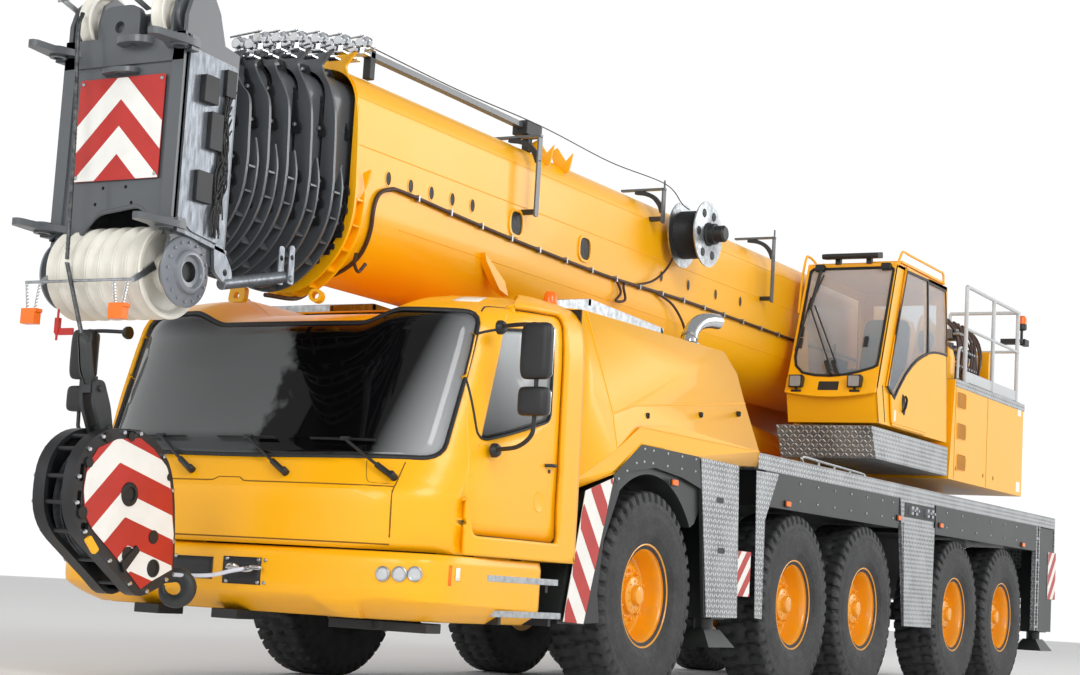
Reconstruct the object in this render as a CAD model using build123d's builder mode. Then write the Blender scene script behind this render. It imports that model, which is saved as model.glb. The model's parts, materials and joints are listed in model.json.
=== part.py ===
from build123d import *
from math import atan2, cos, hypot, radians, sin
import os

# Mobile crane on five axles, stowed for the road. Millimetres.
# X forward, Y to the left, Z up, ground at Z 0, origin under the middle of the length.
os.makedirs("parts", exist_ok=True)

# Clearances
seat_gap = 0.3
pin_clearance = 0.3
panel_gap = 6
running_gap = 6

# Carrier stations
front_axle_x = 3050
axle_gaps = (2780, 1650, 2640, 1650)
body_half_width = 1500
rear_end_x = -7650
frame_half_width = 450
frame_bottom_z = 880
deck_bottom_z = 1800
deck_thickness = 130
deck_top_z = deck_bottom_z + deck_thickness
panel_bottom_z = 610
hood_rear_x = 1190
deck_front_x = hood_rear_x - seat_gap
cover_height = 285
cover_bottom_z = deck_bottom_z - cover_height

# Wheels and axles
tyre_radius = 745
tyre_width = 430
bead_radius = 330
bead_half_width = 170
rim_flange_radius = 366
rim_wall = 14
hub_bore_radius = 60
wheel_offset_from_kingpin = 150
kingpin_radius = 38
beam_boss_radius = 72
beam_height = 180
beam_half_width = 65
wheel_centre_y = body_half_width - tyre_width / 2
kingpin_y = wheel_centre_y - wheel_offset_from_kingpin
spring_post_y = 330
differential_radius = 132

# Slewing ring and upper structure
slew_x = -2700
ring_radius = 760
ring_top_z = 1990
table_thickness = 70
tail_x = -6300
cheek_inner_y = 505
cheek_thickness = 60
boom_pivot_x = -5250
boom_pivot_z = 3350
boom_pin_radius = 70

# Boom: one base and six sections that slide in each other
section_count = 7
boom_axis_z = 3360
boom_height = 1340
boom_top_z = boom_axis_z + boom_height / 2
boom_bottom_z = boom_axis_z - boom_height / 2
boom_half_width = 480
top_corner_radius = boom_half_width / 2
bottom_corner_radius = boom_half_width - 30
section_step = 36
section_wall = 12
base_rear_x = -5450
section_rear_x = -5040
section_rear_step = 60
collar_front_x = (5520, 5760, 6000, 6220, 6400, 6580)
collar_half_width = 570
collar_narrowing = 20
collar_drop = 250
collar_rise = 20
collar_bottom_z = boom_bottom_z - collar_drop
collar_top_z = boom_top_z + collar_rise
collar_thickness = 45
collar_radius = 360
collar_depth = 120
web_plate = 16
gusset_places = (-300, -100, 100, 300)
gusset_heights = (120, 380)
reel_x = 1200
reel_z = 3700
reel_drum_radius = 190
reel_flange_radius = 240
reel_width = 230
reel_offset = 90
reel_flange = 12
reel_hub_radius = 60
reel_motor_radius = 75
reel_motor_length = 150
arm_stations = (-500, 1700, 3300)
arm_reach = 110
arm_plate = 20
arm_half_width = 22
arm_top_z = boom_top_z + 30
head_rear_x = 6780
head_front_x = 7270
head_half_width = 450
head_plate = 40
lower_sheave_x = head_front_x - 140
lower_sheave_z = boom_bottom_z - 270
lower_sheave_radius = 270
sheave_width = 100
sheave_count = 7
sheave_shaft_radius = 55
upper_sheave_x = lower_sheave_x
upper_sheave_z = boom_top_z - 100
upper_sheave_radius = 190
arch_half_width = 365
arch_rise = 140
plate_holes = ((85, 145), (136, 50))
housing_radius = 125
housing_depth = 35
lug_reach = 380
lug_tip_x = head_front_x + lug_reach

# Luffing cylinder
cylinder_foot_x = -2900
cylinder_foot_z = 2230
cylinder_eye_x = 1000
cylinder_eye_z = 2540
barrel_radius = 155
rod_radius = 110
eye_radius = 105
eye_half_width = 110
cylinder_pin_radius = 45

# Road cab
cab_rear_x = 4250
cab_length = 1820
cab_front_x = cab_rear_x + cab_length
frame_front_x = cab_front_x - 420
cab_floor_z = 1000
cab_roof_z = 2630
cab_wall = 50
cab_bow = 430
cab_corner_radius = 110
bumper_bottom_z = 510
bumper_top_z = 1285
sill_x = cab_front_x - 210
sill_z = 1490
screen_top_x = cab_front_x - 570
screen_top_z = cab_roof_z - 240
brow_x = screen_top_x - 290
brow_z = screen_top_z + 50
roof_front_x = brow_x - 250
dip_half_width = 560
dip_depth = 130
door_rear_x = cab_rear_x + 230
door_front_x = cab_front_x - 580
door_top_z = cab_roof_z - 90
door_thickness = 45
step_heights = (570, 820)
step_reach = 60
hinge_pin_radius = 10
hinge_sleeve_radius = 20
hinge_heights = (1250, 2150)

# Engine hood
hood_wall = 40
hood_top_z = 2640
hood_side_z = 1810
hood_seam = 15
grille_half_width = 1150
grille_rise = 45
grille_bars = 15
grille_half_length = 700
grille_frame = 40
arch_foot_x = cab_rear_x - 610
arch_foot_z = 1560
arch_top_x = cab_rear_x - 970

# Outriggers
front_outrigger_x = 1880
rear_outrigger_x = -7290
beam_spacing = 270
outrigger_beam_width = 230
outrigger_beam_height = 300
outrigger_beam_z = 1150
outrigger_wall = 20
jack_tube_width = 240
jack_tube_bottom_z = 600
jack_tube_top_z = 1740
jack_rod_radius = 75
jack_rod_length = 900
jack_y = 1335
outrigger_panel = 24
pad_top_z = 540
pad_height = 150
pad_width = 480

# Crane cab
op_front_x = -1330
op_rear_x = -3480
op_outer_y = 1460
op_inner_y = 620
op_floor_z = 2440
op_roof_z = 4000
op_wall = 40
op_door_front_x = -1960
op_door_rear_x = -2860
op_door_sill = 80
op_door_header = 140
op_door_bottom_z = op_floor_z + op_door_sill
op_door_top_z = op_roof_z - op_door_header
op_door_thickness = 25
platform_bottom_z = 2110
platform_top_z = op_floor_z - 40
op_pivot_x = op_rear_x - 42
op_pivot_z = op_floor_z + 2

# Cabinets and handrail
cabinet_bottom_z = 2090
cabinet_top_z = 3110
right_cabinet_top_z = 2900
cabinet_front_x = -3610
right_cabinet_front_x = -3000
cabinet_rear_x = -6230
rail_radius = 20
rail_height = 1000
rail_top_z = cabinet_top_z + rail_height
rail_inset = 30
rail_stations = (-4090, -4700, -5300, -5950)

axle_x = [front_axle_x]
for axle_gap in axle_gaps:
    axle_x.append(axle_x[-1] - axle_gap)
sides = (("left", 1), ("right", -1))


# Shared shapes
def block(x_low, x_high, y_low, y_high, z_low, z_high, mode=Mode.ADD):
    with Locations(((x_low + x_high) / 2, (y_low + y_high) / 2, (z_low + z_high) / 2)):
        Box(x_high - x_low, y_high - y_low, z_high - z_low, mode=mode)


def side_prism(points, y_low, y_high, mode=Mode.ADD):
    with BuildSketch(Plane.XZ.offset(-y_high)) as outline:
        with BuildLine():
            Polyline(*points, close=True)
        make_face()
    extrude(outline.sketch, amount=y_high - y_low, mode=mode)


def cross_pin(x, z, radius, y_low, y_high, mode=Mode.ADD):
    with BuildSketch(Plane.XZ.offset(-y_high)) as outline:
        with Locations((x, z)):
            Circle(radius)
    extrude(outline.sketch, amount=y_high - y_low, mode=mode)


def upright_pin(x, y, radius, z_low, z_high, mode=Mode.ADD):
    with BuildSketch(Plane.XY.offset(z_low)) as outline:
        with Locations((x, y)):
            Circle(radius)
    extrude(outline.sketch, amount=z_high - z_low, mode=mode)


def save(builder, name):
    builder.part.label = name
    export_step(builder.part, f"parts/{name}.step")


# Chassis frame with the two outrigger boxes and the slewing ring's seat
outrigger_boxes = (front_outrigger_x, rear_outrigger_x)
box_half_length = beam_spacing / 2 + outrigger_beam_width / 2 + running_gap + outrigger_wall
box_half_height = outrigger_beam_height / 2 + outrigger_wall
box_end_y = 1180
with BuildPart() as chassis_frame:
    block(rear_end_x + 60, cab_rear_x - 60, -frame_half_width, frame_half_width,
          frame_bottom_z, deck_bottom_z - seat_gap)
    block(cab_rear_x - 60, frame_front_x, -frame_half_width, frame_half_width,
          bumper_bottom_z + 130, cab_floor_z - seat_gap)
    for box_x in outrigger_boxes:
        block(box_x - box_half_length, box_x + box_half_length, -box_end_y, box_end_y,
              outrigger_beam_z - box_half_height, outrigger_beam_z + box_half_height)
        for side in (1, -1):
            channel_x = box_x - side * beam_spacing / 2
            half_channel = outrigger_beam_width / 2 + running_gap
            block(channel_x - half_channel, channel_x + half_channel, -box_end_y, box_end_y,
                  outrigger_beam_z - outrigger_beam_height / 2 - seat_gap,
                  outrigger_beam_z + outrigger_beam_height / 2 + running_gap, mode=Mode.SUBTRACT)
    block(slew_x - 550, slew_x + 530, -ring_radius, ring_radius, cover_bottom_z,
          deck_bottom_z - seat_gap)
    upright_pin(slew_x, 0, ring_radius, deck_bottom_z - seat_gap, ring_top_z)
    chamfer(chassis_frame.edges().filter_by(Axis.Z).sort_by(Axis.X)[-2:], 40)
save(chassis_frame, "chassis_frame")

# Knuckle: fork, kingpin, web and wheel spindle
fixed_axle = 3
fork_thickness = 36
fork_gap = 1
web_near = beam_boss_radius + 12
web_thickness = 40
spindle_length = 75


def add_knuckle(station, side):
    fork_low = tyre_radius - beam_height / 2 - fork_gap
    fork_high = tyre_radius + beam_height / 2 + fork_gap
    pin_y = side * kingpin_y
    web_in = side * (kingpin_y + web_near)
    web_out = side * (kingpin_y + web_near + web_thickness)
    spindle_end = web_out + side * spindle_length
    block(station - 75, station + 75, min(web_in, web_out), max(web_in, web_out),
          fork_low - fork_thickness, fork_high + fork_thickness)
    for plate_low in (fork_low - fork_thickness, fork_high):
        block(station - 55, station + 55, min(pin_y, web_in), max(pin_y, web_in),
              plate_low, plate_low + fork_thickness)
        upright_pin(station, pin_y, 60, plate_low, plate_low + fork_thickness)
    upright_pin(station, pin_y, kingpin_radius, fork_low - fork_thickness,
                fork_high + fork_thickness)
    cross_pin(station, tyre_radius, hub_bore_radius, min(web_out, spindle_end),
              max(web_out, spindle_end))


# Axle beams, each with two spring posts under the frame. The third axle's knuckles stay
# straight ahead, so they are solids of the same node.
with BuildPart() as axle_beams:
    for station in axle_x:
        side_prism([(station - beam_half_width, tyre_radius - beam_height / 2),
                    (station + beam_half_width, tyre_radius - beam_height / 2),
                    (station + beam_half_width, tyre_radius + beam_height / 2),
                    (station - beam_half_width, tyre_radius + beam_height / 2)],
                   -kingpin_y, kingpin_y)
        for side in (1, -1):
            post_y = side * spring_post_y
            block(station - 60, station + 60, post_y - 60, post_y + 60,
                  tyre_radius, frame_bottom_z - seat_gap)
            upright_pin(station, side * kingpin_y, beam_boss_radius,
                        tyre_radius - beam_height / 2, tyre_radius + beam_height / 2)
            upright_pin(station, side * kingpin_y, kingpin_radius + pin_clearance,
                        tyre_radius - beam_height / 2, tyre_radius + beam_height / 2,
                        mode=Mode.SUBTRACT)
        with Locations((station, 0, tyre_radius)):
            Sphere(differential_radius)
    for side_name, side in sides:
        add_knuckle(axle_x[fixed_axle - 1], side)
save(axle_beams, "axle_beams")

# Steered knuckles
for axle_number, station in enumerate(axle_x, start=1):
    if axle_number != fixed_axle:
        for side_name, side in sides:
            with BuildPart() as knuckle:
                add_knuckle(station, side)
            save(knuckle, f"knuckle_{side_name}_{axle_number}")

# Wheels: a plain tyre seated on a dished steel rim
half_tyre = tyre_width / 2
hub_inner = kingpin_y + web_near + web_thickness + 8 - wheel_centre_y
bore_bottom = kingpin_y + web_near + web_thickness + spindle_length + 6 - wheel_centre_y
hub_cap = bore_bottom + 95
seat_radius = bead_radius - seat_gap
flange_inner = bead_half_width + 2
flange_outer = flange_inner + rim_wall
rim_inner = seat_radius - rim_wall
tyre_outline = ((-bead_half_width, bead_radius), (bead_half_width, bead_radius),
                (bead_half_width, rim_flange_radius + 8), (half_tyre, bead_radius + 170),
                (half_tyre - 8, tyre_radius - 70),
                (half_tyre - 45, tyre_radius), (45 - half_tyre, tyre_radius),
                (8 - half_tyre, tyre_radius - 70), (-half_tyre, bead_radius + 170),
                (-bead_half_width, rim_flange_radius + 8))
rim_outline = ((-flange_outer, rim_inner), (-flange_outer, rim_flange_radius),
               (-flange_inner, rim_flange_radius), (-flange_inner, seat_radius),
               (flange_inner, seat_radius), (flange_inner, rim_flange_radius),
               (flange_outer, rim_flange_radius), (flange_outer, rim_inner),
               (70, rim_inner), (10, rim_inner - 65), (40, 160), (90, 130), (hub_cap, 105),
               (hub_cap, 0), (bore_bottom, 0), (bore_bottom, hub_bore_radius + pin_clearance),
               (hub_inner, hub_bore_radius + pin_clearance), (hub_inner, 130), (0, 140),
               (-15, rim_inner - 65), (45, rim_inner))
for axle_number, station in enumerate(axle_x, start=1):
    for side_name, side in sides:
        axle_plane = Plane(origin=(station, side * wheel_centre_y, tyre_radius),
                           x_dir=(0, side, 0), z_dir=(side, 0, 0))
        axle_line = Axis((station, 0, tyre_radius), (0, 1, 0))
        with BuildPart() as wheel:
            for outline in (tyre_outline, rim_outline):
                with BuildSketch(axle_plane) as section:
                    with BuildLine():
                        Polyline(*outline, close=True)
                    make_face()
                revolve(section.sketch, axis=axle_line)
        save(wheel, f"wheel_{side_name}_{axle_number}")

# Side covers over the wheels, and the arch round each front wheel
arch_radius = 862
arch_inner_y = 1100
arch_outer_y = body_half_width - outrigger_panel - running_gap
ladder_rear_x = rear_outrigger_x + 285
ladder_front_x = rear_outrigger_x + 395
mid_panel_rear_x = slew_x - 560
mid_panel_front_x = slew_x + 540
cover_ends = ((ladder_front_x + 35, mid_panel_rear_x), (mid_panel_front_x, hood_rear_x - 150))
with BuildPart() as side_covers:
    for side in (1, -1):
        for x_low, x_high in cover_ends:
            y_in = side * (frame_half_width + seat_gap)
            y_out = side * body_half_width
            block(x_low, x_high, min(y_in, y_out), max(y_in, y_out),
                  cover_bottom_z, deck_bottom_z - seat_gap)
        with BuildSketch(Plane.XZ.offset(-max(side * arch_inner_y, side * arch_outer_y))) as arch:
            with BuildLine():
                Polyline((front_axle_x - 885, hood_side_z - seat_gap), (front_axle_x - 885, 1480),
                         (front_axle_x - 760, 1300), (cab_rear_x - 240, bumper_bottom_z + 20),
                         (cab_rear_x + 80, bumper_bottom_z + 20), (cab_rear_x - 100, arch_foot_z - 230),
                         (arch_foot_x, arch_foot_z - 20), (arch_top_x, hood_side_z - seat_gap),
                         close=True)
            make_face()
            with Locations((front_axle_x, tyre_radius)):
                Circle(arch_radius, mode=Mode.SUBTRACT)
        extrude(arch.sketch, amount=arch_outer_y - arch_inner_y)
save(side_covers, "side_covers")

ladder_depth = 50
rung_pitch = 250
rear_plate_z = 980

# Tread plates: the deck round the slewing ring, the middle panels and the rear ladders
with BuildPart() as tread_plates:
    block(rear_end_x, deck_front_x, -body_half_width, body_half_width,
          deck_bottom_z, deck_top_z)
    upright_pin(slew_x, 0, ring_radius + 40, deck_bottom_z, deck_top_z, mode=Mode.SUBTRACT)
    for side in (1, -1):
        y_face = side * body_half_width
        y_back = side * (body_half_width - 30)
        side_prism([(mid_panel_front_x - 50, deck_bottom_z),
                    (mid_panel_front_x - 280, panel_bottom_z),
                    (mid_panel_rear_x + 120, panel_bottom_z),
                    (mid_panel_rear_x + 50, deck_bottom_z)],
                   min(y_face, y_back), max(y_face, y_back))
        for rail_x in (ladder_front_x, ladder_rear_x):
            rail_y = side * (body_half_width - ladder_depth)
            block(rail_x - 20, rail_x + 20, min(rail_y, y_face), max(rail_y, y_face),
                  panel_bottom_z + 10, deck_bottom_z)
        for rung in range(5):
            rung_z = panel_bottom_z + 40 + rung * rung_pitch
            rung_near = side * (body_half_width - ladder_depth + 10)
            rung_far = side * (body_half_width - 5)
            block(ladder_rear_x, ladder_front_x, min(rung_near, rung_far),
                  max(rung_near, rung_far), rung_z, rung_z + 30)
        corner_y = side * (body_half_width - 600)
        block(rear_end_x, rear_end_x + 30, min(corner_y, y_face), max(corner_y, y_face),
              rear_plate_z, deck_bottom_z)
save(tread_plates, "tread_plates")


# Road cab. The front is bowed in plan and the roof dips under the boom.
def plan_face(front_x, rear_x, half_width):
    with BuildSketch(Plane.XY) as plan:
        with BuildLine():
            Polyline((front_x - cab_bow, half_width), (rear_x, half_width),
                     (rear_x, -half_width), (front_x - cab_bow, -half_width))
            ThreePointArc((front_x - cab_bow, -half_width), (front_x, 0),
                          (front_x - cab_bow, half_width))
        make_face()
        fillet(plan.vertices().group_by(Axis.X)[-1], cab_corner_radius)
    return plan.sketch


def cab_body(inset, low_z):
    plan = plan_face(cab_front_x - inset, cab_rear_x + inset, body_half_width - inset)
    top = cab_roof_z - inset
    with BuildPart() as body:
        extrude(plan, amount=top)
        side_prism([(cab_rear_x, low_z), (cab_front_x + 10, low_z),
                    (cab_front_x + 10 - inset, bumper_top_z), (sill_x - inset, sill_z),
                    (screen_top_x - inset, screen_top_z - inset / 2),
                    (brow_x - inset, brow_z - inset), (roof_front_x - inset, top - 20),
                    (roof_front_x - 250, top), (cab_rear_x, top)],
                   -body_half_width, body_half_width, mode=Mode.INTERSECT)
        with BuildSketch(Plane.YZ.offset(cab_rear_x - 1)) as dip:
            with BuildLine():
                Polyline((-dip_half_width - 260, top + 1), (-dip_half_width, top - dip_depth),
                         (dip_half_width, top - dip_depth), (dip_half_width + 260, top + 1),
                         close=True)
            make_face()
        extrude(dip.sketch, amount=2500, mode=Mode.SUBTRACT)
    return body.part


door_outline = ((door_rear_x, cab_floor_z + 40), (door_front_x, cab_floor_z + 40),
                (door_front_x, screen_top_z - 200), (door_front_x - 80, screen_top_z - 80),
                (door_front_x - 270, screen_top_z - 20), (door_front_x - 520, door_top_z),
                (door_rear_x, door_top_z))
pane_outline = ((door_rear_x + 130, sill_z + 90), (door_front_x - 110, sill_z + 90),
                (door_front_x - 110, screen_top_z - 260), (door_front_x - 300, screen_top_z - 130),
                (door_front_x - 560, door_top_z - 110), (door_rear_x + 130, door_top_z - 110))


def door_slab(points, amount, side, y_near, y_far):
    plane = Plane.XZ.offset(-max(side * y_near, side * y_far))
    with BuildSketch(plane) as outline:
        with BuildLine():
            Polyline(*points, close=True)
        make_face()
        if amount:
            offset(amount=amount, kind=Kind.INTERSECTION)
    return extrude(outline.sketch, amount=abs(y_far - y_near), mode=Mode.PRIVATE)


screen_half_width = body_half_width - 170
screen_box = (brow_x - 510, cab_front_x + 20, -screen_half_width, screen_half_width,
              sill_z + 10, screen_top_z - 10)
hinge_x = door_front_x + hinge_sleeve_radius + 14
hinge_y = body_half_width + hinge_sleeve_radius + 4
hinge_half_length = 35
with BuildPart() as cab_shell:
    add(cab_body(0, cab_floor_z))
    add(cab_body(cab_wall, cab_floor_z + cab_wall), mode=Mode.SUBTRACT)
    block(*screen_box, mode=Mode.SUBTRACT)
    for side in (1, -1):
        add(door_slab(door_outline, panel_gap, side, body_half_width - cab_wall - 40,
                      body_half_width + 10), mode=Mode.SUBTRACT)
        for hinge_z in hinge_heights:
            for lug_low in (hinge_z - hinge_half_length - 25, hinge_z + hinge_half_length + 5):
                block(hinge_x - hinge_sleeve_radius, hinge_x + hinge_sleeve_radius,
                      min(side * (body_half_width - 5), side * hinge_y),
                      max(side * (body_half_width - 5), side * hinge_y), lug_low, lug_low + 20)
                upright_pin(hinge_x, side * hinge_y, hinge_sleeve_radius, lug_low, lug_low + 20)
            upright_pin(hinge_x, side * hinge_y, hinge_pin_radius,
                        hinge_z - hinge_half_length - 10, hinge_z + hinge_half_length + 10)
save(cab_shell, "cab_shell")

glass_inset = 10
glass_thickness = 8
with BuildPart() as cab_glass:
    add(cab_body(glass_inset, cab_floor_z))
    add(cab_body(glass_inset + glass_thickness, cab_floor_z), mode=Mode.SUBTRACT)
    x_low, x_high, y_low, y_high, z_low, z_high = screen_box
    block(x_low, x_high, y_low + seat_gap, y_high - seat_gap, z_low + seat_gap,
          z_high - seat_gap, mode=Mode.INTERSECT)
save(cab_glass, "cab_glass")

# Seat, dashboard, steering column and wheel on the cab floor
cab_inside_z = cab_floor_z + cab_wall + seat_gap
seat_x = cab_rear_x + 370
seat_y = 850
seat_half_width = 230
dash_x = cab_front_x - 820
steering_radius = 230
with BuildPart() as cab_interior:
    for side in (1, -1):
        side_prism([(seat_x, cab_inside_z), (seat_x + 400, cab_inside_z),
                    (seat_x + 440, cab_floor_z + 500), (seat_x + 120, cab_floor_z + 520),
                    (seat_x, cab_floor_z + 1170), (seat_x - 120, cab_floor_z + 1150),
                    (seat_x - 60, cab_floor_z + 420)],
                   side * seat_y - seat_half_width, side * seat_y + seat_half_width)
    side_prism([(dash_x, cab_inside_z), (dash_x + 310, cab_inside_z), (dash_x + 310, sill_z - 50),
                (dash_x + 170, sill_z - 10), (dash_x, sill_z - 110)], -1150, 1150)
    wheel_plane = Plane(origin=(dash_x - 50, seat_y, cab_floor_z + 560), x_dir=(0, 1, 0),
                        z_dir=(-0.5, 0, 0.87))
    with BuildSketch(wheel_plane):
        Circle(steering_radius)
        Circle(steering_radius - 25, mode=Mode.SUBTRACT)
        Rectangle(2 * steering_radius - 40, 50)
    extrude(amount=25)
    with BuildSketch(wheel_plane):
        Circle(30)
    extrude(amount=-260)
save(cab_interior, "cab_interior")

# Front bumper: a bowed shell with the tow jaw in a recess
jaw_half_width = 130
jaw_half_height = 140
jaw_z = bumper_bottom_z + 250
jaw_bore_radius = 25
with BuildPart() as front_bumper:
    with BuildSketch(Plane.XY.offset(bumper_bottom_z)) as band:
        add(plan_face(cab_front_x, cab_rear_x + 90, body_half_width))
    extrude(band.sketch, amount=cab_floor_z - seat_gap - bumper_bottom_z)
    side_prism([(cab_rear_x + 90, cab_floor_z), (cab_front_x + 10, cab_floor_z),
                (cab_front_x + 10, bumper_bottom_z + 230), (cab_front_x - 110, bumper_bottom_z),
                (cab_rear_x + 650, bumper_bottom_z), (cab_rear_x + 550, bumper_bottom_z + 50),
                (cab_rear_x + 90, bumper_bottom_z + 50)], -body_half_width, body_half_width,
               mode=Mode.INTERSECT)
    with BuildSketch(Plane.XY.offset(bumper_bottom_z - 1)) as room:
        add(plan_face(cab_front_x - 130, cab_rear_x, body_half_width - 60))
    extrude(room.sketch, amount=cab_floor_z - bumper_bottom_z + 1, mode=Mode.SUBTRACT)
    block(cab_front_x - 300, cab_front_x + 20, -350, 350, jaw_z - 75, jaw_z + 75,
          mode=Mode.SUBTRACT)
    block(frame_front_x + seat_gap, cab_front_x - 60, -jaw_half_width, jaw_half_width,
          jaw_z - jaw_half_height, jaw_z + jaw_half_height)
    block(cab_front_x - 210, cab_front_x + 20, -jaw_half_width - 10, jaw_half_width + 10,
          jaw_z - 45, jaw_z + 45, mode=Mode.SUBTRACT)
    upright_pin(cab_front_x - 160, 0, jaw_bore_radius, jaw_z - jaw_half_height,
                jaw_z + jaw_half_height, mode=Mode.SUBTRACT)
    for side in (1, -1):
        for step_z in step_heights:
            step_near = side * (body_half_width - 30)
            step_far = side * (body_half_width + step_reach)
            block(cab_rear_x + 120, door_front_x - 250, min(step_near, step_far),
                  max(step_near, step_far), step_z - 20, step_z + 20)
save(front_bumper, "front_bumper")

# Engine hood over the engine block
hood_front_x = cab_rear_x - hood_seam
with BuildPart() as engine_hood:
    with BuildSketch(Plane.XZ.offset(-body_half_width)) as hood_side:
        with BuildLine():
            ThreePointArc((hood_rear_x, hood_side_z), (hood_rear_x + 240, hood_top_z - 340),
                          (hood_rear_x + 640, hood_top_z - 20))
            Polyline((hood_rear_x + 640, hood_top_z - 20), (hood_rear_x + 860, hood_top_z),
                     (cab_rear_x - 80, hood_top_z), (hood_front_x, hood_top_z - 40),
                     (hood_front_x, arch_foot_z - 150), (arch_foot_x, arch_foot_z),
                     (arch_top_x, hood_side_z), (hood_rear_x, hood_side_z))
        make_face()
    extrude(hood_side.sketch, amount=2 * body_half_width)
    side_prism([(hood_rear_x + hood_wall, arch_foot_z - 260),
                (hood_rear_x + hood_wall, hood_side_z + 40),
                (hood_rear_x + 250 + hood_wall, hood_top_z - 300 - hood_wall),
                (hood_rear_x + 650, hood_top_z - 10 - hood_wall),
                (hood_rear_x + 860, hood_top_z - hood_wall),
                (hood_front_x - hood_wall, hood_top_z - hood_wall),
                (hood_front_x - hood_wall, arch_foot_z - 260)],
               hood_wall - body_half_width, body_half_width - hood_wall, mode=Mode.SUBTRACT)
    grille_x = (hood_rear_x + hood_front_x) / 2 + 300
    block(grille_x - grille_half_length, grille_x + grille_half_length,
          -grille_half_width, grille_half_width,
          hood_top_z - 10, hood_top_z + grille_rise)
    block(grille_x - grille_half_length + grille_frame,
          grille_x + grille_half_length - grille_frame,
          grille_frame - grille_half_width, grille_half_width - grille_frame,
          hood_top_z - hood_wall - 10, hood_top_z + grille_rise + 1, mode=Mode.SUBTRACT)
    for bar in range(grille_bars):
        bar_y = (bar + 1) * 2 * grille_half_width / (grille_bars + 1) - grille_half_width
        block(grille_x - grille_half_length + 30, grille_x + grille_half_length - 30,
              bar_y - 10, bar_y + 10, hood_top_z - 10,
              hood_top_z + grille_rise - 10)
save(engine_hood, "engine_hood")

with BuildPart() as engine_block:
    block(hood_rear_x + 510, cab_rear_x - 650, -390, 390, deck_bottom_z, hood_top_z - 200)
    chamfer(engine_block.edges().filter_by(Axis.X).group_by(Axis.Z)[-1], 90)
save(engine_block, "engine_block")

# Cab doors with their mirrors on arms
mirror_x = door_front_x - 90
mirror_post_y = body_half_width + 320
mirror_half_width = 110
mirror_heights = ((1990, 2330), (1790, 1965))
mirror_arms = (1600, 2350)
for side_name, side in sides:
    with BuildPart() as door:
        add(door_slab(door_outline, 0, side, body_half_width - door_thickness, body_half_width))
        add(door_slab(pane_outline, 0, side, body_half_width - door_thickness - 5,
                      body_half_width + 5), mode=Mode.SUBTRACT)
        for hinge_z in hinge_heights:
            z_low = hinge_z - hinge_half_length
            z_high = hinge_z + hinge_half_length
            block(door_front_x - 80, hinge_x, min(side * (body_half_width + 6), side * hinge_y),
                  max(side * (body_half_width + 6), side * hinge_y), z_low, z_high)
            block(door_front_x - 80, door_front_x - 20,
                  min(side * (body_half_width - 5), side * hinge_y),
                  max(side * (body_half_width - 5), side * hinge_y), z_low, z_high)
            upright_pin(hinge_x, side * hinge_y, hinge_sleeve_radius, z_low, z_high)
            upright_pin(hinge_x, side * hinge_y, hinge_pin_radius + pin_clearance,
                        z_low, z_high, mode=Mode.SUBTRACT)
        mirror_near = side * (mirror_post_y - mirror_half_width)
        mirror_far = side * (mirror_post_y + mirror_half_width)
        for z_low, z_high in mirror_heights:
            block(mirror_x - 30, mirror_x + 60, min(mirror_near, mirror_far),
                  max(mirror_near, mirror_far), z_low, z_high)
        upright_pin(mirror_x, side * mirror_post_y, 14, mirror_arms[0], mirror_arms[1] + 15)
        for arm_z in mirror_arms:
            arm_root = side * (body_half_width + seat_gap)
            post_y = side * mirror_post_y
            cross_pin(mirror_x, arm_z, 14, min(arm_root, post_y), max(arm_root, post_y))
    save(door, f"door_{side_name}")

# Outriggers: a sliding beam with the jack's tube and tread panel, and the jack with its pad
panel_top_z = deck_bottom_z - 10
panel_outlines = {
    "front": ((410, panel_top_z), (220, panel_bottom_z), (-260, panel_bottom_z),
              (-280, panel_top_z)),
    "rear": ((250, panel_top_z), (250, panel_bottom_z), (-280, panel_bottom_z),
             (-280, panel_top_z)),
}
beam_inner_y = 1120
for end_name, box_x in (("front", front_outrigger_x), ("rear", rear_outrigger_x)):
    for side_name, side in sides:
        beam_x = box_x - side * beam_spacing / 2
        beam_low = outrigger_beam_z - outrigger_beam_height / 2
        tube_half = jack_tube_width / 2
        with BuildPart() as outrigger_beam:
            block(beam_x - outrigger_beam_width / 2, beam_x + outrigger_beam_width / 2,
                  min(-side * beam_inner_y, side * jack_y), max(-side * beam_inner_y, side * jack_y),
                  beam_low, beam_low + outrigger_beam_height)
            block(beam_x - tube_half, beam_x + tube_half, side * jack_y - tube_half,
                  side * jack_y + tube_half, jack_tube_bottom_z, jack_tube_top_z)
            panel_in = side * (body_half_width - outrigger_panel)
            panel_out = side * body_half_width
            side_prism([(box_x + x, z) for x, z in panel_outlines[end_name]],
                       min(panel_in, panel_out), max(panel_in, panel_out))
            block(beam_x - 60, beam_x + 60, min(side * jack_y, panel_out),
                  max(side * jack_y, panel_out), beam_low, beam_low + outrigger_beam_height)
            upright_pin(beam_x, side * jack_y, jack_rod_radius + pin_clearance,
                        jack_tube_bottom_z, jack_tube_top_z - 30, mode=Mode.SUBTRACT)
        save(outrigger_beam, f"outrigger_beam_{side_name}_{end_name}")
        with BuildPart() as outrigger_jack:
            upright_pin(beam_x, side * jack_y, jack_rod_radius, pad_top_z - 20,
                        pad_top_z + jack_rod_length)
            with BuildSketch(Plane.XY.offset(pad_top_z - pad_height)) as pad:
                with Locations((beam_x, side * jack_y)):
                    Rectangle(pad_width, pad_width - 150)
            extrude(pad.sketch, amount=pad_height - 20, taper=35)
        save(outrigger_jack, f"outrigger_jack_{side_name}_{end_name}")

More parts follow.
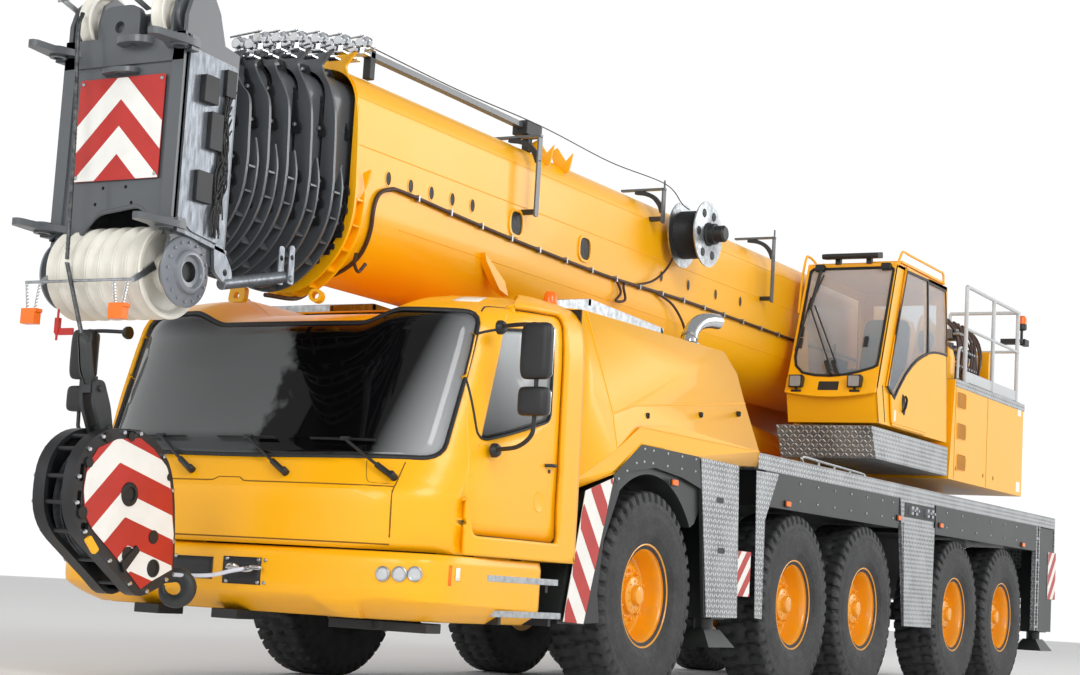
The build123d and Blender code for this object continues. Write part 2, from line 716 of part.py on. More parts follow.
# Turntable: base plate, two cheeks that carry the boom, winch shaft and cylinder foot
table_low = ring_top_z + seat_gap
table_top = table_low + table_thickness
cheek_outer_y = cheek_inner_y + cheek_thickness
winch_x = tail_x + 320
winch_z = table_top + 380
winch_shaft_radius = 50
foot_lug_near = eye_half_width + running_gap
foot_lug_thickness = 45
boss_length = 70
boss_inner_y = cheek_inner_y - 7 - boss_length
with BuildPart() as turntable_frame:
    upright_pin(slew_x, 0, ring_radius + 60, table_low, table_top)
    block(tail_x, slew_x + 760, -cheek_outer_y, cheek_outer_y, table_low, table_top)
    for side in (1, -1):
        y_low = min(side * cheek_inner_y, side * cheek_outer_y)
        side_prism([(slew_x + 760, table_low), (slew_x + 760, table_top + 420),
                    (slew_x - 300, table_top + 820), (boom_pivot_x + 500, boom_pivot_z + 270),
                    (boom_pivot_x + 250, boom_pivot_z + 370),
                    (boom_pivot_x - 230, boom_pivot_z + 370),
                    (boom_pivot_x - 390, boom_pivot_z + 150),
                    (boom_pivot_x - 530, boom_pivot_z - 300), (tail_x, boom_pivot_z - 590),
                    (tail_x, table_low)], y_low, y_low + cheek_thickness)
        boss_end = side * (boss_inner_y - seat_gap * 10)
        cross_pin(boom_pivot_x, boom_pivot_z, boom_pin_radius,
                  min(boss_end, side * cheek_outer_y), max(boss_end, side * cheek_outer_y))
        foot_low = min(side * foot_lug_near, side * (foot_lug_near + foot_lug_thickness))
        side_prism([(cylinder_foot_x - 190, table_low), (cylinder_foot_x + 190, table_low),
                    (cylinder_foot_x + 90, cylinder_foot_z + 90),
                    (cylinder_foot_x - 90, cylinder_foot_z + 90)],
                   foot_low, foot_low + foot_lug_thickness)
    cross_pin(winch_x, winch_z, winch_shaft_radius, -cheek_inner_y - 5, cheek_inner_y + 5)
    cross_pin(cylinder_foot_x, cylinder_foot_z, cylinder_pin_radius,
              5 - foot_lug_near - foot_lug_thickness, foot_lug_near + foot_lug_thickness - 5)
save(turntable_frame, "turntable_frame")

with BuildPart() as winch_drum:
    with BuildSketch(Plane(origin=(winch_x, 0, winch_z), x_dir=(0, 1, 0), z_dir=(1, 0, 0))) as reel:
        with BuildLine():
            Polyline((-430, winch_shaft_radius + pin_clearance), (-430, 250), (-400, 250),
                     (-400, 190), (400, 190), (400, 250), (430, 250),
                     (430, winch_shaft_radius + pin_clearance), close=True)
        make_face()
    revolve(reel.sketch, axis=Axis((winch_x, 0, winch_z), (0, 1, 0)))
save(winch_drum, "winch_drum")

# Cabinets on both sides of the cheeks
cabinet_inner_y = cheek_outer_y + seat_gap
with BuildPart() as rear_cabinet:
    side_prism([(cabinet_front_x, cabinet_bottom_z), (cabinet_front_x - 125, cabinet_top_z),
                (cabinet_rear_x, cabinet_top_z), (cabinet_rear_x, cabinet_bottom_z)],
               cabinet_inner_y, body_half_width)
    side_prism([(right_cabinet_front_x, cabinet_bottom_z),
                (right_cabinet_front_x - 100, right_cabinet_top_z),
                (cabinet_rear_x, right_cabinet_top_z), (cabinet_rear_x, cabinet_bottom_z)],
               -body_half_width, -cabinet_inner_y)
    fillet(rear_cabinet.edges().filter_by(Axis.Z), 30)
save(rear_cabinet, "rear_cabinet")

# Tread platform under the crane cab and the handrail on the left cabinet
op_lug_places = (op_inner_y + 140, op_outer_y - 140)
lug_width = 40
platform_rear_x = op_rear_x - 80
with BuildPart() as walkway_rail:
    side_prism([(op_front_x - 20, platform_top_z), (op_front_x - 170, platform_bottom_z),
                (platform_rear_x, platform_bottom_z), (platform_rear_x, platform_top_z)],
               cabinet_inner_y, body_half_width)
    for lug_y in op_lug_places:
        side_prism([(op_pivot_x - 34, platform_top_z - 5), (op_pivot_x + 34, platform_top_z - 5),
                    (op_pivot_x + 22, op_pivot_z + 30), (op_pivot_x - 22, op_pivot_z + 30)],
                   lug_y, lug_y + lug_width)
        cross_pin(op_pivot_x, op_pivot_z, 15, lug_y, lug_y + 2 * lug_width + 10)
    for rail_x in rail_stations:
        upright_pin(rail_x, body_half_width - rail_inset, rail_radius,
                    cabinet_top_z + seat_gap, rail_top_z)
    for rail_z in (rail_top_z - rail_height / 2, rail_top_z - rail_radius):
        with BuildSketch(Plane.YZ.offset(rail_stations[-1])) as rail:
            with Locations((body_half_width - rail_inset, rail_z)):
                Circle(rail_radius - 4)
        extrude(rail.sketch, amount=rail_stations[0] - rail_stations[-1])
save(walkway_rail, "walkway_rail")

# Crane cab: hollow shell on two pivots, with a sliding door on two rails
knee_z = op_floor_z + 280
op_outline = ((op_front_x - 70, op_floor_z), (op_front_x, knee_z),
              (op_front_x - 530, op_roof_z - 80), (op_front_x - 630, op_roof_z),
              (op_rear_x, op_roof_z), (op_rear_x, op_floor_z))
op_inside = ((op_front_x - 110, op_floor_z + op_wall), (op_front_x - 45, knee_z),
             (op_front_x - 570, op_roof_z - 100), (op_front_x - 650, op_roof_z - op_wall),
             (op_rear_x + op_wall, op_roof_z - op_wall), (op_rear_x + op_wall, op_floor_z + op_wall))
rail_depth = running_gap - seat_gap
pane_low = knee_z + 70
pane_high = op_roof_z - 160
pane_inset_y = 70
front_pane = ((op_front_x - 20, pane_low), (op_front_x - 470, pane_high))
side_pane = ((op_front_x - 170, pane_low - 30), (op_front_x - 550, pane_high - 60),
             (op_front_x - 570, pane_high - 60), (op_front_x - 570, pane_low - 30))
rear_pane = ((op_door_rear_x - 80, knee_z + 340), (op_rear_x + 80, knee_z + 340),
             (op_rear_x + 80, pane_high), (op_door_rear_x - 80, pane_high))
inner_pane = ((op_front_x - 570, knee_z + 180), (op_rear_x + 180, knee_z + 180),
              (op_rear_x + 180, pane_high), (op_front_x - 630, pane_high))
with BuildPart() as operator_cab_shell:
    side_prism(op_outline, op_inner_y, op_outer_y)
    side_prism(op_inside, op_inner_y + op_wall, op_outer_y - op_wall, mode=Mode.SUBTRACT)
    block(op_front_x - 820, op_front_x + 60, op_inner_y + pane_inset_y, op_outer_y - pane_inset_y,
          pane_low, pane_high, mode=Mode.SUBTRACT)
    block(op_door_rear_x, op_door_front_x, op_outer_y - op_wall - 5, op_outer_y + 5,
          op_door_bottom_z, op_door_top_z, mode=Mode.SUBTRACT)
    side_prism(side_pane, op_outer_y - op_wall - 5, op_outer_y + 5, mode=Mode.SUBTRACT)
    side_prism(rear_pane, op_outer_y - op_wall - 5, op_outer_y + 5, mode=Mode.SUBTRACT)
    side_prism(inner_pane, op_inner_y - 5, op_inner_y + op_wall + 5, mode=Mode.SUBTRACT)
    for rail_low in (op_door_bottom_z - 30, op_door_top_z + 5):
        block(op_rear_x + 10, op_door_front_x, op_outer_y - 2, op_outer_y + rail_depth,
              rail_low, rail_low + 20)
    for lug_y in op_lug_places:
        ear_y = lug_y + lug_width + 5
        cross_pin(op_pivot_x, op_pivot_z, 34, ear_y, ear_y + lug_width)
        block(op_pivot_x, op_rear_x + 5, ear_y, ear_y + lug_width, op_floor_z, op_pivot_z + 34)
        cross_pin(op_pivot_x, op_pivot_z, 15 + pin_clearance, ear_y, ear_y + lug_width,
                  mode=Mode.SUBTRACT)
save(operator_cab_shell, "operator_cab_shell")

with BuildPart() as operator_cab_glass:
    for outline, y_low, y_high in ((side_pane, op_outer_y - 20, op_outer_y - 12),
                                   (rear_pane, op_outer_y - 20, op_outer_y - 12),
                                   (inner_pane, op_inner_y + 12, op_inner_y + 20)):
        with BuildSketch(Plane.XZ.offset(-y_high)) as pane:
            with BuildLine():
                Polyline(*outline, close=True)
            make_face()
            offset(amount=-seat_gap, kind=Kind.INTERSECTION)
        extrude(pane.sketch, amount=y_high - y_low)
    low, high = front_pane
    side_prism([(low[0] - 12, low[1] + seat_gap), (low[0] - 20, low[1] + seat_gap),
                (high[0] - 20, high[1] - seat_gap), (high[0] - 12, high[1] - seat_gap)],
               op_inner_y + pane_inset_y + seat_gap, op_outer_y - pane_inset_y - seat_gap)
save(operator_cab_glass, "operator_cab_glass")

with BuildPart() as operator_seat:
    seat_z = op_floor_z + op_wall + seat_gap
    op_seat_x = op_door_front_x - 390
    cushion_z = seat_z + (op_roof_z - op_floor_z) * 0.27
    backrest_z = op_roof_z - 440
    side_prism([(op_seat_x - 350, seat_z), (op_seat_x, seat_z), (op_seat_x + 70, cushion_z),
                (op_seat_x - 270, cushion_z + 20), (op_seat_x - 410, backrest_z),
                (op_seat_x - 530, backrest_z - 20), (op_seat_x - 450, cushion_z - 40)],
               op_inner_y + 180, op_outer_y - 180)
save(operator_seat, "operator_seat")

with BuildPart() as operator_door:
    y_low = op_outer_y + running_gap
    y_high = y_low + op_door_thickness
    block(op_door_rear_x - 20, op_door_front_x + 20, y_low, y_high,
          op_door_bottom_z - 35, op_door_top_z + 30)
    block(op_door_rear_x + 50, op_door_front_x - 60, y_low - 1, y_high + 1,
          op_door_bottom_z + 480, op_door_top_z - 50, mode=Mode.SUBTRACT)
save(operator_door, "operator_door")


# Boom. Every section is a thin shell with a flat top and a full-round underside.
def section_face(number, inset=0):
    shrink = number * section_step + inset
    height = boom_top_z - boom_bottom_z - 2 * shrink
    with BuildSketch(Plane.YZ) as outline:
        with Locations((0, (boom_top_z + boom_bottom_z) / 2)):
            Rectangle(2 * (boom_half_width - shrink), height)
        fillet(outline.vertices().group_by(Axis.Y)[0], bottom_corner_radius - shrink)
        fillet(outline.vertices().group_by(Axis.Y)[-1], top_corner_radius - shrink)
    return outline.sketch


def shell_section(number, rear_x, front_x):
    extrude(section_face(number).moved(Location((rear_x, 0, 0))), amount=front_x - rear_x)
    extrude(section_face(number, section_wall).moved(Location((rear_x - 1, 0, 0))),
            amount=front_x - rear_x + 2, mode=Mode.SUBTRACT)


def collar(number, front_x):
    half_width = collar_half_width - number * collar_narrowing
    top = collar_top_z - number * collar_narrowing
    middle_z = (top + collar_bottom_z) / 2
    with BuildSketch(Plane.YZ.offset(front_x - collar_thickness)) as ring:
        with Locations((0, middle_z)):
            RectangleRounded(2 * half_width, top - collar_bottom_z, collar_radius - number * 15)
    extrude(ring.sketch, amount=collar_thickness)
    rear_x = front_x - collar_depth
    with BuildSketch(Plane.YZ.offset(rear_x)) as rear_flange:
        with Locations((0, middle_z)):
            RectangleRounded(2 * half_width, top - collar_bottom_z, collar_radius - number * 15)
            Rectangle(2 * half_width + 2, (top - collar_bottom_z) / 3,
                      align=(Align.CENTER, Align.MIN), mode=Mode.SUBTRACT)
    extrude(rear_flange.sketch, amount=web_plate)
    with BuildSketch(Plane.YZ.offset(rear_x)) as gussets:
        with Locations((0, middle_z)):
            RectangleRounded(2 * half_width - 40, top - collar_bottom_z - 40,
                             collar_radius - number * 15 - 20)
        with BuildSketch(mode=Mode.INTERSECT):
            for web_y in gusset_places:
                with Locations((web_y, middle_z)):
                    Rectangle(web_plate, top - collar_bottom_z, align=(Align.CENTER, Align.MAX))
            for web_z in gusset_heights:
                with Locations((0, boom_bottom_z + web_z)):
                    Rectangle(2 * half_width, web_plate)
    extrude(gussets.sketch, amount=collar_depth - 5)
    opening = section_face(number, section_wall)
    extrude(opening.moved(Location((rear_x - 1, 0, 0))), amount=collar_depth + 2,
            mode=Mode.SUBTRACT)
    pad_rear = front_x - 160
    inner_top = boom_top_z - number * section_step - section_wall
    inner_side = boom_half_width - number * section_step - section_wall
    reach = section_step - section_wall - seat_gap
    for side in (1, -1):
        block(pad_rear, front_x, side * 130 - 60, side * 130 + 60, inner_top - reach, inner_top)
        block(pad_rear, front_x, min(side * inner_side, side * (inner_side - reach)),
              max(side * inner_side, side * (inner_side - reach)),
              boom_axis_z - 30, boom_axis_z + 130)


with BuildPart() as boom_base:
    shell_section(0, base_rear_x, collar_front_x[0])
    collar(0, collar_front_x[0])
    for side in (1, -1):
        boss_y = min(side * boss_inner_y, side * (boss_inner_y + boss_length))
        cross_pin(boom_pivot_x, boom_pivot_z, 150, boss_y, boss_y + boss_length)
        cross_pin(boom_pivot_x, boom_pivot_z, boom_pin_radius + pin_clearance, boss_y - 5,
                  boss_y + boss_length + 5, mode=Mode.SUBTRACT)
        lug_near = eye_half_width + running_gap
        lug_y = min(side * lug_near, side * (lug_near + 40))
        side_prism([(cylinder_eye_x - 360, boom_bottom_z + 22),
                    (cylinder_eye_x + 300, boom_bottom_z + 22),
                    (cylinder_eye_x + 80, cylinder_eye_z - 80),
                    (cylinder_eye_x - 80, cylinder_eye_z - 80)], lug_y, lug_y + 40)
    reel_near = boom_half_width + reel_offset
    cross_pin(reel_x, reel_z, reel_drum_radius, reel_near, reel_near + reel_width)
    for flange_y in (reel_near - reel_flange, reel_near + reel_width):
        cross_pin(reel_x, reel_z, reel_flange_radius, flange_y, flange_y + reel_flange)
    cross_pin(reel_x, reel_z, reel_hub_radius, boom_half_width - 5, reel_near)
    cross_pin(reel_x, reel_z, reel_motor_radius, reel_near + reel_width,
              reel_near + reel_width + reel_motor_length)
    arm_low_z = boom_axis_z + arm_plate
    arm_y = boom_half_width + arm_reach
    for arm_x in arm_stations:
        block(arm_x - arm_half_width, arm_x + arm_half_width, arm_y - arm_plate, arm_y,
              arm_low_z, arm_top_z)
        with BuildSketch(Plane.YZ.offset(arm_x - web_plate / 2)) as brace:
            with BuildLine():
                Polyline((boom_half_width - 5, arm_low_z), (arm_y - 10, arm_low_z),
                         (arm_y - 10, arm_low_z + 40), (boom_half_width - 5, arm_low_z + 60),
                         close=True)
                Polyline((boom_half_width - top_corner_radius / 3,
                          boom_top_z - top_corner_radius / 2),
                         (arm_y - 10, arm_top_z - 50), (arm_y - 10, arm_top_z - 10),
                         (boom_half_width - top_corner_radius, boom_top_z - 5),
                         close=True)
            make_face()
        extrude(brace.sketch, amount=web_plate)
save(boom_base, "boom_base")

for number in range(1, section_count - 1):
    with BuildPart() as boom_section:
        shell_section(number, section_rear_x + number * section_rear_step, collar_front_x[number])
        collar(number, collar_front_x[number])
    save(boom_section, f"boom_section_{number + 1}")

lug_plan = ((head_front_x - 40, 400), (head_front_x - 40, 500), (lug_tip_x - 90, 600),
            (lug_tip_x, 570), (lug_tip_x, 490), (lug_tip_x - 90, 450), (head_front_x + 60, 400))
lug_bore_radius = 40
lug_bore_x = lug_tip_x - 60
lug_bore_y = 530
lug_heights = (boom_bottom_z - 30, boom_top_z - 320)
lug_thickness = 45
with BuildPart() as head_section:
    number = section_count - 1
    shell_section(number, section_rear_x + number * section_rear_step, head_rear_x - seat_gap)
save(head_section, f"boom_section_{section_count}")

with BuildPart() as boom_head:
    head_low = lower_sheave_z + 120
    head_high = boom_top_z - 240
    block(head_rear_x, head_rear_x + head_plate, -head_half_width, head_half_width,
          head_low, head_high)
    for side in (1, -1):
        y_low = min(side * head_half_width, side * (head_half_width - head_plate))
        side_prism([(head_rear_x, head_low), (head_rear_x, head_high),
                    (upper_sheave_x - 150, upper_sheave_z + 30),
                    (upper_sheave_x - 130, upper_sheave_z + 120),
                    (upper_sheave_x + 120, upper_sheave_z + 120),
                    (head_front_x, upper_sheave_z - 30), (head_front_x, lower_sheave_z + 280),
                    (lower_sheave_x + 100, lower_sheave_z - 120),
                    (lower_sheave_x - 100, lower_sheave_z - 120),
                    (lower_sheave_x - 170, head_low)], y_low, y_low + head_plate)
    plate_low = lower_sheave_z + 200
    block(head_front_x - head_plate, head_front_x, -head_half_width, head_half_width,
          plate_low, upper_sheave_z - 170)
    with BuildSketch(Plane.YZ.offset(head_front_x - head_plate - 1)) as openings:
        with Locations((0, plate_low)):
            SlotOverall(2 * arch_half_width, 2 * arch_rise)
        for hole_y, hole_rise in plate_holes:
            with Locations((hole_y, plate_low + arch_rise + hole_rise),
                           (-hole_y, plate_low + arch_rise + hole_rise)):
                Circle(12)
    extrude(openings.sketch, amount=head_plate + 2, mode=Mode.SUBTRACT)
    cross_pin(lower_sheave_x, lower_sheave_z, sheave_shaft_radius, -head_half_width - 10,
              head_half_width + 10)
    for side in (1, -1):
        housing_near = side * (head_half_width - 5)
        housing_far = side * (head_half_width + housing_depth)
        cross_pin(lower_sheave_x, lower_sheave_z, housing_radius, min(housing_near, housing_far),
                  max(housing_near, housing_far))
        cross_pin(lower_sheave_x, lower_sheave_z, sheave_shaft_radius - 10,
                  min(side * (head_half_width + 15), housing_far),
                  max(side * (head_half_width + 15), housing_far), mode=Mode.SUBTRACT)
    cross_pin(upper_sheave_x, upper_sheave_z, 40, -head_half_width, head_half_width)
    for sheave_y in (-300, 250):
        cross_pin(upper_sheave_x, upper_sheave_z, upper_sheave_radius, sheave_y - 45, sheave_y + 45)
    for lug_z in lug_heights:
        for side in (1, -1):
            with BuildSketch(Plane.XY.offset(lug_z)) as lug:
                with BuildLine():
                    Polyline(*[(x, side * y) for x, y in lug_plan], close=True)
                make_face()
                with Locations((lug_bore_x, side * lug_bore_y)):
                    Circle(lug_bore_radius, mode=Mode.SUBTRACT)
            extrude(lug.sketch, amount=lug_thickness)
save(boom_head, "boom_head")

# Sheave pack at the foot of the head
groove_radius = 235
groove_half_width = 22
with BuildPart() as head_sheaves:
    pack_half = sheave_count * sheave_width / 2
    points = [(-pack_half, sheave_shaft_radius + pin_clearance), (-pack_half, lower_sheave_radius)]
    for sheave in range(sheave_count):
        middle = (sheave + 0.5) * sheave_width - pack_half
        points.append((middle - groove_half_width - 14, lower_sheave_radius))
        points.append((middle - groove_half_width, groove_radius))
        points.append((middle + groove_half_width, groove_radius))
        points.append((middle + groove_half_width + 14, lower_sheave_radius))
    points.append((pack_half, lower_sheave_radius))
    points.append((pack_half, sheave_shaft_radius + pin_clearance))
    with BuildSketch(Plane(origin=(lower_sheave_x, 0, lower_sheave_z), x_dir=(0, 1, 0),
                           z_dir=(1, 0, 0))) as pack:
        with BuildLine():
            Polyline(*points, close=True)
        make_face()
    revolve(pack.sketch, axis=Axis((lower_sheave_x, 0, lower_sheave_z), (0, 1, 0)))
save(head_sheaves, "head_sheaves")

# Hook block, drawn back towards the bumper, and its rope falls with the becket pin
rope_radius = 12
block_x = lower_sheave_x - 155
block_z = 1110
block_radius = 430
block_tilt = radians(56)
rope_foot = (block_x + 275, block_z + 370)
fall_rows = (-sheave_width, 0, sheave_width)
hook_reach = block_radius + 330
cheek_high = 150
block_cheek = 30
becket_radius = 20
with BuildPart() as hook_block:
    up = (sin(block_tilt), cos(block_tilt))
    body_plane = Plane(origin=(block_x, 0, block_z), x_dir=(up[1], 0, -up[0]), z_dir=(0, -1, 0))
    ear_x = (rope_foot[0] - block_x) * up[1] - (rope_foot[1] - block_z) * up[0]
    ear_y = (rope_foot[0] - block_x) * up[0] + (rope_foot[1] - block_z) * up[1]
    for y_high, thickness, radius in ((cheek_high, block_cheek, block_radius),
                                      (block_cheek - cheek_high, block_cheek, block_radius),
                                      (115, 230, block_radius - 60)):
        with BuildSketch(body_plane.offset(-y_high)) as cheek:
            Circle(radius)
        extrude(cheek.sketch, amount=thickness)
    with BuildSketch(body_plane.offset(-160)) as spine:
        Circle(70)
        with Locations((0, -330)):
            Rectangle(230, 190)
    extrude(spine.sketch, amount=320)
    with BuildSketch(body_plane.offset(-45)) as hook:
        with Locations((0, -hook_reach)):
            Circle(170)
            Circle(92, mode=Mode.SUBTRACT)
        with Locations((0, -500)):
            Rectangle(90, 240)
        with Locations((150, -hook_reach + 95)):
            Rectangle(200, 110, mode=Mode.SUBTRACT)
    extrude(hook.sketch, amount=90)
    for cheek_y in (cheek_high, block_cheek - cheek_high):
        with BuildSketch(body_plane.offset(-cheek_y)) as ear:
            with Locations((ear_x, ear_y)):
                Circle(45)
            with Locations((ear_x, ear_y - 140)):
                Rectangle(90, 280)
            with Locations((ear_x, ear_y)):
                Circle(becket_radius + pin_clearance, mode=Mode.SUBTRACT)
        extrude(ear.sketch, amount=block_cheek)
save(hook_block, "hook_block")

slope = atan2(lower_sheave_x + groove_radius - rope_foot[0], lower_sheave_z - rope_foot[1])
lay_radius = groove_radius + rope_radius + seat_gap
rope_top = (lower_sheave_x + lay_radius * cos(slope), lower_sheave_z - lay_radius * sin(slope))
rope_run = hypot(rope_top[0] - rope_foot[0], rope_top[1] - rope_foot[1])
with BuildPart() as rope_falls:
    for fall_y in fall_rows:
        with BuildSketch(Plane(origin=(rope_top[0], fall_y, rope_top[1]), x_dir=(0, 1, 0),
                               z_dir=(-sin(slope), 0, -cos(slope)))) as fall:
            Circle(rope_radius)
        extrude(fall.sketch, amount=rope_run)
        cross_pin(rope_foot[0], rope_foot[1], 34, fall_y - 15, fall_y + 15)
    cross_pin(rope_foot[0], rope_foot[1], becket_radius, -cheek_high, cheek_high)
save(rope_falls, "rope_falls")

# Luffing cylinder, closed at the eye on the boom
ram_angle = atan2(cylinder_eye_z - cylinder_foot_z, cylinder_eye_x - cylinder_foot_x)
ram_length = hypot(cylinder_eye_z - cylinder_foot_z, cylinder_eye_x - cylinder_foot_x)
ram_direction = (cos(ram_angle), 0, sin(ram_angle))
neck_start = 20
barrel_start = 150
barrel_end = ram_length - 380
rod_start = barrel_start + 80
rod_end = ram_length - 60


def along_ram(distance):
    return Plane(origin=(cylinder_foot_x + distance * ram_direction[0], 0,
                         cylinder_foot_z + distance * ram_direction[2]),
                 x_dir=(0, 1, 0), z_dir=ram_direction)


with BuildPart() as luff_barrel:
    with BuildSketch(along_ram(barrel_start)) as wall:
        Circle(barrel_radius)
    extrude(wall.sketch, amount=barrel_end - barrel_start)
    cross_pin(cylinder_foot_x, cylinder_foot_z, 100, -eye_half_width, eye_half_width)
    with BuildSketch(along_ram(neck_start)) as neck:
        Rectangle(2 * eye_half_width, 160)
    extrude(neck.sketch, amount=barrel_start)
    cross_pin(cylinder_foot_x, cylinder_foot_z, cylinder_pin_radius + pin_clearance,
              -eye_half_width, eye_half_width, mode=Mode.SUBTRACT)
    with BuildSketch(along_ram(barrel_start + 60)) as bore:
        Circle(rod_radius + pin_clearance)
    extrude(bore.sketch, amount=barrel_end, mode=Mode.SUBTRACT)
save(luff_barrel, "luff_barrel")

with BuildPart() as luff_rod:
    with BuildSketch(along_ram(rod_start)) as bar:
        Circle(rod_radius)
    extrude(bar.sketch, amount=rod_end - rod_start)
    cross_pin(cylinder_eye_x, cylinder_eye_z, eye_radius, -eye_half_width, eye_half_width)
save(luff_rod, "luff_rod")
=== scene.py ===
import json
import math

import bmesh
import bpy
import numpy as np
from mathutils import Matrix, Vector
from mathutils.geometry import tessellate_polygon


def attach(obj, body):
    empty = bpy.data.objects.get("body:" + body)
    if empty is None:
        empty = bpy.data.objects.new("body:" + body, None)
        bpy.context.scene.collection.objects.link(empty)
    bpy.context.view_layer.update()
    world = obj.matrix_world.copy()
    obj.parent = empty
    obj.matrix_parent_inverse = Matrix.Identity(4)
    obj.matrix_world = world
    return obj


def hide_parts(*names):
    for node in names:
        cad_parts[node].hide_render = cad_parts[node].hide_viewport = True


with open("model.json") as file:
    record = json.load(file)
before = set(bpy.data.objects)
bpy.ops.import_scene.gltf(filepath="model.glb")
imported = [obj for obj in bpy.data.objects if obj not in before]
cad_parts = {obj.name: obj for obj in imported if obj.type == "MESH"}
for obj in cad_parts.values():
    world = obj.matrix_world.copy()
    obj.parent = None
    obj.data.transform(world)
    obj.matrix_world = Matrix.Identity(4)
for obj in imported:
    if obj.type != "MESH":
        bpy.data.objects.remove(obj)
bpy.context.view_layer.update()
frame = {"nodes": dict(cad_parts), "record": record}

nodes = frame["nodes"]
scene = bpy.context.scene
print("frame loaded:", len(nodes), "CAD nodes")

# Camera: where the photograph was taken from, in metres and degrees
view = {
    "place": (16.029, 7.863, 0.735),
    "yaw": 209.6,
    "pitch": 7.15,
    "roll": 3.37,
    "lens": 67.28,
    "sensor": 36.0,
}


def makeCamera(v):
    # The view runs along (cos yaw cos pitch, sin yaw cos pitch, sin pitch); roll turns right and up
    # about it
    yaw, pitch, roll = (math.radians(v[k]) for k in ("yaw", "pitch", "roll"))
    ahead = Vector((math.cos(yaw) * math.cos(pitch), math.sin(yaw) * math.cos(pitch),
        math.sin(pitch)))
    right = ahead.cross(Vector((0, 0, 1))).normalized()
    up = right.cross(ahead)
    across = right * math.cos(roll) + up * math.sin(roll)
    above = up * math.cos(roll) - right * math.sin(roll)
    turn = Matrix((across, above, -ahead)).transposed()
    data = bpy.data.cameras.new("photoCamera")
    data.lens, data.sensor_width = v["lens"], v["sensor"]
    data.clip_start, data.clip_end = 0.1, 200
    eye = bpy.data.objects.new("photoCamera", data)
    eye.matrix_world = Matrix.Translation(v["place"]) @ turn.to_4x4()
    scene.collection.objects.link(eye)
    scene.camera = eye


makeCamera(view)

# Studio: pale floor, a sky that is bright at the horizon and dimmer above, three soft lamps in
# watts. skyLow is the strength at the horizon and the sines of elevation between which it falls to
# skyHigh.
studio = {
    "floorColour": "#ffffff",
    "floorHalf": 60,
    "skyLow": (1.03, 0.36, 0.62),
    "skyHigh": 0.42,
    "lamps": (("keyLamp", (12, 17, 13), (0, 1, 2.5), 9, 1500), ("frontLamp", (24, 2, 9),
        (5, 0, 1.6), 8, 900), ("tailLamp", (-14, 14, 9), (-5, 1, 2), 9, 700),),
}


def linear(hexText):
    # sRGB hex to a linear colour: each channel divides by 12.92 when dark, else follows the 2.4
    # power.
    raw = [int(hexText[i:i + 2], 16) / 255 for i in (1, 3, 5)]
    return tuple(c / 12.92 if c <= 0.04045 else ((c + 0.055) / 1.055) ** 2.4 for c in raw) + (1.0,)


def addNode(tree, kind, links=None, out=None, **settings):
    # One node: links gives each input a socket or a plain value, settings are the node's
    # properties, and out asks for one of its outputs in place of the node
    node = tree.nodes.new("ShaderNode" + kind)
    for name, value in settings.items():
        setattr(node, name, value)
    for socket, source in (links or {}).items():
        if isinstance(source, bpy.types.NodeSocket):
            tree.links.new(source, node.inputs[socket])
        else:
            node.inputs[socket].default_value = source
    return node if out is None else node.outputs[out]


def newMaterial(name):
    # An empty material: one shader wired to the output, and the place on the object in metres
    material = bpy.data.materials.new(name)
    material.use_nodes = True
    tree = material.node_tree
    tree.nodes.clear()
    shader = addNode(tree, "BsdfPrincipled")
    addNode(tree, "OutputMaterial", {"Surface": shader.outputs[0]})
    place = addNode(tree, "TexCoord").outputs["Object"]
    return material, tree, shader, place


def enamel(name, colour, worn, roughness=0.28, coat=0.6, peel=0.25, dusty="#8d8672", dust=0.25):
    # Sprayed two-pack enamel on steel: slow tone drift over a metre, orange peel of 8 mm, dust low
    # down.
    material, tree, shader, place = newMaterial(name)
    drift = addNode(tree, "TexNoise", {"Vector": place, "Scale": 1000 / 2600, "Detail": 1,
        "Roughness": 0.55}, 0)
    tone = addNode(tree, "Mix", {0: addNode(tree, "MapRange", {0: drift, 1: 0.35, 2: 0.7}, 0),
        6: linear(colour), 7: linear(worn)}, 2, data_type="RGBA")
    z = addNode(tree, "SeparateXYZ", {0: place}).outputs[2]
    low = addNode(tree, "MapRange", {0: z, 1: 1.3, 2: 0.3}, 0)
    grime = addNode(tree, "Math", {0: low, 1: addNode(tree, "MapRange",
        {0: addNode(tree, "TexNoise", {"Vector": place, "Scale": 1000 / 140, "Detail": 5,
        "Roughness": 0.55}, 0), 1: 0.42, 2: 0.7}, 0)}, 0, operation="MULTIPLY")
    tone = addNode(tree, "Mix", {0: addNode(tree, "Math", {0: grime, 1: dust}, 0,
        operation="MULTIPLY"), 6: tone, 7: linear(dusty)}, 2, data_type="RGBA")
    tree.links.new(tone, shader.inputs["Base Color"])
    streak = addNode(tree, "TexNoise", {"Vector": place, "Scale": 1000 / 700, "Detail": 2,
        "Roughness": 0.55}, 0)
    tree.links.new(addNode(tree, "MapRange", {0: streak, 1: 0.3, 2: 0.8, 3: roughness - 0.02,
        4: roughness + 0.04}, 0), shader.inputs["Roughness"])
    shader.inputs["Coat Weight"].default_value = coat
    shader.inputs["Coat Roughness"].default_value = 0.06
    tree.links.new(addNode(tree, "Bump", {"Height": addNode(tree, "TexNoise", {"Vector": place,
        "Scale": 1000 / 8, "Detail": 2, "Roughness": 0.55}, 0), "Strength": peel, "Distance": 0.4
        / 1000}, 0), shader.inputs["Normal"])
    return material


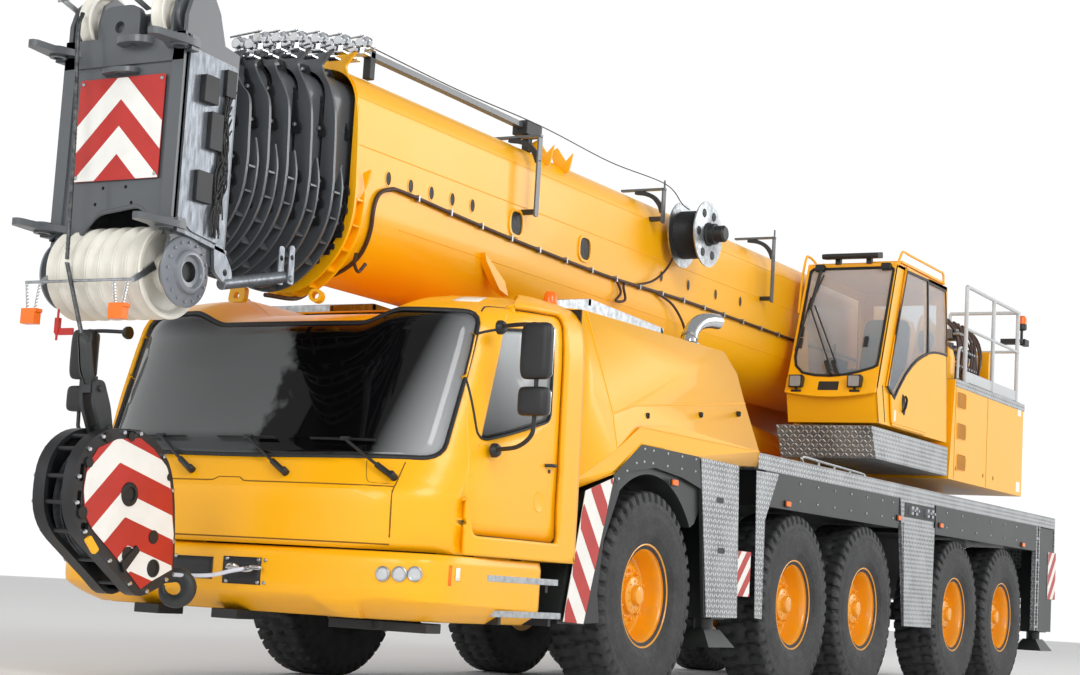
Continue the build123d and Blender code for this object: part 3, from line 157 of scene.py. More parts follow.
def treadPlate(name, pitch=0.04):
    # Five-bar aluminium plate, rolled: raised bars that cross at right angles. The real bars stand
    # 30 mm apart; they are drawn at 40 mm so that they show from the camera.
    material, tree, shader, place = newMaterial(name)
    axes = addNode(tree, "SeparateXYZ", {0: place}).outputs
    facing = addNode(tree, "SeparateXYZ",
        {0: addNode(tree, "NewGeometry").outputs["Normal"]}).outputs
    flat = addNode(tree, "Math", {0: addNode(tree, "Math", {0: facing[2]}, 0, operation="ABSOLUTE"),
        1: 0.6}, 0, operation="GREATER_THAN")
    endOn = addNode(tree, "Math", {0: addNode(tree, "Math", {0: facing[0]}, 0,
        operation="ABSOLUTE"), 1: 0.7}, 0, operation="GREATER_THAN")
    s = addNode(tree, "Mix", {0: endOn, 2: axes[0], 3: axes[1]}).outputs[0]
    t = addNode(tree, "Mix", {0: flat, 2: axes[2], 3: axes[1]}).outputs[0]
    s = addNode(tree, "Math", {0: s, 1: pitch}, 0, operation="DIVIDE")
    t = addNode(tree, "Math", {0: t, 1: pitch}, 0, operation="DIVIDE")
    parity = addNode(tree, "Math",
        {0: addNode(tree, "Math", {0: addNode(tree, "Math", {0: s}, 0, operation="FLOOR"),
        1: addNode(tree, "Math", {0: t}, 0, operation="FLOOR")}, 0, operation="ADD"), 1: 2.0}, 0,
        operation="FLOORED_MODULO")
    side = addNode(tree, "Math", {0: 1.0, 1: addNode(tree, "Math", {0: parity, 1: 2.0}, 0,
        operation="MULTIPLY")}, 0, operation="SUBTRACT")
    ls = addNode(tree, "Math", {0: addNode(tree, "Math", {0: s}, 0, operation="FRACT"), 1: 0.5}, 0,
        operation="SUBTRACT")
    lt = addNode(tree, "Math",
        {0: addNode(tree, "Math", {0: addNode(tree, "Math", {0: t}, 0, operation="FRACT"), 1: 0.5},
        0, operation="SUBTRACT"), 1: side}, 0, operation="MULTIPLY")
    along = addNode(tree, "Math", {0: addNode(tree, "Math", {0: ls, 1: lt}, 0, operation="ADD"),
        1: 0.78}, 0, operation="DIVIDE")
    across = addNode(tree, "Math", {0: addNode(tree, "Math", {0: ls, 1: lt}, 0,
        operation="SUBTRACT"), 1: 0.26}, 0, operation="DIVIDE")
    away = addNode(tree, "Math", {0: addNode(tree, "Math", {0: along, 1: 2.0}, 0,
        operation="POWER"), 1: addNode(tree, "Math", {0: across, 1: 2.0}, 0, operation="POWER")}, 0,
        operation="ADD")
    bar = addNode(tree, "MapRange", {0: away, 1: 1.0, 2: 0.45}, 0)
    dirt = addNode(tree, "MapRange",
        {0: addNode(tree, "TexNoise", {"Vector": place, "Scale": 1000 / 300, "Detail": 4,
        "Roughness": 0.55}, 0), 1: 0.35, 2: 0.75}, 0)
    base = addNode(tree, "Mix", {0: dirt, 6: linear("#a9acae"), 7: linear("#7f8284")}, 2,
        data_type="RGBA")
    tree.links.new(addNode(tree, "Mix", {0: bar, 6: base, 7: linear("#dfe1e2")}, 2,
        data_type="RGBA"), shader.inputs["Base Color"])
    tree.links.new(addNode(tree, "Math", {0: 0.46, 1: addNode(tree, "Math", {0: bar, 1: 0.18}, 0,
        operation="MULTIPLY")}, 0, operation="SUBTRACT"), shader.inputs["Roughness"])
    shader.inputs["Metallic"].default_value = 0.85
    tree.links.new(addNode(tree, "Bump", {"Height": bar, "Strength": 0.8, "Distance": 6.0 / 1000},
        0), shader.inputs["Normal"])
    return material


def paintedReflectionGlass(name, low, high, zLow, zHigh, alpha=0.93):
    # Float glass whose colour runs from one tone at zLow to another at zHigh: painted reflection.
    material, tree, shader, place = newMaterial(name)
    z = addNode(tree, "SeparateXYZ", {0: place}).outputs[2]
    tone = addNode(tree, "Mix", {0: addNode(tree, "MapRange", {0: z, 1: zLow, 2: zHigh}, 0),
        6: linear(low), 7: linear(high)}, 2, data_type="RGBA")
    tree.links.new(tone, shader.inputs["Base Color"])
    shader.inputs["Roughness"].default_value = 0.06
    shader.inputs["IOR"].default_value = 1.52
    shader.inputs["Alpha"].default_value = alpha
    return material


def screenPane(name):
    # Windscreen in painted reflection: grey on its left half, black on its right, pale at the low
    # right edge
    material, tree, shader, place = newMaterial(name)
    axes = addNode(tree, "SeparateXYZ", {0: place}).outputs
    ragged = addNode(tree, "Math", {0: axes[1], 1: addNode(tree, "Math",
        {0: addNode(tree, "TexNoise", {"Vector": place, "Scale": 1000 / 420, "Detail": 4,
        "Roughness": 0.55}, 0), 1: 0.9}, 0, operation="MULTIPLY")}, 0, operation="ADD")
    left = addNode(tree, "Mix", {0: addNode(tree, "MapRange", {0: axes[2], 1: 1.58, 2: 1.63}, 0),
        6: linear("#47494a"), 7: linear("#626465")}, 2, data_type="RGBA")
    left = addNode(tree, "Mix", {0: addNode(tree, "MapRange", {0: axes[2], 1: 2.28, 2: 2.4}, 0),
        6: left, 7: linear("#35373a")}, 2, data_type="RGBA")
    tone = addNode(tree, "Mix", {0: addNode(tree, "MapRange", {0: ragged, 1: 0.52, 2: 0.6}, 0),
        6: left, 7: linear("#060607")}, 2, data_type="RGBA")
    # A pale painted reflection fades in towards the low right edge.
    edge = addNode(tree, "Math", {0: axes[1], 1: addNode(tree, "Math", {0: axes[2], 1: 0.22}, 0,
        operation="MULTIPLY")}, 0, operation="SUBTRACT")
    tone = addNode(tree, "Mix", {0: addNode(tree, "MapRange", {0: edge, 1: 0.58, 2: 1.02}, 0),
        6: tone, 7: linear("#b9bcbe")}, 2, data_type="RGBA")
    tree.links.new(tone, shader.inputs["Base Color"])
    shader.inputs["Roughness"].default_value = 0.05
    shader.inputs["IOR"].default_value = 1.45
    shader.inputs["Alpha"].default_value = 0.97
    return material


def rubber(name, colour="#232425", worn="#37383a", roughness=0.62):
    # Vulcanised carbon-black rubber: matt, with paler dust rubbed over it and a fine moulded skin.
    material, tree, shader, place = newMaterial(name)
    dust = addNode(tree, "MapRange",
        {0: addNode(tree, "TexNoise", {"Vector": place, "Scale": 1000 / 120, "Detail": 5,
        "Roughness": 0.55}, 0), 1: 0.4, 2: 0.75}, 0)
    tree.links.new(addNode(tree, "Mix", {0: dust, 6: linear(colour), 7: linear(worn)}, 2,
        data_type="RGBA"), shader.inputs["Base Color"])
    tree.links.new(addNode(tree, "MapRange",
        {0: addNode(tree, "TexNoise", {"Vector": place, "Scale": 1000 / 25, "Detail": 4,
        "Roughness": 0.55}, 0), 1: 0.3, 2: 0.7, 3: roughness - 0.08, 4: roughness + 0.1}, 0),
        shader.inputs["Roughness"])
    tree.links.new(addNode(tree, "Bump", {"Height": addNode(tree, "TexNoise", {"Vector": place,
        "Scale": 1000 / 6, "Detail": 3, "Roughness": 0.55}, 0), "Strength": 0.4, "Distance": 0.5
        / 1000}, 0), shader.inputs["Normal"])
    return material


def plastic(name, colour, paler, roughness=0.45, grain=3.0, depth=0.2):
    # Injection-moulded plastic with an even leather grain.
    material, tree, shader, place = newMaterial(name)
    tone = addNode(tree, "Mix",
        {0: addNode(tree, "MapRange",
        {0: addNode(tree, "TexNoise", {"Vector": place, "Scale": 1000 / 200, "Detail": 3,
        "Roughness": 0.55}, 0), 1: 0.35, 2: 0.7}, 0), 6: linear(colour), 7: linear(paler)}, 2,
        data_type="RGBA")
    tree.links.new(tone, shader.inputs["Base Color"])
    shader.inputs["Roughness"].default_value = roughness
    tree.links.new(addNode(tree, "Bump", {"Height": addNode(tree, "TexNoise", {"Vector": place,
        "Scale": 1000 / grain, "Detail": 2, "Roughness": 0.55}, 0), "Strength": 0.5,
        "Distance": depth / 1000}, 0), shader.inputs["Normal"])
    return material


def metal(name, colour, darker, roughness=0.3, brush=None, metallic=1.0):
    # Bare or plated metal, with faint marks drawn out along one axis where it was brushed or
    # turned.
    material, tree, shader, place = newMaterial(name)
    if brush:
        stretch = addNode(tree, "Mapping", {"Vector": place})
        stretch.inputs["Scale"].default_value = brush
        marks = addNode(tree, "TexNoise", {"Vector": stretch.outputs[0], "Scale": 1000 / 20,
            "Detail": 4, "Roughness": 0.55}, 0)
    else:
        marks = addNode(tree, "TexNoise", {"Vector": place, "Scale": 1000 / 40, "Detail": 5,
            "Roughness": 0.55}, 0)
    tone = addNode(tree, "Mix", {0: addNode(tree, "MapRange", {0: marks, 1: 0.35, 2: 0.7}, 0),
        6: linear(colour), 7: linear(darker)}, 2, data_type="RGBA")
    tree.links.new(tone, shader.inputs["Base Color"])
    shader.inputs["Metallic"].default_value = metallic
    tree.links.new(addNode(tree, "MapRange", {0: marks, 1: 0.3, 2: 0.7, 3: roughness - 0.06,
        4: roughness + 0.08}, 0), shader.inputs["Roughness"])
    tree.links.new(addNode(tree, "Bump", {"Height": marks, "Strength": 0.25, "Distance": 0.2
        / 1000}, 0), shader.inputs["Normal"])
    return material


yellowEnamel = enamel("glossYellowEnamel", "#ffb703", "#ffb502", 0.34, coat=0.14, dust=0.05)
rimEnamel = enamel("rimYellowEnamel", "#f9a90c", "#f2a20b", 0.32, 0.5, 0.2)
greyEnamel = enamel("satinGreyEnamel", "#4d5154", "#45494c", 0.36, 0.25, 0.3, "#5d5b54", 0.4)
boomEnamel = enamel("boomGreyEnamel", "#55595d", "#4c5054", 0.36, 0.3, 0.3, "#5d5b54", 0.2)
castSteel = enamel("castSilverEnamel", "#7b8087", "#6b7077", 0.3, 0.5, 0.6)
headSteel = metal("paintedSteelSheet", "#8d9299", "#6e7379", 0.3, (1, 1, 0.2), 0.6)
signRed = plastic("reflexRed", "#bd2a22", "#b1261f", 0.35, 1.0, 0.05)
signWhite = plastic("reflexWhite", "#f2f1ec", "#e9e8e2", 0.35, 1.0, 0.05)
chassisEnamel = enamel("chassisBlackEnamel", "#2a2f2e", "#232726", 0.45, 0.12, 0.3, "#5b574c", 0.12)
treadAluminium = treadPlate("fiveBarAluminium")
screenGlass = screenPane("gradedScreenGlass")
# The door, cab and crane cab glass run between two tones by height: painted reflection.
doorGlass = paintedReflectionGlass("gradedDoorGlass", "#17191b", "#c4c8ca", 1.62, 2.42)
lampGlass = paintedReflectionGlass("clearLampGlass", "#eef0f0", "#f4f6f6", 0.7, 0.9, 0.35)
cabGlass = paintedReflectionGlass("greyCabGlass", "#6f7476", "#202325", 2.75, 3.75, 0.8)
tyreRubber = rubber("tyreRubber")
hoseRubber = rubber("hoseRubber", "#3a2115", "#472b1c", 0.5)
# Rubber for seals, cables and caps; also the painted shade filling the boom's bores.
sealRubberAndShade = rubber("sealRubberAndShade", "#141516", "#1e1f20", 0.5)
castNylon = plastic("castNylon", "#e9e6dc", "#dcd8cc", 0.35, 6.0, 0.15)
seamShade = plastic("seamShadow", "#7a5408", "#8a5f0a", 0.8, 2.0, 0.1)
blackPlastic = plastic("blackMouldedPlastic", "#1b1c1e", "#26272a")
seatCloth = plastic("seatCloth", "#26282c", "#34373c", 0.85, 1.5, 0.4)
castIron = metal("paintedCastIron", "#5a5d60", "#3f4245", 0.55, None, 0.4)
hardChrome = metal("groundChrome", "#d8dadc", "#c2c5c8", 0.14, (0.2, 3, 3))
railEnamel = enamel("silverRailEnamel", "#c9cdcf", "#bfc3c5", 0.34, 0.3, 0.2)
ventShade = plastic("ventShadow", "#c07f12", "#b27410", 0.7, 2.0, 0.1)
amberLens = plastic("amberLens", "#ff7a1a", "#f56f12", 0.2, 2.0, 0.05)
craneGlass = paintedReflectionGlass("craneCabGlass", "#aab4bd", "#dfe5ea", 2.9, 3.9, 0.3)
chassisDark = enamel("darkEdgeEnamel", "#2b302f", "#333938", 0.5, coat=0.1, dust=0.04)
# Black iron for the hook, links and socket; also dark plates that are painted shade in the
# exhaust's mouth, the grip slots and the valve opening.
blackIronAndShade = plastic("blackIronAndPaintedShade", "#2b2d2e", "#36393a", 0.5, 4.0, 0.25)
slingWhite = plastic("slingWebbing", "#e4e6ec", "#c9ccd8", 0.8, 2.0, 0.4)
ropeSteel = metal("greasedRopeSteel", "#6d6f70", "#3c3d3e", 0.42)
galvanised = metal("galvanisedSteel", "#c3c7ca", "#9a9fa3", 0.36)

slotMaterials = {
    "yellow_paint": yellowEnamel, "grey_paint": greyEnamel, "carrier_dark": chassisEnamel,
    "tread_plate": treadAluminium, "tinted_glass": cabGlass, "tyre_rubber": tyreRubber,
    "sheave_plastic": castNylon, "black_plastic": blackPlastic, "seat_cloth": seatCloth,
    "engine_iron": castIron, "rod_chrome": hardChrome, "hook_red_white": yellowEnamel,
}
for part in frame["record"]["subparts"]:
    cad = nodes[part["node"]]
    cad.data.materials.clear()
    cad.data.materials.append(slotMaterials[part["material_slot"]])
print("materials on the CAD nodes")


# Mesh tools. A shape is (points, faces): one array of points and a list of face arrays.
def gridFaces(rows, columns, closeRows=False, closeColumns=False):
    # Each face joins a grid point to its neighbours one row on and one column on, wrapping where
    # closed
    i = np.arange(rows if closeRows else rows - 1)[:, None]
    j = np.arange(columns if closeColumns else columns - 1)[None, :]
    k, m = (i + 1) % rows, (j + 1) % columns
    corners = (i * columns + j, i * columns + m, k * columns + m, k * columns + j)
    return np.stack(np.broadcast_arrays(*corners), -1).reshape(-1, 4)


def surface(points, closeRows=False, closeColumns=False):
    # A grid of points, rows by columns by 3, and the faces between neighbours
    points = np.asarray(points, float)
    return points.reshape(-1, 3), [gridFaces(*points.shape[:2], closeRows, closeColumns)]


def oblong(left, right, low, high):
    # The corners of an upright rectangle, anticlockwise
    return (left, low), (right, low), (right, high), (left, high)


def joined(*shapes):
    # Several shapes as one: each one's faces count on from the points before it
    points, faces, start = [], [], 0
    for some, sides in shapes:
        points.append(some)
        faces += [side + start for side in sides]
        start += len(some)
    return np.concatenate(points), faces


def moved(shape, offset):
    # Every point plus the offset
    return shape[0] + np.asarray(offset, float), shape[1]


def mirrored(shape):
    # Every point with its y negated
    return shape[0] * (1, -1, 1), shape[1]


def both(shape):
    # The shape and its mirror image
    return joined(shape, mirrored(shape))


def plate(axis, low, high, outline, holes=()):
    # A flat outline with holes, carried from low to high along one axis; the two caps are cut into
    # triangles
    rings = [np.asarray(ring, float) for ring in (outline, *holes)]
    flat = np.concatenate(rings)
    caps = np.array(tessellate_polygon([[Vector((a, b, 0)) for a, b in ring] for ring in rings]))
    count, faces, start = len(flat), [caps, caps[:, ::-1] + len(flat)], 0
    for ring in rings:
        here = np.arange(len(ring)) + start
        after = np.roll(here, -1)
        faces.append(np.stack((here, after, after + count, here + count), 1))
        start += len(ring)
    place = "xyz".index(axis)
    points = np.concatenate([np.insert(flat, place, level, axis=1) for level in (low, high)])
    return points, faces


def slab(low, high):
    # A block between two corners
    (x0, y0, z0), (x1, y1, z1) = low, high
    return plate("z", z0, z1, oblong(x0, x1, y0, y1))


def roundedLoop(corners, radius, steps=6):
    # A polygon whose corners are quadratic curves that start the radius before each corner and end
    # it after
    corners = np.asarray(corners, float)
    radius = np.broadcast_to(radius, len(corners))[:, None]
    before, after = np.roll(corners, 1, 0) - corners, np.roll(corners, -1, 0) - corners
    lengthIn, lengthOut = (np.linalg.norm(d, axis=1, keepdims=True) for d in (before, after))
    start = corners + before / lengthIn * np.minimum(radius, lengthIn / 2)
    end = corners + after / lengthOut * np.minimum(radius, lengthOut / 2)
    t = np.linspace(0, 1, steps)[None, :, None]
    bend = (1 - t) ** 2 * start[:, None] + 2 * t * (1 - t) * corners[:, None] + t ** 2 * end[:,
        None]
    return bend.reshape(-1, 2)


def circle(centre, radius, steps=32, squeeze=1.0):
    # (x, y) = centre + r (cos a, squeeze sin a)
    a = np.linspace(0, 2 * np.pi, steps, endpoint=False)
    return np.stack((centre[0] + radius * np.cos(a), centre[1] + radius * squeeze * np.sin(a)), 1)


def basis(direction):
    # Two unit vectors across a direction
    direction = np.asarray(direction, float) / np.linalg.norm(direction)
    helper = np.array((0.0, 0.0, 1.0)) if abs(direction[2]) < 0.9 else np.array((1.0, 0.0, 0.0))
    first = np.cross(helper, direction)
    first /= np.linalg.norm(first)
    return direction, first, np.cross(direction, first)


def turned(profile, direction, centre, steps=48, closed=False):
    # A profile of (radius, height) turned about an axis: centre + r cos a U + r sin a V + h W
    profile = np.asarray(profile, float)
    axis, first, second = basis(direction)
    a = np.linspace(0, 2 * np.pi, steps, endpoint=False)[:, None, None]
    r, h = profile[None, :, 0:1], profile[None, :, 1:2]
    grid = np.asarray(centre, float) + r * np.cos(a) * first + r * np.sin(a) * second + h * axis
    return surface(grid, True, closed)


def rod(start, end, radius, steps=16, rim=0.15):
    # A round bar with softly turned ends
    start, end = np.asarray(start, float), np.asarray(end, float)
    length = np.linalg.norm(end - start)
    soft = radius * rim
    profile = ((0, 0), (radius - soft, 0), (radius, soft), (radius, length - soft),
        (radius - soft, length), (0, length))
    return turned(profile, end - start, start, steps)


def along(points, steps=8):
    # A Catmull-Rom curve: each run is a cubic through its ends, with slopes taken from the points
    # either side
    p = np.asarray(points, float)
    p = np.concatenate((2 * p[:1] - p[1:2], p, 2 * p[-1:] - p[-2:-1]))
    a, b, c, d = (p[i:len(p) - 3 + i, None] for i in range(4))
    t = np.linspace(0, 1, steps, endpoint=False)[None, :, None]
    run = 0.5 * (2 * b + (c - a) * t + (2 * a - 5 * b + 4 * c - d) * t ** 2 + (3 * b - a - 3 * c
        + d) * t ** 3)
    return np.concatenate((run.reshape(-1, p.shape[1]), p[-2:-1]))


def carried(section, path, up=(0, 0, 1), closed=False):
    # A closed section carried along a path: each point stands across the path's tangent and upwards
    # from it
    section, path = np.asarray(section, float), np.asarray(path, float)
    if closed:
        tangent = np.roll(path, -1, 0) - np.roll(path, 1, 0)
    else:
        tangent = np.gradient(path, axis=0)
    tangent /= np.maximum(np.linalg.norm(tangent, axis=1, keepdims=True), 1e-9)
    across = np.cross(tangent, np.asarray(up, float))
    across /= np.maximum(np.linalg.norm(across, axis=1, keepdims=True), 1e-9)
    above = np.cross(across, tangent)
    grid = path[:, None] + section[None, :, 0:1] * across[:, None] + section[None, :,
        1:2] * above[:, None]
    points, faces = surface(grid, closed, True)
    if not closed:
        count, rows = len(section), len(path)
        ring = np.arange(count)
        after = np.roll(ring, -1)
        points = np.concatenate((points, path[:1], path[-1:]))
        first, last = np.full(count, rows * count), np.full(count, rows * count + 1)
        faces.append(np.stack((ring, after, first), 1))
        faces.append(np.stack((ring + (rows - 1) * count, after + (rows - 1) * count, last), 1))
    return points, faces


def tube(path, radius, steps=10, up=(0, 0, 1), closed=False):
    # A round section of radius r carried along the path
    return carried(circle((0, 0), radius, steps), path, up, closed)


def ringAbout(hole, frameLow, frameHigh, rows=8, centre=None):
    # Rays from the hole's middle: each runs from the hole's edge to a rectangle's edge, in even
    # steps
    hole = np.asarray(hole, float)
    middle = hole.mean(0) if centre is None else np.asarray(centre, float)
    low, high = np.asarray(frameLow, float) - middle, np.asarray(frameHigh, float) - middle
    arm = hole - middle
    angle = np.arctan2(arm[:, 1], arm[:, 0])
    order = np.argsort(angle)
    reach = np.linalg.norm(arm, axis=1)[order]
    corners = np.arctan2((low[1], low[1], high[1], high[1]), (low[0], high[0], high[0], low[0]))
    rays = np.unique(np.round(np.concatenate((angle, corners, np.linspace(-np.pi, np.pi, 48,
        endpoint=False))), 5))
    near = np.interp(rays, angle[order], reach, period=2 * np.pi)
    c, s = np.cos(rays), np.sin(rays)
    far = np.minimum(np.where(c > 0, high[0], -low[0]) / np.maximum(np.abs(c), 1e-9),
        np.where(s > 0, high[1], -low[1]) / np.maximum(np.abs(s), 1e-9))
    share = np.linspace(0, 1, rows)[None, :]
    length = near[:, None] * (1 - share) + far[:, None] * share
    return middle + length[..., None] * np.stack((c, s), 1)[:, None]


def discWithin(loop, rows=10, centre=None):
    # The loop drawn in towards its middle in even steps
    loop = np.asarray(loop, float)
    middle = loop.mean(0) if centre is None else np.asarray(centre, float)
    share = np.linspace(0, 1, rows)[None, :, None]
    return middle + (loop[:, None] - middle) * share


def repeated(shape, places):
    # The same shape at each of several offsets
    places = np.asarray(places, float)
    count = len(shape[0])
    starts = (np.arange(len(places)) * count)[:, None, None]
    return ((shape[0][None] + places[:, None]).reshape(-1, 3),
        [(side[None] + starts).reshape(-1, side.shape[1]) for side in shape[1]])


def meshPiece(name, shape, body, material, replaced=(), bevel=0.0, smooth=35, wall=0.0):
    # One piece from (points, faces): welded, shaded smooth up to an angle, with its material and
    # body
    mesh = bpy.data.meshes.new(name)
    points, faces = shape
    mesh.from_pydata(points.tolist(), [], [f for side in faces for f in side.tolist()])
    work = bmesh.new()
    work.from_mesh(mesh)
    bmesh.ops.remove_doubles(work, verts=work.verts, dist=2e-5)
    bmesh.ops.dissolve_degenerate(work, edges=work.edges, dist=1e-6)
    bmesh.ops.recalc_face_normals(work, faces=work.faces)
    work.to_mesh(mesh)
    work.free()
    mesh.shade_smooth()
    mesh.set_sharp_from_angle(angle=math.radians(smooth))
    piece = bpy.data.objects.new(name, mesh)
    scene.collection.objects.link(piece)
    mesh.materials.append(material)
    if wall:
        solid = piece.modifiers.new("wall", "SOLIDIFY")
        solid.thickness, solid.offset = wall, -1.0
    if bevel:
        edge = piece.modifiers.new("edge", "BEVEL")
        edge.width, edge.segments, edge.limit_method = bevel, 2, "ANGLE"
        edge.angle_limit, edge.harden_normals = math.radians(40), True
    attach(piece, body)
    if replaced:
        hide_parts(*replaced)
    return piece


sides = (("left", 1), ("right", -1))


def grown(loop, by):
    # The loop pushed outwards by a width, each point along the mean normal of its two edges
    loop = np.asarray(loop, float)
    before, after = loop - np.roll(loop, 1, 0), np.roll(loop, -1, 0) - loop
    area = np.sum(loop[:, 0] * np.roll(loop[:, 1], -1) - np.roll(loop[:, 0], -1) * loop[:, 1])
    sign = 1.0 if area > 0 else -1.0
    normals = []
    for edge in (before, after):
        edge = edge / np.maximum(np.linalg.norm(edge, axis=1)[:, None], 1e-9)
        normals.append(np.stack((edge[:, 1], -edge[:, 0]), 1) * sign)
    mean = normals[0] + normals[1]
    mean /= np.maximum((mean * normals[0]).sum(1)[:, None], 0.35)
    return loop + mean * by


# Wheels: block-tread tyres on deep-dished steel rims. Metres, height counts outwards from the
# wheel's middle.
wheel = {
    "stations": (3.05, 0.27, -1.38, -4.02, -5.67),
    "centreY": 1.285,
    "radius": 0.745,
    "lugs": 44,
    "grooveDepth": 0.024,
    "outline": ((0.17, 0.331), (0.178, 0.352), (0.186, 0.378), (0.198, 0.41), (0.209, 0.455),
        (0.2148, 0.52), (0.214, 0.575), (0.2095, 0.625), (0.206, 0.665), (0.202, 0.7), (0.19, 0.73),
        (0.165, 0.7425), (0.11, 0.7445), (0.0, 0.745)),
    "rim": ((0, 0.15), (0.05, 0.15), (0.062, 0.145), (0.07, 0.13), (0.073, 0.108), (0.118, 0.102),
        (0.13, 0.094), (0.134, 0.062), (0.142, 0.054), (0.205, 0.05), (0.222, 0.04), (0.245, 0.016),
        (0.262, 0.006), (0.284, 0.004), (0.298, 0.014), (0.306, 0.04), (0.312, 0.09), (0.32, 0.136),
        (0.329, 0.154), (0.338, 0.16), (0.347, 0.162), (0.353, 0.17), (0.356, 0.18), (0.362, 0.186),
        (0.369, 0.184), (0.371, 0.176), (0.367, 0.17), (0.331, 0.168), (0.331, -0.168),
        (0.366, -0.172), (0.368, -0.184), (0.356, -0.186), (0.318, -0.184), (0.316, -0.1),
        (0.3, -0.05), (0.25, -0.02), (0.15, -0.012), (0.13, -0.018), (0.0603, -0.018),
        (0.0603, 0.055), (0, 0.055)),
    "bolts": 10,
    "boltCircle": 0.174,
}


def makeTyre(w, x, side):
    # Angle by outline: blocks stand out where neither a slanted cross groove nor a zigzag groove
    # runs, and the sidewall carries three low ribs
    half = along(w["outline"], 4)
    s = np.concatenate((half, (half * (-1, 1))[::-1][1:]))
    h, r = s[:, 0], s[:, 1]
    slope = np.gradient(s, axis=0)
    slope /= np.linalg.norm(slope, axis=1, keepdims=True)
    outH, outR = slope[:, 1], -slope[:, 0]
    a = np.linspace(0, 2 * np.pi, w["lugs"] * 8, endpoint=False)[:, None]
    turn = a * w["lugs"] / (2 * np.pi)
    lean = 0.35 * np.abs(h) / 0.2
    cross = np.abs((turn + lean + 0.5 * (h > 0)) % 1.0 - 0.5)
    crossCut = np.clip((0.17 - cross) / 0.05, 0, 1) * np.clip((np.abs(h) - 0.055) / 0.01, 0, 1)
    centreCut = np.clip((0.1 - np.abs((turn * 0.5 + 0.2) % 1.0 - 0.5)) / 0.05, 0,
        1) * (np.abs(h) <= 0.055)
    zig = 0.062 + 0.01 * np.abs((turn % 1.0) * 2 - 1)
    ringCut = np.clip((0.011 - np.abs(np.abs(h) - zig)) / 0.004, 0, 1)
    tread = np.clip((r - 0.664) / 0.012, 0, 1)
    cut = np.maximum(np.maximum(crossCut, centreCut),
        ringCut * (r > 0.74)) * tread * w["grooveDepth"]
    lift = 0.0
    for place, width, height in ((0.432, 0.01, 0.0025), (0.56, 0.006, 0.002), (0.64, 0.008, 0.003)):
        lift = lift + height * np.exp(-((r - place) / width) ** 2)
    push = lift - cut
    radial = r + outR * push
    lateral = h + outH * push
    inner = np.stack((np.linspace(-0.168, 0.168, 5), np.full(5, 0.331)), 1)
    radial = np.concatenate((radial, np.broadcast_to(inner[:, 1], (len(a), 5))), 1)
    lateral = np.concatenate((np.broadcast_to(lateral, (len(a), len(s))),
        np.broadcast_to(inner[:, 0], (len(a), 5))), 1)
    grid = np.stack((x + radial * np.cos(a), side * (w["centreY"] + lateral), w["radius"] + radial
        * np.sin(a)), -1)
    return surface(grid, True, True)


def makeRim(w, x, side):
    # The dish is its profile turned about the axle; each nut is a six-sided turned form on the bolt
    # circle
    centre = (x, side * w["centreY"], w["radius"])
    dish = turned(w["rim"], (0, side, 0), centre, 72)
    nut = turned(((0, 0.082), (0.012, 0.082), (0.016, 0.078), (0.0165, 0.048), (0, 0.048)),
        (0, side, 0), centre, 6)
    stud = turned(((0, 0.094), (0.007, 0.094), (0.009, 0.091), (0.009, 0.08), (0, 0.08)),
        (0, side, 0), centre, 8)
    a = np.linspace(0, 2 * np.pi, w["bolts"], endpoint=False) + 0.2
    ring = np.stack((np.cos(a), 0 * a, np.sin(a)), 1)
    capBolt = turned(((0, 0.112), (0.006, 0.112), (0.007, 0.108), (0.007, 0.098), (0, 0.098)),
        (0, side, 0), centre, 6)
    return joined(dish, repeated(nut, ring * w["boltCircle"]),
        repeated(stud, ring * w["boltCircle"]), repeated(capBolt, ring * 0.1))


for number, x in enumerate(wheel["stations"], start=1):
    for sideName, side in sides:
        node = f"wheel_{sideName}_{number}"
        meshPiece(f"tyre_{sideName}_{number}", makeTyre(wheel, x, side), node, tyreRubber,
            (node,), smooth=50)
        meshPiece(f"rim_{sideName}_{number}", makeRim(wheel, x, side), node, rimEnamel)
print("wheels ready")

# Road cab: one smooth form. The plan is a superellipse that is bowed at the front; its height line
# rakes back above the sill and sinks in the middle of the roof, where the boom lies. Metres.
cab = {
    "rearX": 4.25,
    "heights": (0.925, 0.95, 1.24, 1.285, 1.31, 1.38, 1.46, 1.52, 2.36, 2.42, 2.47, 2.53, 2.585,
        2.63),
    "fronts": (6.05, 6.058, 6.064, 6.06, 6.03, 5.985, 5.93, 5.895, 5.57, 5.53, 5.47, 5.35, 5.18,
        4.93),
    "levels": (0.925, 1.3, 2.2, 2.36, 2.45, 2.52, 2.57, 2.605, 2.625, 2.63),
    "halfWidths": (1.497, 1.499, 1.494, 1.486, 1.472, 1.446, 1.406, 1.35, 1.26, 1.18),
    "squareness": 6.0,
    "bow": 0.14,
    "dip": (0.54, 0.84, 0.125, 2.06),
    "wall": 0.035,
    "screen": ((-1.325, 1.495), (0.0, 1.468), (1.325, 1.495), (1.338, 2.2), (1.325, 2.455),
        (0.86, 2.46), (0.0, 2.452), (-0.86, 2.46), (-1.325, 2.455), (-1.338, 2.2)),
    "screenRadius": (0.1, 0.5, 0.1, 0.2, 0.12, 0.08, 0.4, 0.08, 0.12, 0.2),
    "door": ((4.48, 1.045), (5.49, 1.045), (5.49, 2.12), (5.43, 2.36), (5.27, 2.49), (4.48, 2.535)),
    "doorRadius": (0.05, 0.06, 0.15, 0.12, 0.12, 0.07),
    "pane": ((4.62, 1.83), (5.4, 1.625), (5.42, 2.1), (5.37, 2.28), (5.22, 2.35), (4.62, 2.42)),
    "paneRadius": (0.06, 0.09, 0.12, 0.08, 0.08, 0.07),
}
cornerShare = 0.5 ** (1 / cab["squareness"])


def smoothLine(at, known, values, reach=0.02):
    # Straight runs between the known values, averaged over a short reach so that the corners are
    # soft
    offsets = np.linspace(-reach, reach, 5)
    return sum(np.interp(at + offset, known, values) for offset in offsets) / len(offsets)


roofTop = 2.63


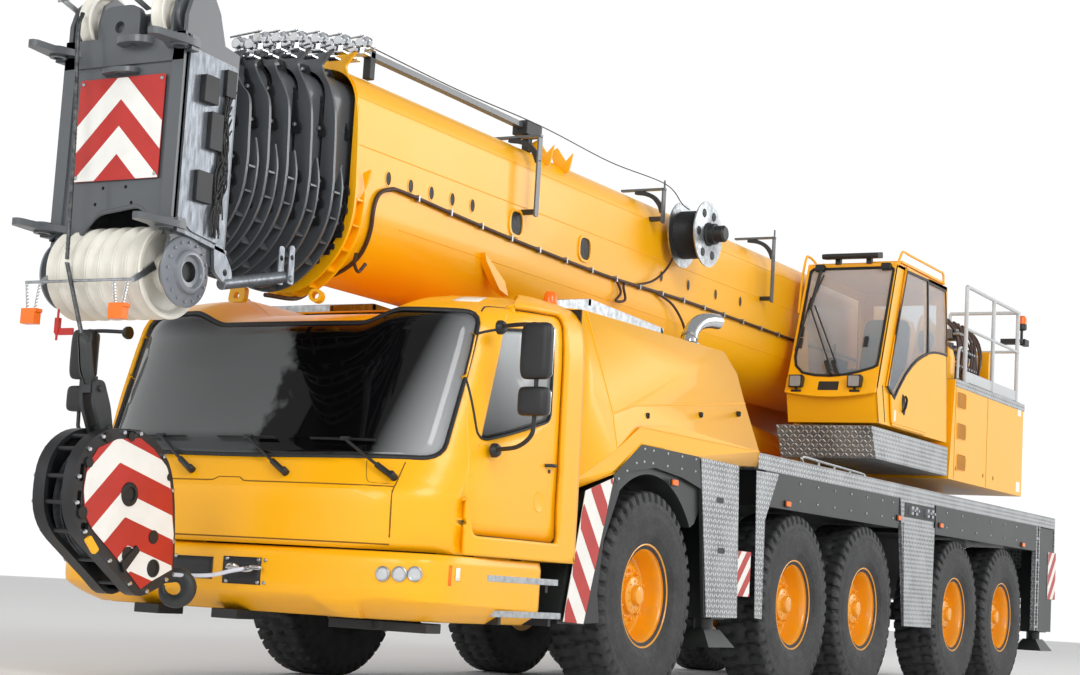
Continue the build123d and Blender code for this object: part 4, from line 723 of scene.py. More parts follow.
def dipScale(c, y):
    # How far the roof sinks at y: u u (3 - 2 u), where u falls from 1 in the middle to 0 at the
    # dip's edge
    outer = np.clip((c["dip"][1] - np.abs(y)) / (c["dip"][1] - c["dip"][0]), 0, 1)
    return outer * outer * (3 - 2 * outer)


def cabPoint(c, s, t, inward=0.0):
    # s runs -1 to 1 across the front and on to 2 along a side; t is the height before the roof's
    # dip. On the front y = s c W and x follows the superellipse; on the sides x = (2 - s) c A and y
    # follows it.
    s, t = np.asarray(s, float), np.asarray(t, float)
    n = c["squareness"]
    reach = smoothLine(t, c["heights"], c["fronts"]) - c["rearX"]
    half = smoothLine(t, c["levels"], c["halfWidths"], 0.008)
    size = np.abs(s)
    front = size <= 1
    corner = 0.5 ** (1 / n)
    acrossFront = np.where(front, size * corner, 1.0)
    alongSide = np.where(front, 1.0, corner * (2 - np.clip(size, 1, 2)))
    X = np.where(front, (1 - acrossFront ** n) ** (1 / n), alongSide)
    Y = np.where(front, acrossFront, (1 - np.clip(alongSide, 0, 1) ** n) ** (1 / n)) * np.sign(s)
    x = c["rearX"] + (reach - inward) * X - c["bow"] * Y * Y * X
    y = (half - inward) * Y
    low, drop = c["dip"][3], c["dip"][2]
    z = t - np.clip((t - low) / (roofTop - low), 0, 1) * drop * dipScale(c, y)
    return np.stack((x, y, z), -1)


def fromFront(c, loop):
    # (y, height) to (s, t)
    loop = np.asarray(loop, float)
    return np.stack((loop[:, 0] / smoothLine(loop[:, 1], c["levels"], c["halfWidths"], 0.008)
        / cornerShare, loop[:, 1]), 1)


def fromSide(c, loop):
    # (x, height) to (s, t), for the left side
    loop = np.asarray(loop, float)
    reach = smoothLine(loop[:, 1], c["heights"], c["fronts"]) - c["rearX"]
    X = np.clip((loop[:, 0] - c["rearX"]) / (reach - c["bow"]), 0, 1)
    return np.stack((2 - np.minimum(X / cornerShare, 1.0), loop[:, 1]), 1)


def dense(loop, most=0.05):
    # A closed loop with each run divided so that no step is longer than most
    loop = np.asarray(loop, float)
    nextOnes = np.roll(loop, -1, 0)
    count = int(np.ceil(np.linalg.norm(nextOnes - loop, axis=1).max() / most))
    share = np.linspace(0, 1, max(count, 1), endpoint=False)[None, :, None]
    return (loop[:, None] * (1 - share) + nextOnes[:, None] * share).reshape(-1, 2)


def cabPatch(c, grid):
    # The skin over a closed ring of grid points
    return surface(cabPoint(c, grid[..., 0], grid[..., 1]), True)


def makeCab(c):
    # Skin around the openings, roof = edge (1 - u) + middle of the rear edge u, rear wall at y = v
    # edge
    low, high = 0.925, roofTop
    split = 1.135
    screenLoop = fromFront(c, roundedLoop(c["screen"], c["screenRadius"]))
    doorLoop = fromSide(c, roundedLoop(c["door"], c["doorRadius"]))
    front = cabPatch(c, ringAbout(dense(screenLoop, 0.03), (-split, low), (split, high), 12,
        (0, 1.9)))
    side = cabPatch(c, ringAbout(dense(doorLoop, 0.02), (split, low), (2.0, high), 8, (1.55, 1.8)))
    # Roof: the top edge drawn in towards the middle of the rear edge
    s = np.linspace(-2, 2, 161)
    edge = cabPoint(c, s, np.full(161, high))
    share = np.linspace(0, 1, 24)[:, None, None]
    roof = edge[None] * (1 - share) + np.array((c["rearX"], 0, roofTop)) * share
    roof[..., 2] = roofTop - c["dip"][2] * dipScale(c, roof[..., 1])
    # Rear wall: each side edge point joined straight across
    t = np.linspace(low, high, 40)
    rearEdge = cabPoint(c, np.full(40, 2.0), t)
    across = np.linspace(1, -1, 41)[None, :, None]
    rearEdge = rearEdge[:, None]
    rear = rearEdge * np.array((1, 0, 0)) + np.array((0, 1, 0)) * across * rearEdge
    z = t[:, None] - np.clip((t[:, None] - c["dip"][3]) / (roofTop - c["dip"][3]), 0,
        1) * c["dip"][2] * dipScale(c, rear[..., 1])
    rear[..., 2] = z
    shell = joined(front, both(side), surface(roof), surface(rear))
    meshPiece("cabSkin", shell, "carrier", yellowEnamel, ("cab_shell",), smooth=28,
        wall=c["wall"])
    glass = surface(cabPoint(c, *np.moveaxis(discWithin(dense(screenLoop, 0.03), 14, (0, 1.95)), -1,
        0), 0.006), True)
    meshPiece("windscreen", glass, "carrier", screenGlass, ("cab_glass",),
        wall=0.006)
    edgeLine = cabPoint(c, *dense(screenLoop, 0.03).T)
    flat = circle((0, 0), 0.016, 10, 0.55)
    meshPiece("windscreenSeal", carried(flat, edgeLine, (1, 0, 0.3), True), "carrier", sealRubberAndShade)
    return doorLoop


def makeDoor(c, doorLoop, sideName, side):
    # On a ray from the pane's middle the skin's points lie at near (1 - u) + far u
    paneLoop = fromSide(c, roundedLoop(c["pane"], c["paneRadius"]))
    outer = dense(doorLoop, 0.02)
    middle = paneLoop.mean(0)
    # Rays from the pane's middle meet both loops: the door is what lies between them, 5 mm inside
    # its opening
    rays = np.linspace(-np.pi, np.pi, 160, endpoint=False)

    def reachOf(loop):
        # Distance r(angle) from the middle to a loop, with s stretched by 1.6 to match metres
        arm = (dense(loop, 0.01) - middle) * (1.6, 1)
        angle = np.arctan2(arm[:, 1], arm[:, 0])
        order = np.argsort(angle)
        return np.interp(rays, angle[order], np.linalg.norm(arm, axis=1)[order], period=2 * np.pi)

    near, far = reachOf(paneLoop), reachOf(outer) - 0.007
    share = np.linspace(0, 1, 9)[None, :]
    length = near[:, None] * (1 - share) + far[:, None] * share
    grid = middle + np.stack((np.cos(rays)[:, None] * length / 1.6, np.sin(rays)[:, None] * length),
        -1)
    skin = cabPoint(c, grid[..., 0], grid[..., 1])
    pane = cabPoint(c, *np.moveaxis(discWithin(grid[:, 0], 8, middle), -1, 0), 0.01)
    gap = cabPoint(c, *dense(doorLoop, 0.02).T, 0.012)
    rim = cabPoint(c, *grid[:, 0].T, 0.002)
    turn = (1, side, 1)
    meshPiece(f"doorSkin_{sideName}", surface(skin * turn, True), f"door_{sideName}", yellowEnamel,
        (f"door_{sideName}",), smooth=28, wall=0.028)
    meshPiece(f"doorPane_{sideName}", surface(pane * turn, True), f"door_{sideName}", doorGlass,
        wall=0.005)
    meshPiece(f"doorPaneSeal_{sideName}", tube(rim * turn, 0.009, 8, (0, 1, 0), True),
        f"door_{sideName}", sealRubberAndShade)
    meshPiece(f"doorFrameSeal_{sideName}", tube(gap * turn, 0.011, 8, (0, 1, 0), True), "carrier",
        sealRubberAndShade)


cabDoorLoop = makeCab(cab)
for sideName, side in sides:
    makeDoor(cab, cabDoorLoop, sideName, side)
print("road cab ready")

# Bumper: a bowed band with a tow recess and a lamp pocket on each side
bumper = {
    "rearX": 4.62,
    "heights": (0.51, 0.53, 0.6, 0.68, 0.8, 0.87, 0.9, 0.915),
    "fronts": (5.9, 5.96, 6.045, 6.066, 6.068, 6.064, 6.05, 6.01),
    "levels": (0.51, 0.56, 0.62, 0.87, 0.915),
    "halfWidths": (1.44, 1.485, 1.497, 1.499, 1.485),
    "squareness": 9.0,
    "bow": 0.1,
    "dip": (0.3, 1.2, 0.0, 2.0),
    "recess": oblong(-0.345, 0.345, 0.672, 0.838),
    "lamps": ((1.185, 0.782), (1.28, 0.787), (1.358, 0.792)),
    "lampRadius": 0.04,
}


def patchOn(c, sLow, sHigh, tLow, tHigh, lift=0.002, steps=10):
    # A strip that lies on the skin, stood off by lift
    gs, gt = np.meshgrid(np.linspace(sLow, sHigh, steps), np.linspace(tLow, tHigh, 4),
        indexing="ij")
    return surface(cabPoint(c, gs, gt, -lift))


def makeBumper(b):
    # The bowed skin with its facets, then the recess, studs, shackles and lamps set on it
    low, high = b["heights"][0], b["heights"][-1]
    gs, gt = np.meshgrid(np.linspace(-1.985, 1.985, 181), np.linspace(low, high, 41), indexing="ij")
    # Facets: the skin runs in below two lines, d = g (line - t), under the middle and under each
    # corner
    w = b["halfWidths"][3] * 0.5 ** (1 / b["squareness"])
    across = np.abs(gs) * w
    middle = np.interp(across, (0.0, 0.7, 0.86, 0.9), (0.635, 0.635, 0.52, 0.4))
    corner = np.interp(across, (0.0, 1.015, 1.025, 1.2, 1.32, 2.7), (0.4, 0.4, 0.625, 0.64, 0.635,
        0.6))
    inward = np.clip(middle - gt, 0, 1) * 0.9 + np.clip(corner - gt, 0, 1) * 0.75
    inward = np.minimum(inward, 0.1)
    meshPiece("bumperSkin", surface(cabPoint(b, gs, gt, inward)), "carrier", yellowEnamel,
        ("front_bumper",), smooth=24, wall=0.02)
    (y0, z0), (y1, _), (_, z1), _ = b["recess"]
    panels = [patchOn(b, y0 / w, -0.02 / w, z0 + 0.02, z1 - 0.01, 0.004), patchOn(b, 0.06 / w,
        y1 / w, z0, z1, 0.004)]
    meshPiece("towRecess", joined(*panels), "carrier", blackPlastic, wall=0.003)
    studs = [turned(((0, 0.01), (0.008, 0.009), (0.013, 0.0), (0, 0.0)), (1, 0, 0),
        cabPoint(b, y / w, z, -0.003), 14) for y in (y0 + 0.03, y1 + 0.028, y1 - 0.02,
        0.09) for z in (z0 + 0.015, z1 - 0.015)]
    meshPiece("recessBolts", joined(*studs), "carrier", galvanised)
    # Lamps: three round ones, a reflector strip and a corner marker
    bezels, lenses, bulbs = [], [], []
    for y, z in b["lamps"]:
        place = cabPoint(b, y / w, z, -0.001)
        ahead = np.array((1.0, max(0.0, 2.2 * (y - 1.1)), 0.0))
        r = b["lampRadius"]
        bezels.append(turned(((r - 0.003, 0.0), (r + 0.006, 0.0), (r + 0.006, 0.008), (r, 0.012),
            (r - 0.005, 0.01)), ahead, place, 40, True))
        lenses.append(turned(((0, 0.011), (r * 0.5, 0.01), (r * 0.85, 0.007), (r - 0.003, 0.003),
            (0, 0.003)), ahead, place, 40))
        bulbs.append(turned(((0, 0.0035), (r * 0.5, 0.0035), (r * 0.92, 0.0038), (r * 0.9, 0.001),
            (0, 0.001)), ahead, place, 32))
    meshPiece("lampBezels", both(joined(*bezels)), "carrier", galvanised)
    meshPiece("lampLenses", both(joined(*lenses)), "carrier", lampGlass)
    meshPiece("lampReflectors", both(joined(*bulbs)), "carrier", hardChrome)
    meshPiece("cornerReflectors", both(patchOn(b, 1.128, 1.146, 0.735, 0.855, 0.003)), "carrier",
        amberLens, wall=0.003)
    meshPiece("cornerMarkers", both(patchOn(b, 1.175, 1.205, 0.765, 0.845, 0.006)), "carrier",
        signWhite, wall=0.004)
    # Sling from the hook to the shackles on the tow plate
    sling = along(((6.5, 0.03, 0.705), (6.4, 0.07, 0.705), (6.28, 0.14, 0.715), (6.18, 0.2, 0.745),
        (6.115, 0.255, 0.765)), 8)
    meshPiece("towSling", tube(sling, 0.013, 10), "carrier", slingWhite)
    shackles = []
    for y, z, lean in ((0.16, 0.77, 0.6), (0.265, 0.765, -0.4), (0.33, 0.775, 0.2)):
        a_ = np.linspace(0, 2 * np.pi, 25)[:-1]
        ring = np.stack((6.095 + 0.03 * np.cos(a_) * math.cos(lean), y + 0.042 * np.sin(a_),
            z + 0.03 * np.cos(a_) * math.sin(lean)), 1)
        shackles.append(tube(np.concatenate((ring, ring[:1])), 0.009, 8, (1, 0, 0)))
        shackles.append(rod((6.1, y - 0.05, z), (6.1, y + 0.05, z), 0.009, 10))
    meshPiece("towShackles", joined(*shackles), "carrier", hardChrome)
    brackets = joined(*[slab((5.7, y - 0.1, 0.455), (5.95, y + 0.1, 0.515)) for y in (-0.62, 0.0)],
        *[slab((5.45, y - 0.16, 0.44), (5.62, y + 0.16, 0.5)) for y in (1.12, 0.72)])
    meshPiece("bumperBrackets", brackets, "carrier", blackPlastic, bevel=0.006)


makeBumper(bumper)

# Lines pressed or gapped into the cab: the front flap, its side seams and the door's slanting
# crease
trim = {
    "flapTop": 1.305,
    "flapLow": 0.958,
    "notch": (-0.1, 0.14, 0.022),
    "wipers": (-0.3, 0.41, 1.11),
    "seamY": 1.16,
    "seamRadius": 0.005,
    "grip": (4.72, 1.3),
}


def makeTrim(t, c):
    # Seams as thin tubes through points of the cab's skin
    y = np.linspace(-t["seamY"], t["seamY"], 60)
    top = np.stack((y, np.full(60, t["flapTop"])), 1)
    low = np.stack((y, np.full(60, t["flapLow"])), 1)
    z = np.linspace(1.0, 1.46, 16)
    edge = np.stack((np.full(16, t["seamY"]), z), 1)
    top[:, 1] += t["notch"][2] * np.clip(np.minimum(y - t["notch"][0], t["notch"][1] - y) / 0.02, 0,
        1)
    lines = [tube(cabPoint(c, *fromFront(c, line).T, 0.002), t["seamRadius"], 6) for line in (top,
        low)]
    upright = tube(cabPoint(c, *fromFront(c, edge).T, 0.002), t["seamRadius"], 6, (0, 1, 0))
    pressed = np.array(((0.93, 1.46), (0.955, 1.4), (0.99, 1.335), (1.04, 1.322), (1.15, 1.32)))
    hollow = tube(cabPoint(c, *fromFront(c, along(pressed, 5)).T, 0.003), 0.004, 6, (0, 1, 0))
    meshPiece("cabSeams", joined(*lines, both(upright), hollow), "carrier", seamShade)
    # Wipers: a capsule on the root, a tapering arm and a level blade above the pane's low edge
    arms, blades = [], []
    for y in t["wipers"]:
        root, knee, tip = (cabPoint(c, *fromFront(c, ((y + dy, z),)).T, -lift)[0] for dy, z,
            lift in ((0.0, 1.372, 0.03), (-0.17, 1.47, 0.04), (-0.37, 1.59, 0.034)))
        arms.append(tube(np.array((root + (0.01, 0.02, -0.008), root, root * 0.35 + knee * 0.65)),
            0.019, 12))
        arms.append(tube(along((root * 0.4 + knee * 0.6, knee, tip), 5), 0.01, 8))
        arms.append(turned(((0, 0.03), (0.018, 0.028), (0.024, 0.02), (0.024, -0.03), (0, -0.03)),
            (1, 0, 0.5), root + (-0.008, 0.004, 0), 20))
        v = np.linspace(-0.24, 0.2, 12)
        for lift, r, dz in ((0.012, 0.006, 0.0), (0.03, 0.0045, 0.004)):
            line = cabPoint(c, *fromFront(c, np.stack((y - 0.37 + v, 1.588 + dz + 0 * v), 1)).T,
                -lift)
            blades.append(tube(line, r, 6))
        blades.append(slab(tip - (0.02, 0.03, 0.01), tip + (0.004, 0.03, 0.014)))
    meshPiece("wipers", joined(*arms, *blades), "carrier", blackPlastic)
    # Dish for the door grip, and roof marker
    x, z = t["grip"]
    dish = turned(((0, 0.001), (0.05, 0.002), (0.062, 0.005), (0.068, 0.0), (0, 0.0)), (0, 1, 0),
        (x, 1.4985, z), 36)
    meshPiece("doorDishes", both(dish), "carrier", yellowEnamel)
    roofLamp = patchOn(c, 0.83, 0.95, 2.545, 2.6, 0.012, 5)
    meshPiece("roofMarker", roofLamp, "carrier", signWhite, wall=0.008)


makeTrim(trim, cab)


# Mirrors: two housings on a bent arm, on each door
mirror = {
    "x": 5.41,
    "y": 1.815,
    "arm": ((5.33, 1.5, 2.345), (5.36, 1.56, 2.35), (5.4, 1.74, 2.35), (5.405, 1.815, 2.32),
        (5.405, 1.82, 2.05), (5.405, 1.82, 1.75), (5.405, 1.8, 1.66), (5.38, 1.7, 1.6),
        (5.34, 1.56, 1.585), (5.31, 1.5, 1.58)),
    "armRadius": 0.014,
    "housings": ((2.185, 0.175, 0.105), (1.875, 0.09, 0.105)),
}


def signedPower(value, power):
    # sign(v) |v|^p
    return np.sign(value) * np.abs(value) ** power


def makeMirrors(m, sideName, side):
    # A housing is a squashed superellipsoid: |x|, |y| and |z| each follow cosines and sines to a
    # small power
    a = np.linspace(-np.pi / 2, np.pi / 2, 20)[:, None]
    b = np.linspace(0, 2 * np.pi, 40, endpoint=False)[None, :]

    shells, glasses = [], []
    for z, tall, wide in m["housings"]:
        x = m["x"] + 0.045 * signedPower(np.cos(a), 0.5) * signedPower(np.cos(b), 0.7)
        y = m["y"] + wide * signedPower(np.cos(a), 0.25) * signedPower(np.sin(b), 0.35)
        zz = z + tall * signedPower(np.sin(a), 0.45) + 0 * b
        shells.append(surface(np.stack((x + 0 * zz, y + 0 * zz, zz), -1), False, True))
        face = roundedLoop(oblong(m["y"] - wide * 0.88, m["y"] + wide * 0.88, z - tall * 0.9,
            z + tall * 0.9), 0.03)
        glasses.append(plate("x", m["x"] - 0.0475, m["x"] - 0.04, face))
    turn = np.array((1, side, 1))
    housing, glass = joined(*shells), joined(*glasses)
    arm = tube(along(m["arm"], 6), m["armRadius"], 12, (1, 0, 0.1))
    feet = joined(*[turned(((0, -0.012), (0.045, -0.012), (0.045, 0.01), (0.034, 0.03),
        (0.02, 0.036), (0, 0.036)), (0, 1, 0), m["arm"][i], 24) for i in (0, -1)])
    meshPiece(f"mirrorHousings_{sideName}", (housing[0] * turn, housing[1]), f"door_{sideName}",
        blackPlastic, smooth=60)
    meshPiece(f"mirrorGlass_{sideName}", (glass[0] * turn, glass[1]), f"door_{sideName}",
        hardChrome)
    meshPiece(f"mirrorArm_{sideName}", joined((arm[0] * turn, arm[1]), (feet[0] * turn, feet[1])),
        f"door_{sideName}", blackPlastic)


for sideName, side in sides:
    makeMirrors(mirror, sideName, side)
print("cab trim ready")

# Boom: thin nested tubes with a rounded top and a round underside, each with a double flange at its
# mouth. Metres.
boom = {
    "bottom": 2.69,
    "top": 4.03,
    "halfWidth": 0.48,
    "step": 0.036,
    "innerStep": 0.028,
    "lowRadius": 0.45,
    "topRadius": 0.24,
    "wall": 0.012,
    "baseRear": -5.45,
    "sectionRear": -5.04,
    "rearStep": 0.06,
    "fronts": (5.6, 5.84, 6.08, 6.3, 6.48, 6.66),
    "flange": ((0.0, 4.1), (0.28, 4.102), (0.446, 4.12), (0.396, 4.064), (0.373, 4.025),
        (0.403, 3.955), (0.444, 3.885), (0.477, 3.789), (0.499, 3.687), (0.512, 3.5),
        (0.518, 3.337), (0.522, 3.18), (0.5, 2.988), (0.434, 2.83), (0.33, 2.7), (0.2, 2.6),
        (0.1, 2.562), (0.0, 2.548)),
    "flangeThick": 0.022,
    "backFlange": ((0.505, 3.335), (0.526, 3.24), (0.532, 3.152), (0.512, 2.98), (0.442, 2.815),
        (0.336, 2.68), (0.205, 2.582), (0.1, 2.545), (0.0, 2.532)),
    "backOffset": 0.105,
    "narrowing": 0.0115,
    "falling": 0.052,
    "gussets": (0.02, -0.3, -0.62, -0.92, -1.22, -1.46),
    "padBolts": (((0.245, 3.984), (0.357, 3.798), (0.405, 3.588)), ((0.436, 3.219), (0.43, 3.1),
        (0.412, 2.99))),
    "padStep": (0.013, 0.03, 0.004),
}


def tubeLoop(b, number, inset=0.0):
    # Outline in (y, z), four arcs: y = cy + r cos a, z = cz + r sin a. Each section is smaller by
    # one step
    shrink = number * b["step"] + (b["innerStep"] if number else 0) + inset
    half, low, high = b["halfWidth"] - shrink, b["bottom"] + shrink, b["top"] - shrink
    lowRadius, topRadius = b["lowRadius"] - shrink, b["topRadius"] - shrink * 0.6
    a = np.linspace(0, np.pi / 2, 16)
    parts = []
    for cy, cz, r, start in ((half - topRadius, high - topRadius, topRadius, 0.0),
            (topRadius - half, high - topRadius, topRadius, np.pi / 2), (lowRadius - half,
            low + lowRadius, lowRadius, np.pi), (half - lowRadius, low + lowRadius, lowRadius,
            1.5 * np.pi)):
        parts.append(np.stack((cy + r * np.cos(a + start), cz + r * np.sin(a + start)), 1))
    return np.concatenate(parts)


def tubeShell(b, number, rear, front):
    # Outline carried along X: outside forwards, inside back
    outer, inner = tubeLoop(b, number), tubeLoop(b, number, b["wall"])
    xs = np.linspace(rear, front, 9)
    rings = [np.insert(outer, 0, x, axis=1) for x in xs] + [np.insert(inner, 0, x, axis=1)
        for x in xs[::-1]]
    return surface(np.array(rings), True, True)


def rayReach(loop, angles, middle):
    # Distance from the middle to a star-shaped loop: r(angle), linear between its points
    arm = np.asarray(loop, float) - middle
    own = np.arctan2(arm[:, 1], arm[:, 0])
    order = np.argsort(own)
    return np.interp(angles, own[order], np.linalg.norm(arm, axis=1)[order], period=2 * np.pi)


def flangeHalf(b, key, number):
    # y' = y - n dy; above z = 3.5 the outline sinks by n dz, in full at z = 3.9
    loop = np.asarray(b[key], float).copy()
    loop[:, 0] -= np.clip(loop[:, 0] * 10, 0, 1) * number * b["narrowing"]
    loop[:, 1] -= np.clip((loop[:, 1] - 3.5) / 0.4, 0, 1) * number * b["falling"]
    return loop


def smoothed(loop, keep):
    # Catmull-Rom through all points, in runs that end at the sharp ones
    runs, edges = [], [0, *keep, len(loop) - 1]
    for first, last in zip(edges[:-1], edges[1:]):
        run = loop[first:last + 1]
        runs.append(run[:-1] if len(run) < 3 else along(run, 4)[:-1])
    return np.concatenate((*runs, loop[-1:]))


def collarOf(b, number):
    # A section's mouth: the flange, the ring behind it and gussets at angle a, from the tube's r(a)
    # to the ring's
    front = b["fronts"][number]
    hole = tubeLoop(b, number, b["wall"])
    half = smoothed(flangeHalf(b, "flange", number), (1, 2, 3))
    whole = np.concatenate((half, (half * (-1, 1))[::-1][1:-1]))
    plates = [plate("x", front - b["flangeThick"], front, whole, (hole,))]
    rear = front - b["backOffset"]
    low = tubeLoop(b, number, 0.004)
    outer = along(flangeHalf(b, "backFlange", number), 4)
    middle = (0, 3.14)
    arms = outer - middle
    angles = np.arctan2(arms[:, 1], arms[:, 0])
    turns = np.stack((np.cos(angles), np.sin(angles)), 1)
    inner = turns * rayReach(low, angles, middle)[:, None] + middle
    shape = np.concatenate((outer, inner[::-1]))
    plates.append(plate("x", rear, rear + 0.016, shape))
    plates.append(plate("x", rear, rear + 0.016, (shape * (-1, 1))[::-1]))
    outerRing = np.concatenate((outer, outer * (-1, 1)))
    for angle in b["gussets"]:
        for turn in (1, -1):
            direction = np.array((np.cos(angle) * turn, np.sin(angle)))
            heading = np.arctan2(direction[1], direction[0])
            reachIn = rayReach(low, heading, middle) - 0.004
            reachOut = rayReach(outerRing, heading, middle) - 0.006
            side = np.array((-direction[1], direction[0])) * 0.006
            near, far = direction * reachIn, direction * reachOut
            outline = np.array((near - side, far - side, far + side, near + side)) + middle
            plates.append(plate("x", rear + 0.015, front - b["flangeThick"] + 0.001, outline))
    return joined(*plates)


def padsOf(b, number):
    # Black wear pads on the flange: round lobes about the bolts, joined by a narrow strip
    front = b["fronts"][number]
    dy, dzTop, dzLow = b["padStep"]
    pads, bolts = [], []
    for group, dz in zip(b["padBolts"], (dzTop, dzLow)):
        spots = np.array([(y - number * dy, z - number * dz) for y, z in group])
        path = along(spots, 6)
        out = np.gradient(path, axis=0)
        out = np.stack((-out[:, 1], out[:, 0]), 1) / np.linalg.norm(out, axis=1)[:, None]
        strip = np.concatenate((path + out * 0.022, (path - out * 0.045)[::-1]))
        pads.append(both(plate("x", front - 0.001, front + 0.016, strip)))
        for y, z in spots:
            lobe = roundedLoop(((y - 0.055, z + 0.045), (y + 0.022, z + 0.03),
                (y + 0.046, z - 0.02), (y + 0.04, z - 0.055), (y - 0.055, z - 0.05)), 0.024)
            pads.append(both(plate("x", front - 0.001, front + 0.018, lobe)))
            bolts.append(both(turned(((0, 0.036), (0.01, 0.036), (0.013, 0.032), (0.014, 0.018),
                (0, 0.018)), (1, 0, 0), (front, y, z), 6)))
    # Small blocks along the underside of the mouth
    low = tubeLoop(b, number, b["wall"])
    low = low[(low[:, 1] < 2.98) & (low[:, 0] > -0.001)]
    low = low[np.argsort(low[:, 0])]
    for share in np.linspace(0.05, 0.95, 7):
        y, z = low[int(share * (len(low) - 1))]
        arm = np.array((y, z - 3.14))
        arm /= np.linalg.norm(arm)
        y, z = np.array((y, z)) + arm * 0.006
        pads.append(both(plate("x", front - 0.001, front + 0.014, roundedLoop(
            np.array(((y, z),) * 4) + np.array(oblong(-0.03, 0.03, -0.02, 0.02)), 0.012)))
        )
    return joined(*pads), joined(*bolts)


for number in range(6):
    sectionBody = "boom" if number == 0 else f"section_{number + 1}"
    nodeName = "boom_base" if number == 0 else f"boom_section_{number + 1}"
    paint, slotName = (yellowEnamel, "yellow_paint") if number == 0 else (boomEnamel, "grey_paint")
    rear = boom["baseRear"] if number == 0 else boom["sectionRear"] + number * boom["rearStep"]
    meshPiece(f"boomTube_{number + 1}", tubeShell(boom, number, rear, boom["fronts"][number]
        - 0.012), sectionBody, paint, (nodeName,))
    meshPiece(f"boomCollar_{number + 1}", collarOf(boom, number), sectionBody, paint,
        bevel=0.003)
    pads, bolts = padsOf(boom, number)
    meshPiece(f"wearPads_{number + 1}", pads, sectionBody, blackPlastic,
        bevel=0.003)
    meshPiece(f"padBolts_{number + 1}", bolts, sectionBody, galvanised)
print("boom sections ready")

# What the first section carries: seams, bores, openings, hose, arms, reel, fin and foot plates.
# Metres.
boomSide = {
    "bores": ((5.18, 3.37), (4.91, 3.375), (4.65, 3.38), (4.38, 3.39), (4.11, 3.4), (1.05, 3.4),
        (0.52, 3.41), (-0.05, 3.42), (-0.59, 3.44), (-2.2, 3.44)),
    "openings": ((3.49, 3.39), (2.42, 3.39)),
    "seams": (((5.58, 3.83), (-5.4, 3.83)), ((5.58, 3.52), (-5.4, 3.56)),
        ((5.0, 3.06), (-5.4, 3.06))),
    "hose": ((5.84, 2.5), (5.5, 2.53), (5.34, 2.64), (5.3, 2.8), (5.33, 2.98), (5.35, 3.12),
        (5.3, 3.24), (5.18, 3.295), (5.03, 3.31), (4.39, 3.285), (3.8, 3.265), (3.19, 3.25),
        (2.14, 3.235), (1.4, 3.245), (0.66, 3.26), (-0.6, 3.26), (-1.81, 3.26), (-3.4, 3.28),
        (-4.6, 3.3)),
    "arms": ((3.4, 4.06, 3.45), (1.3, 4.09, 3.8), (-1.05, 4.11, 3.5)),
    "reel": (0.86, 3.78),
}


def sideY(b, z):
    # Outer half width of the first section at a height
    loop = tubeLoop(b, 0)
    loop = loop[loop[:, 0] > 0]
    loop = loop[np.argsort(loop[:, 1])]
    return np.interp(z, loop[:, 1], loop[:, 0])


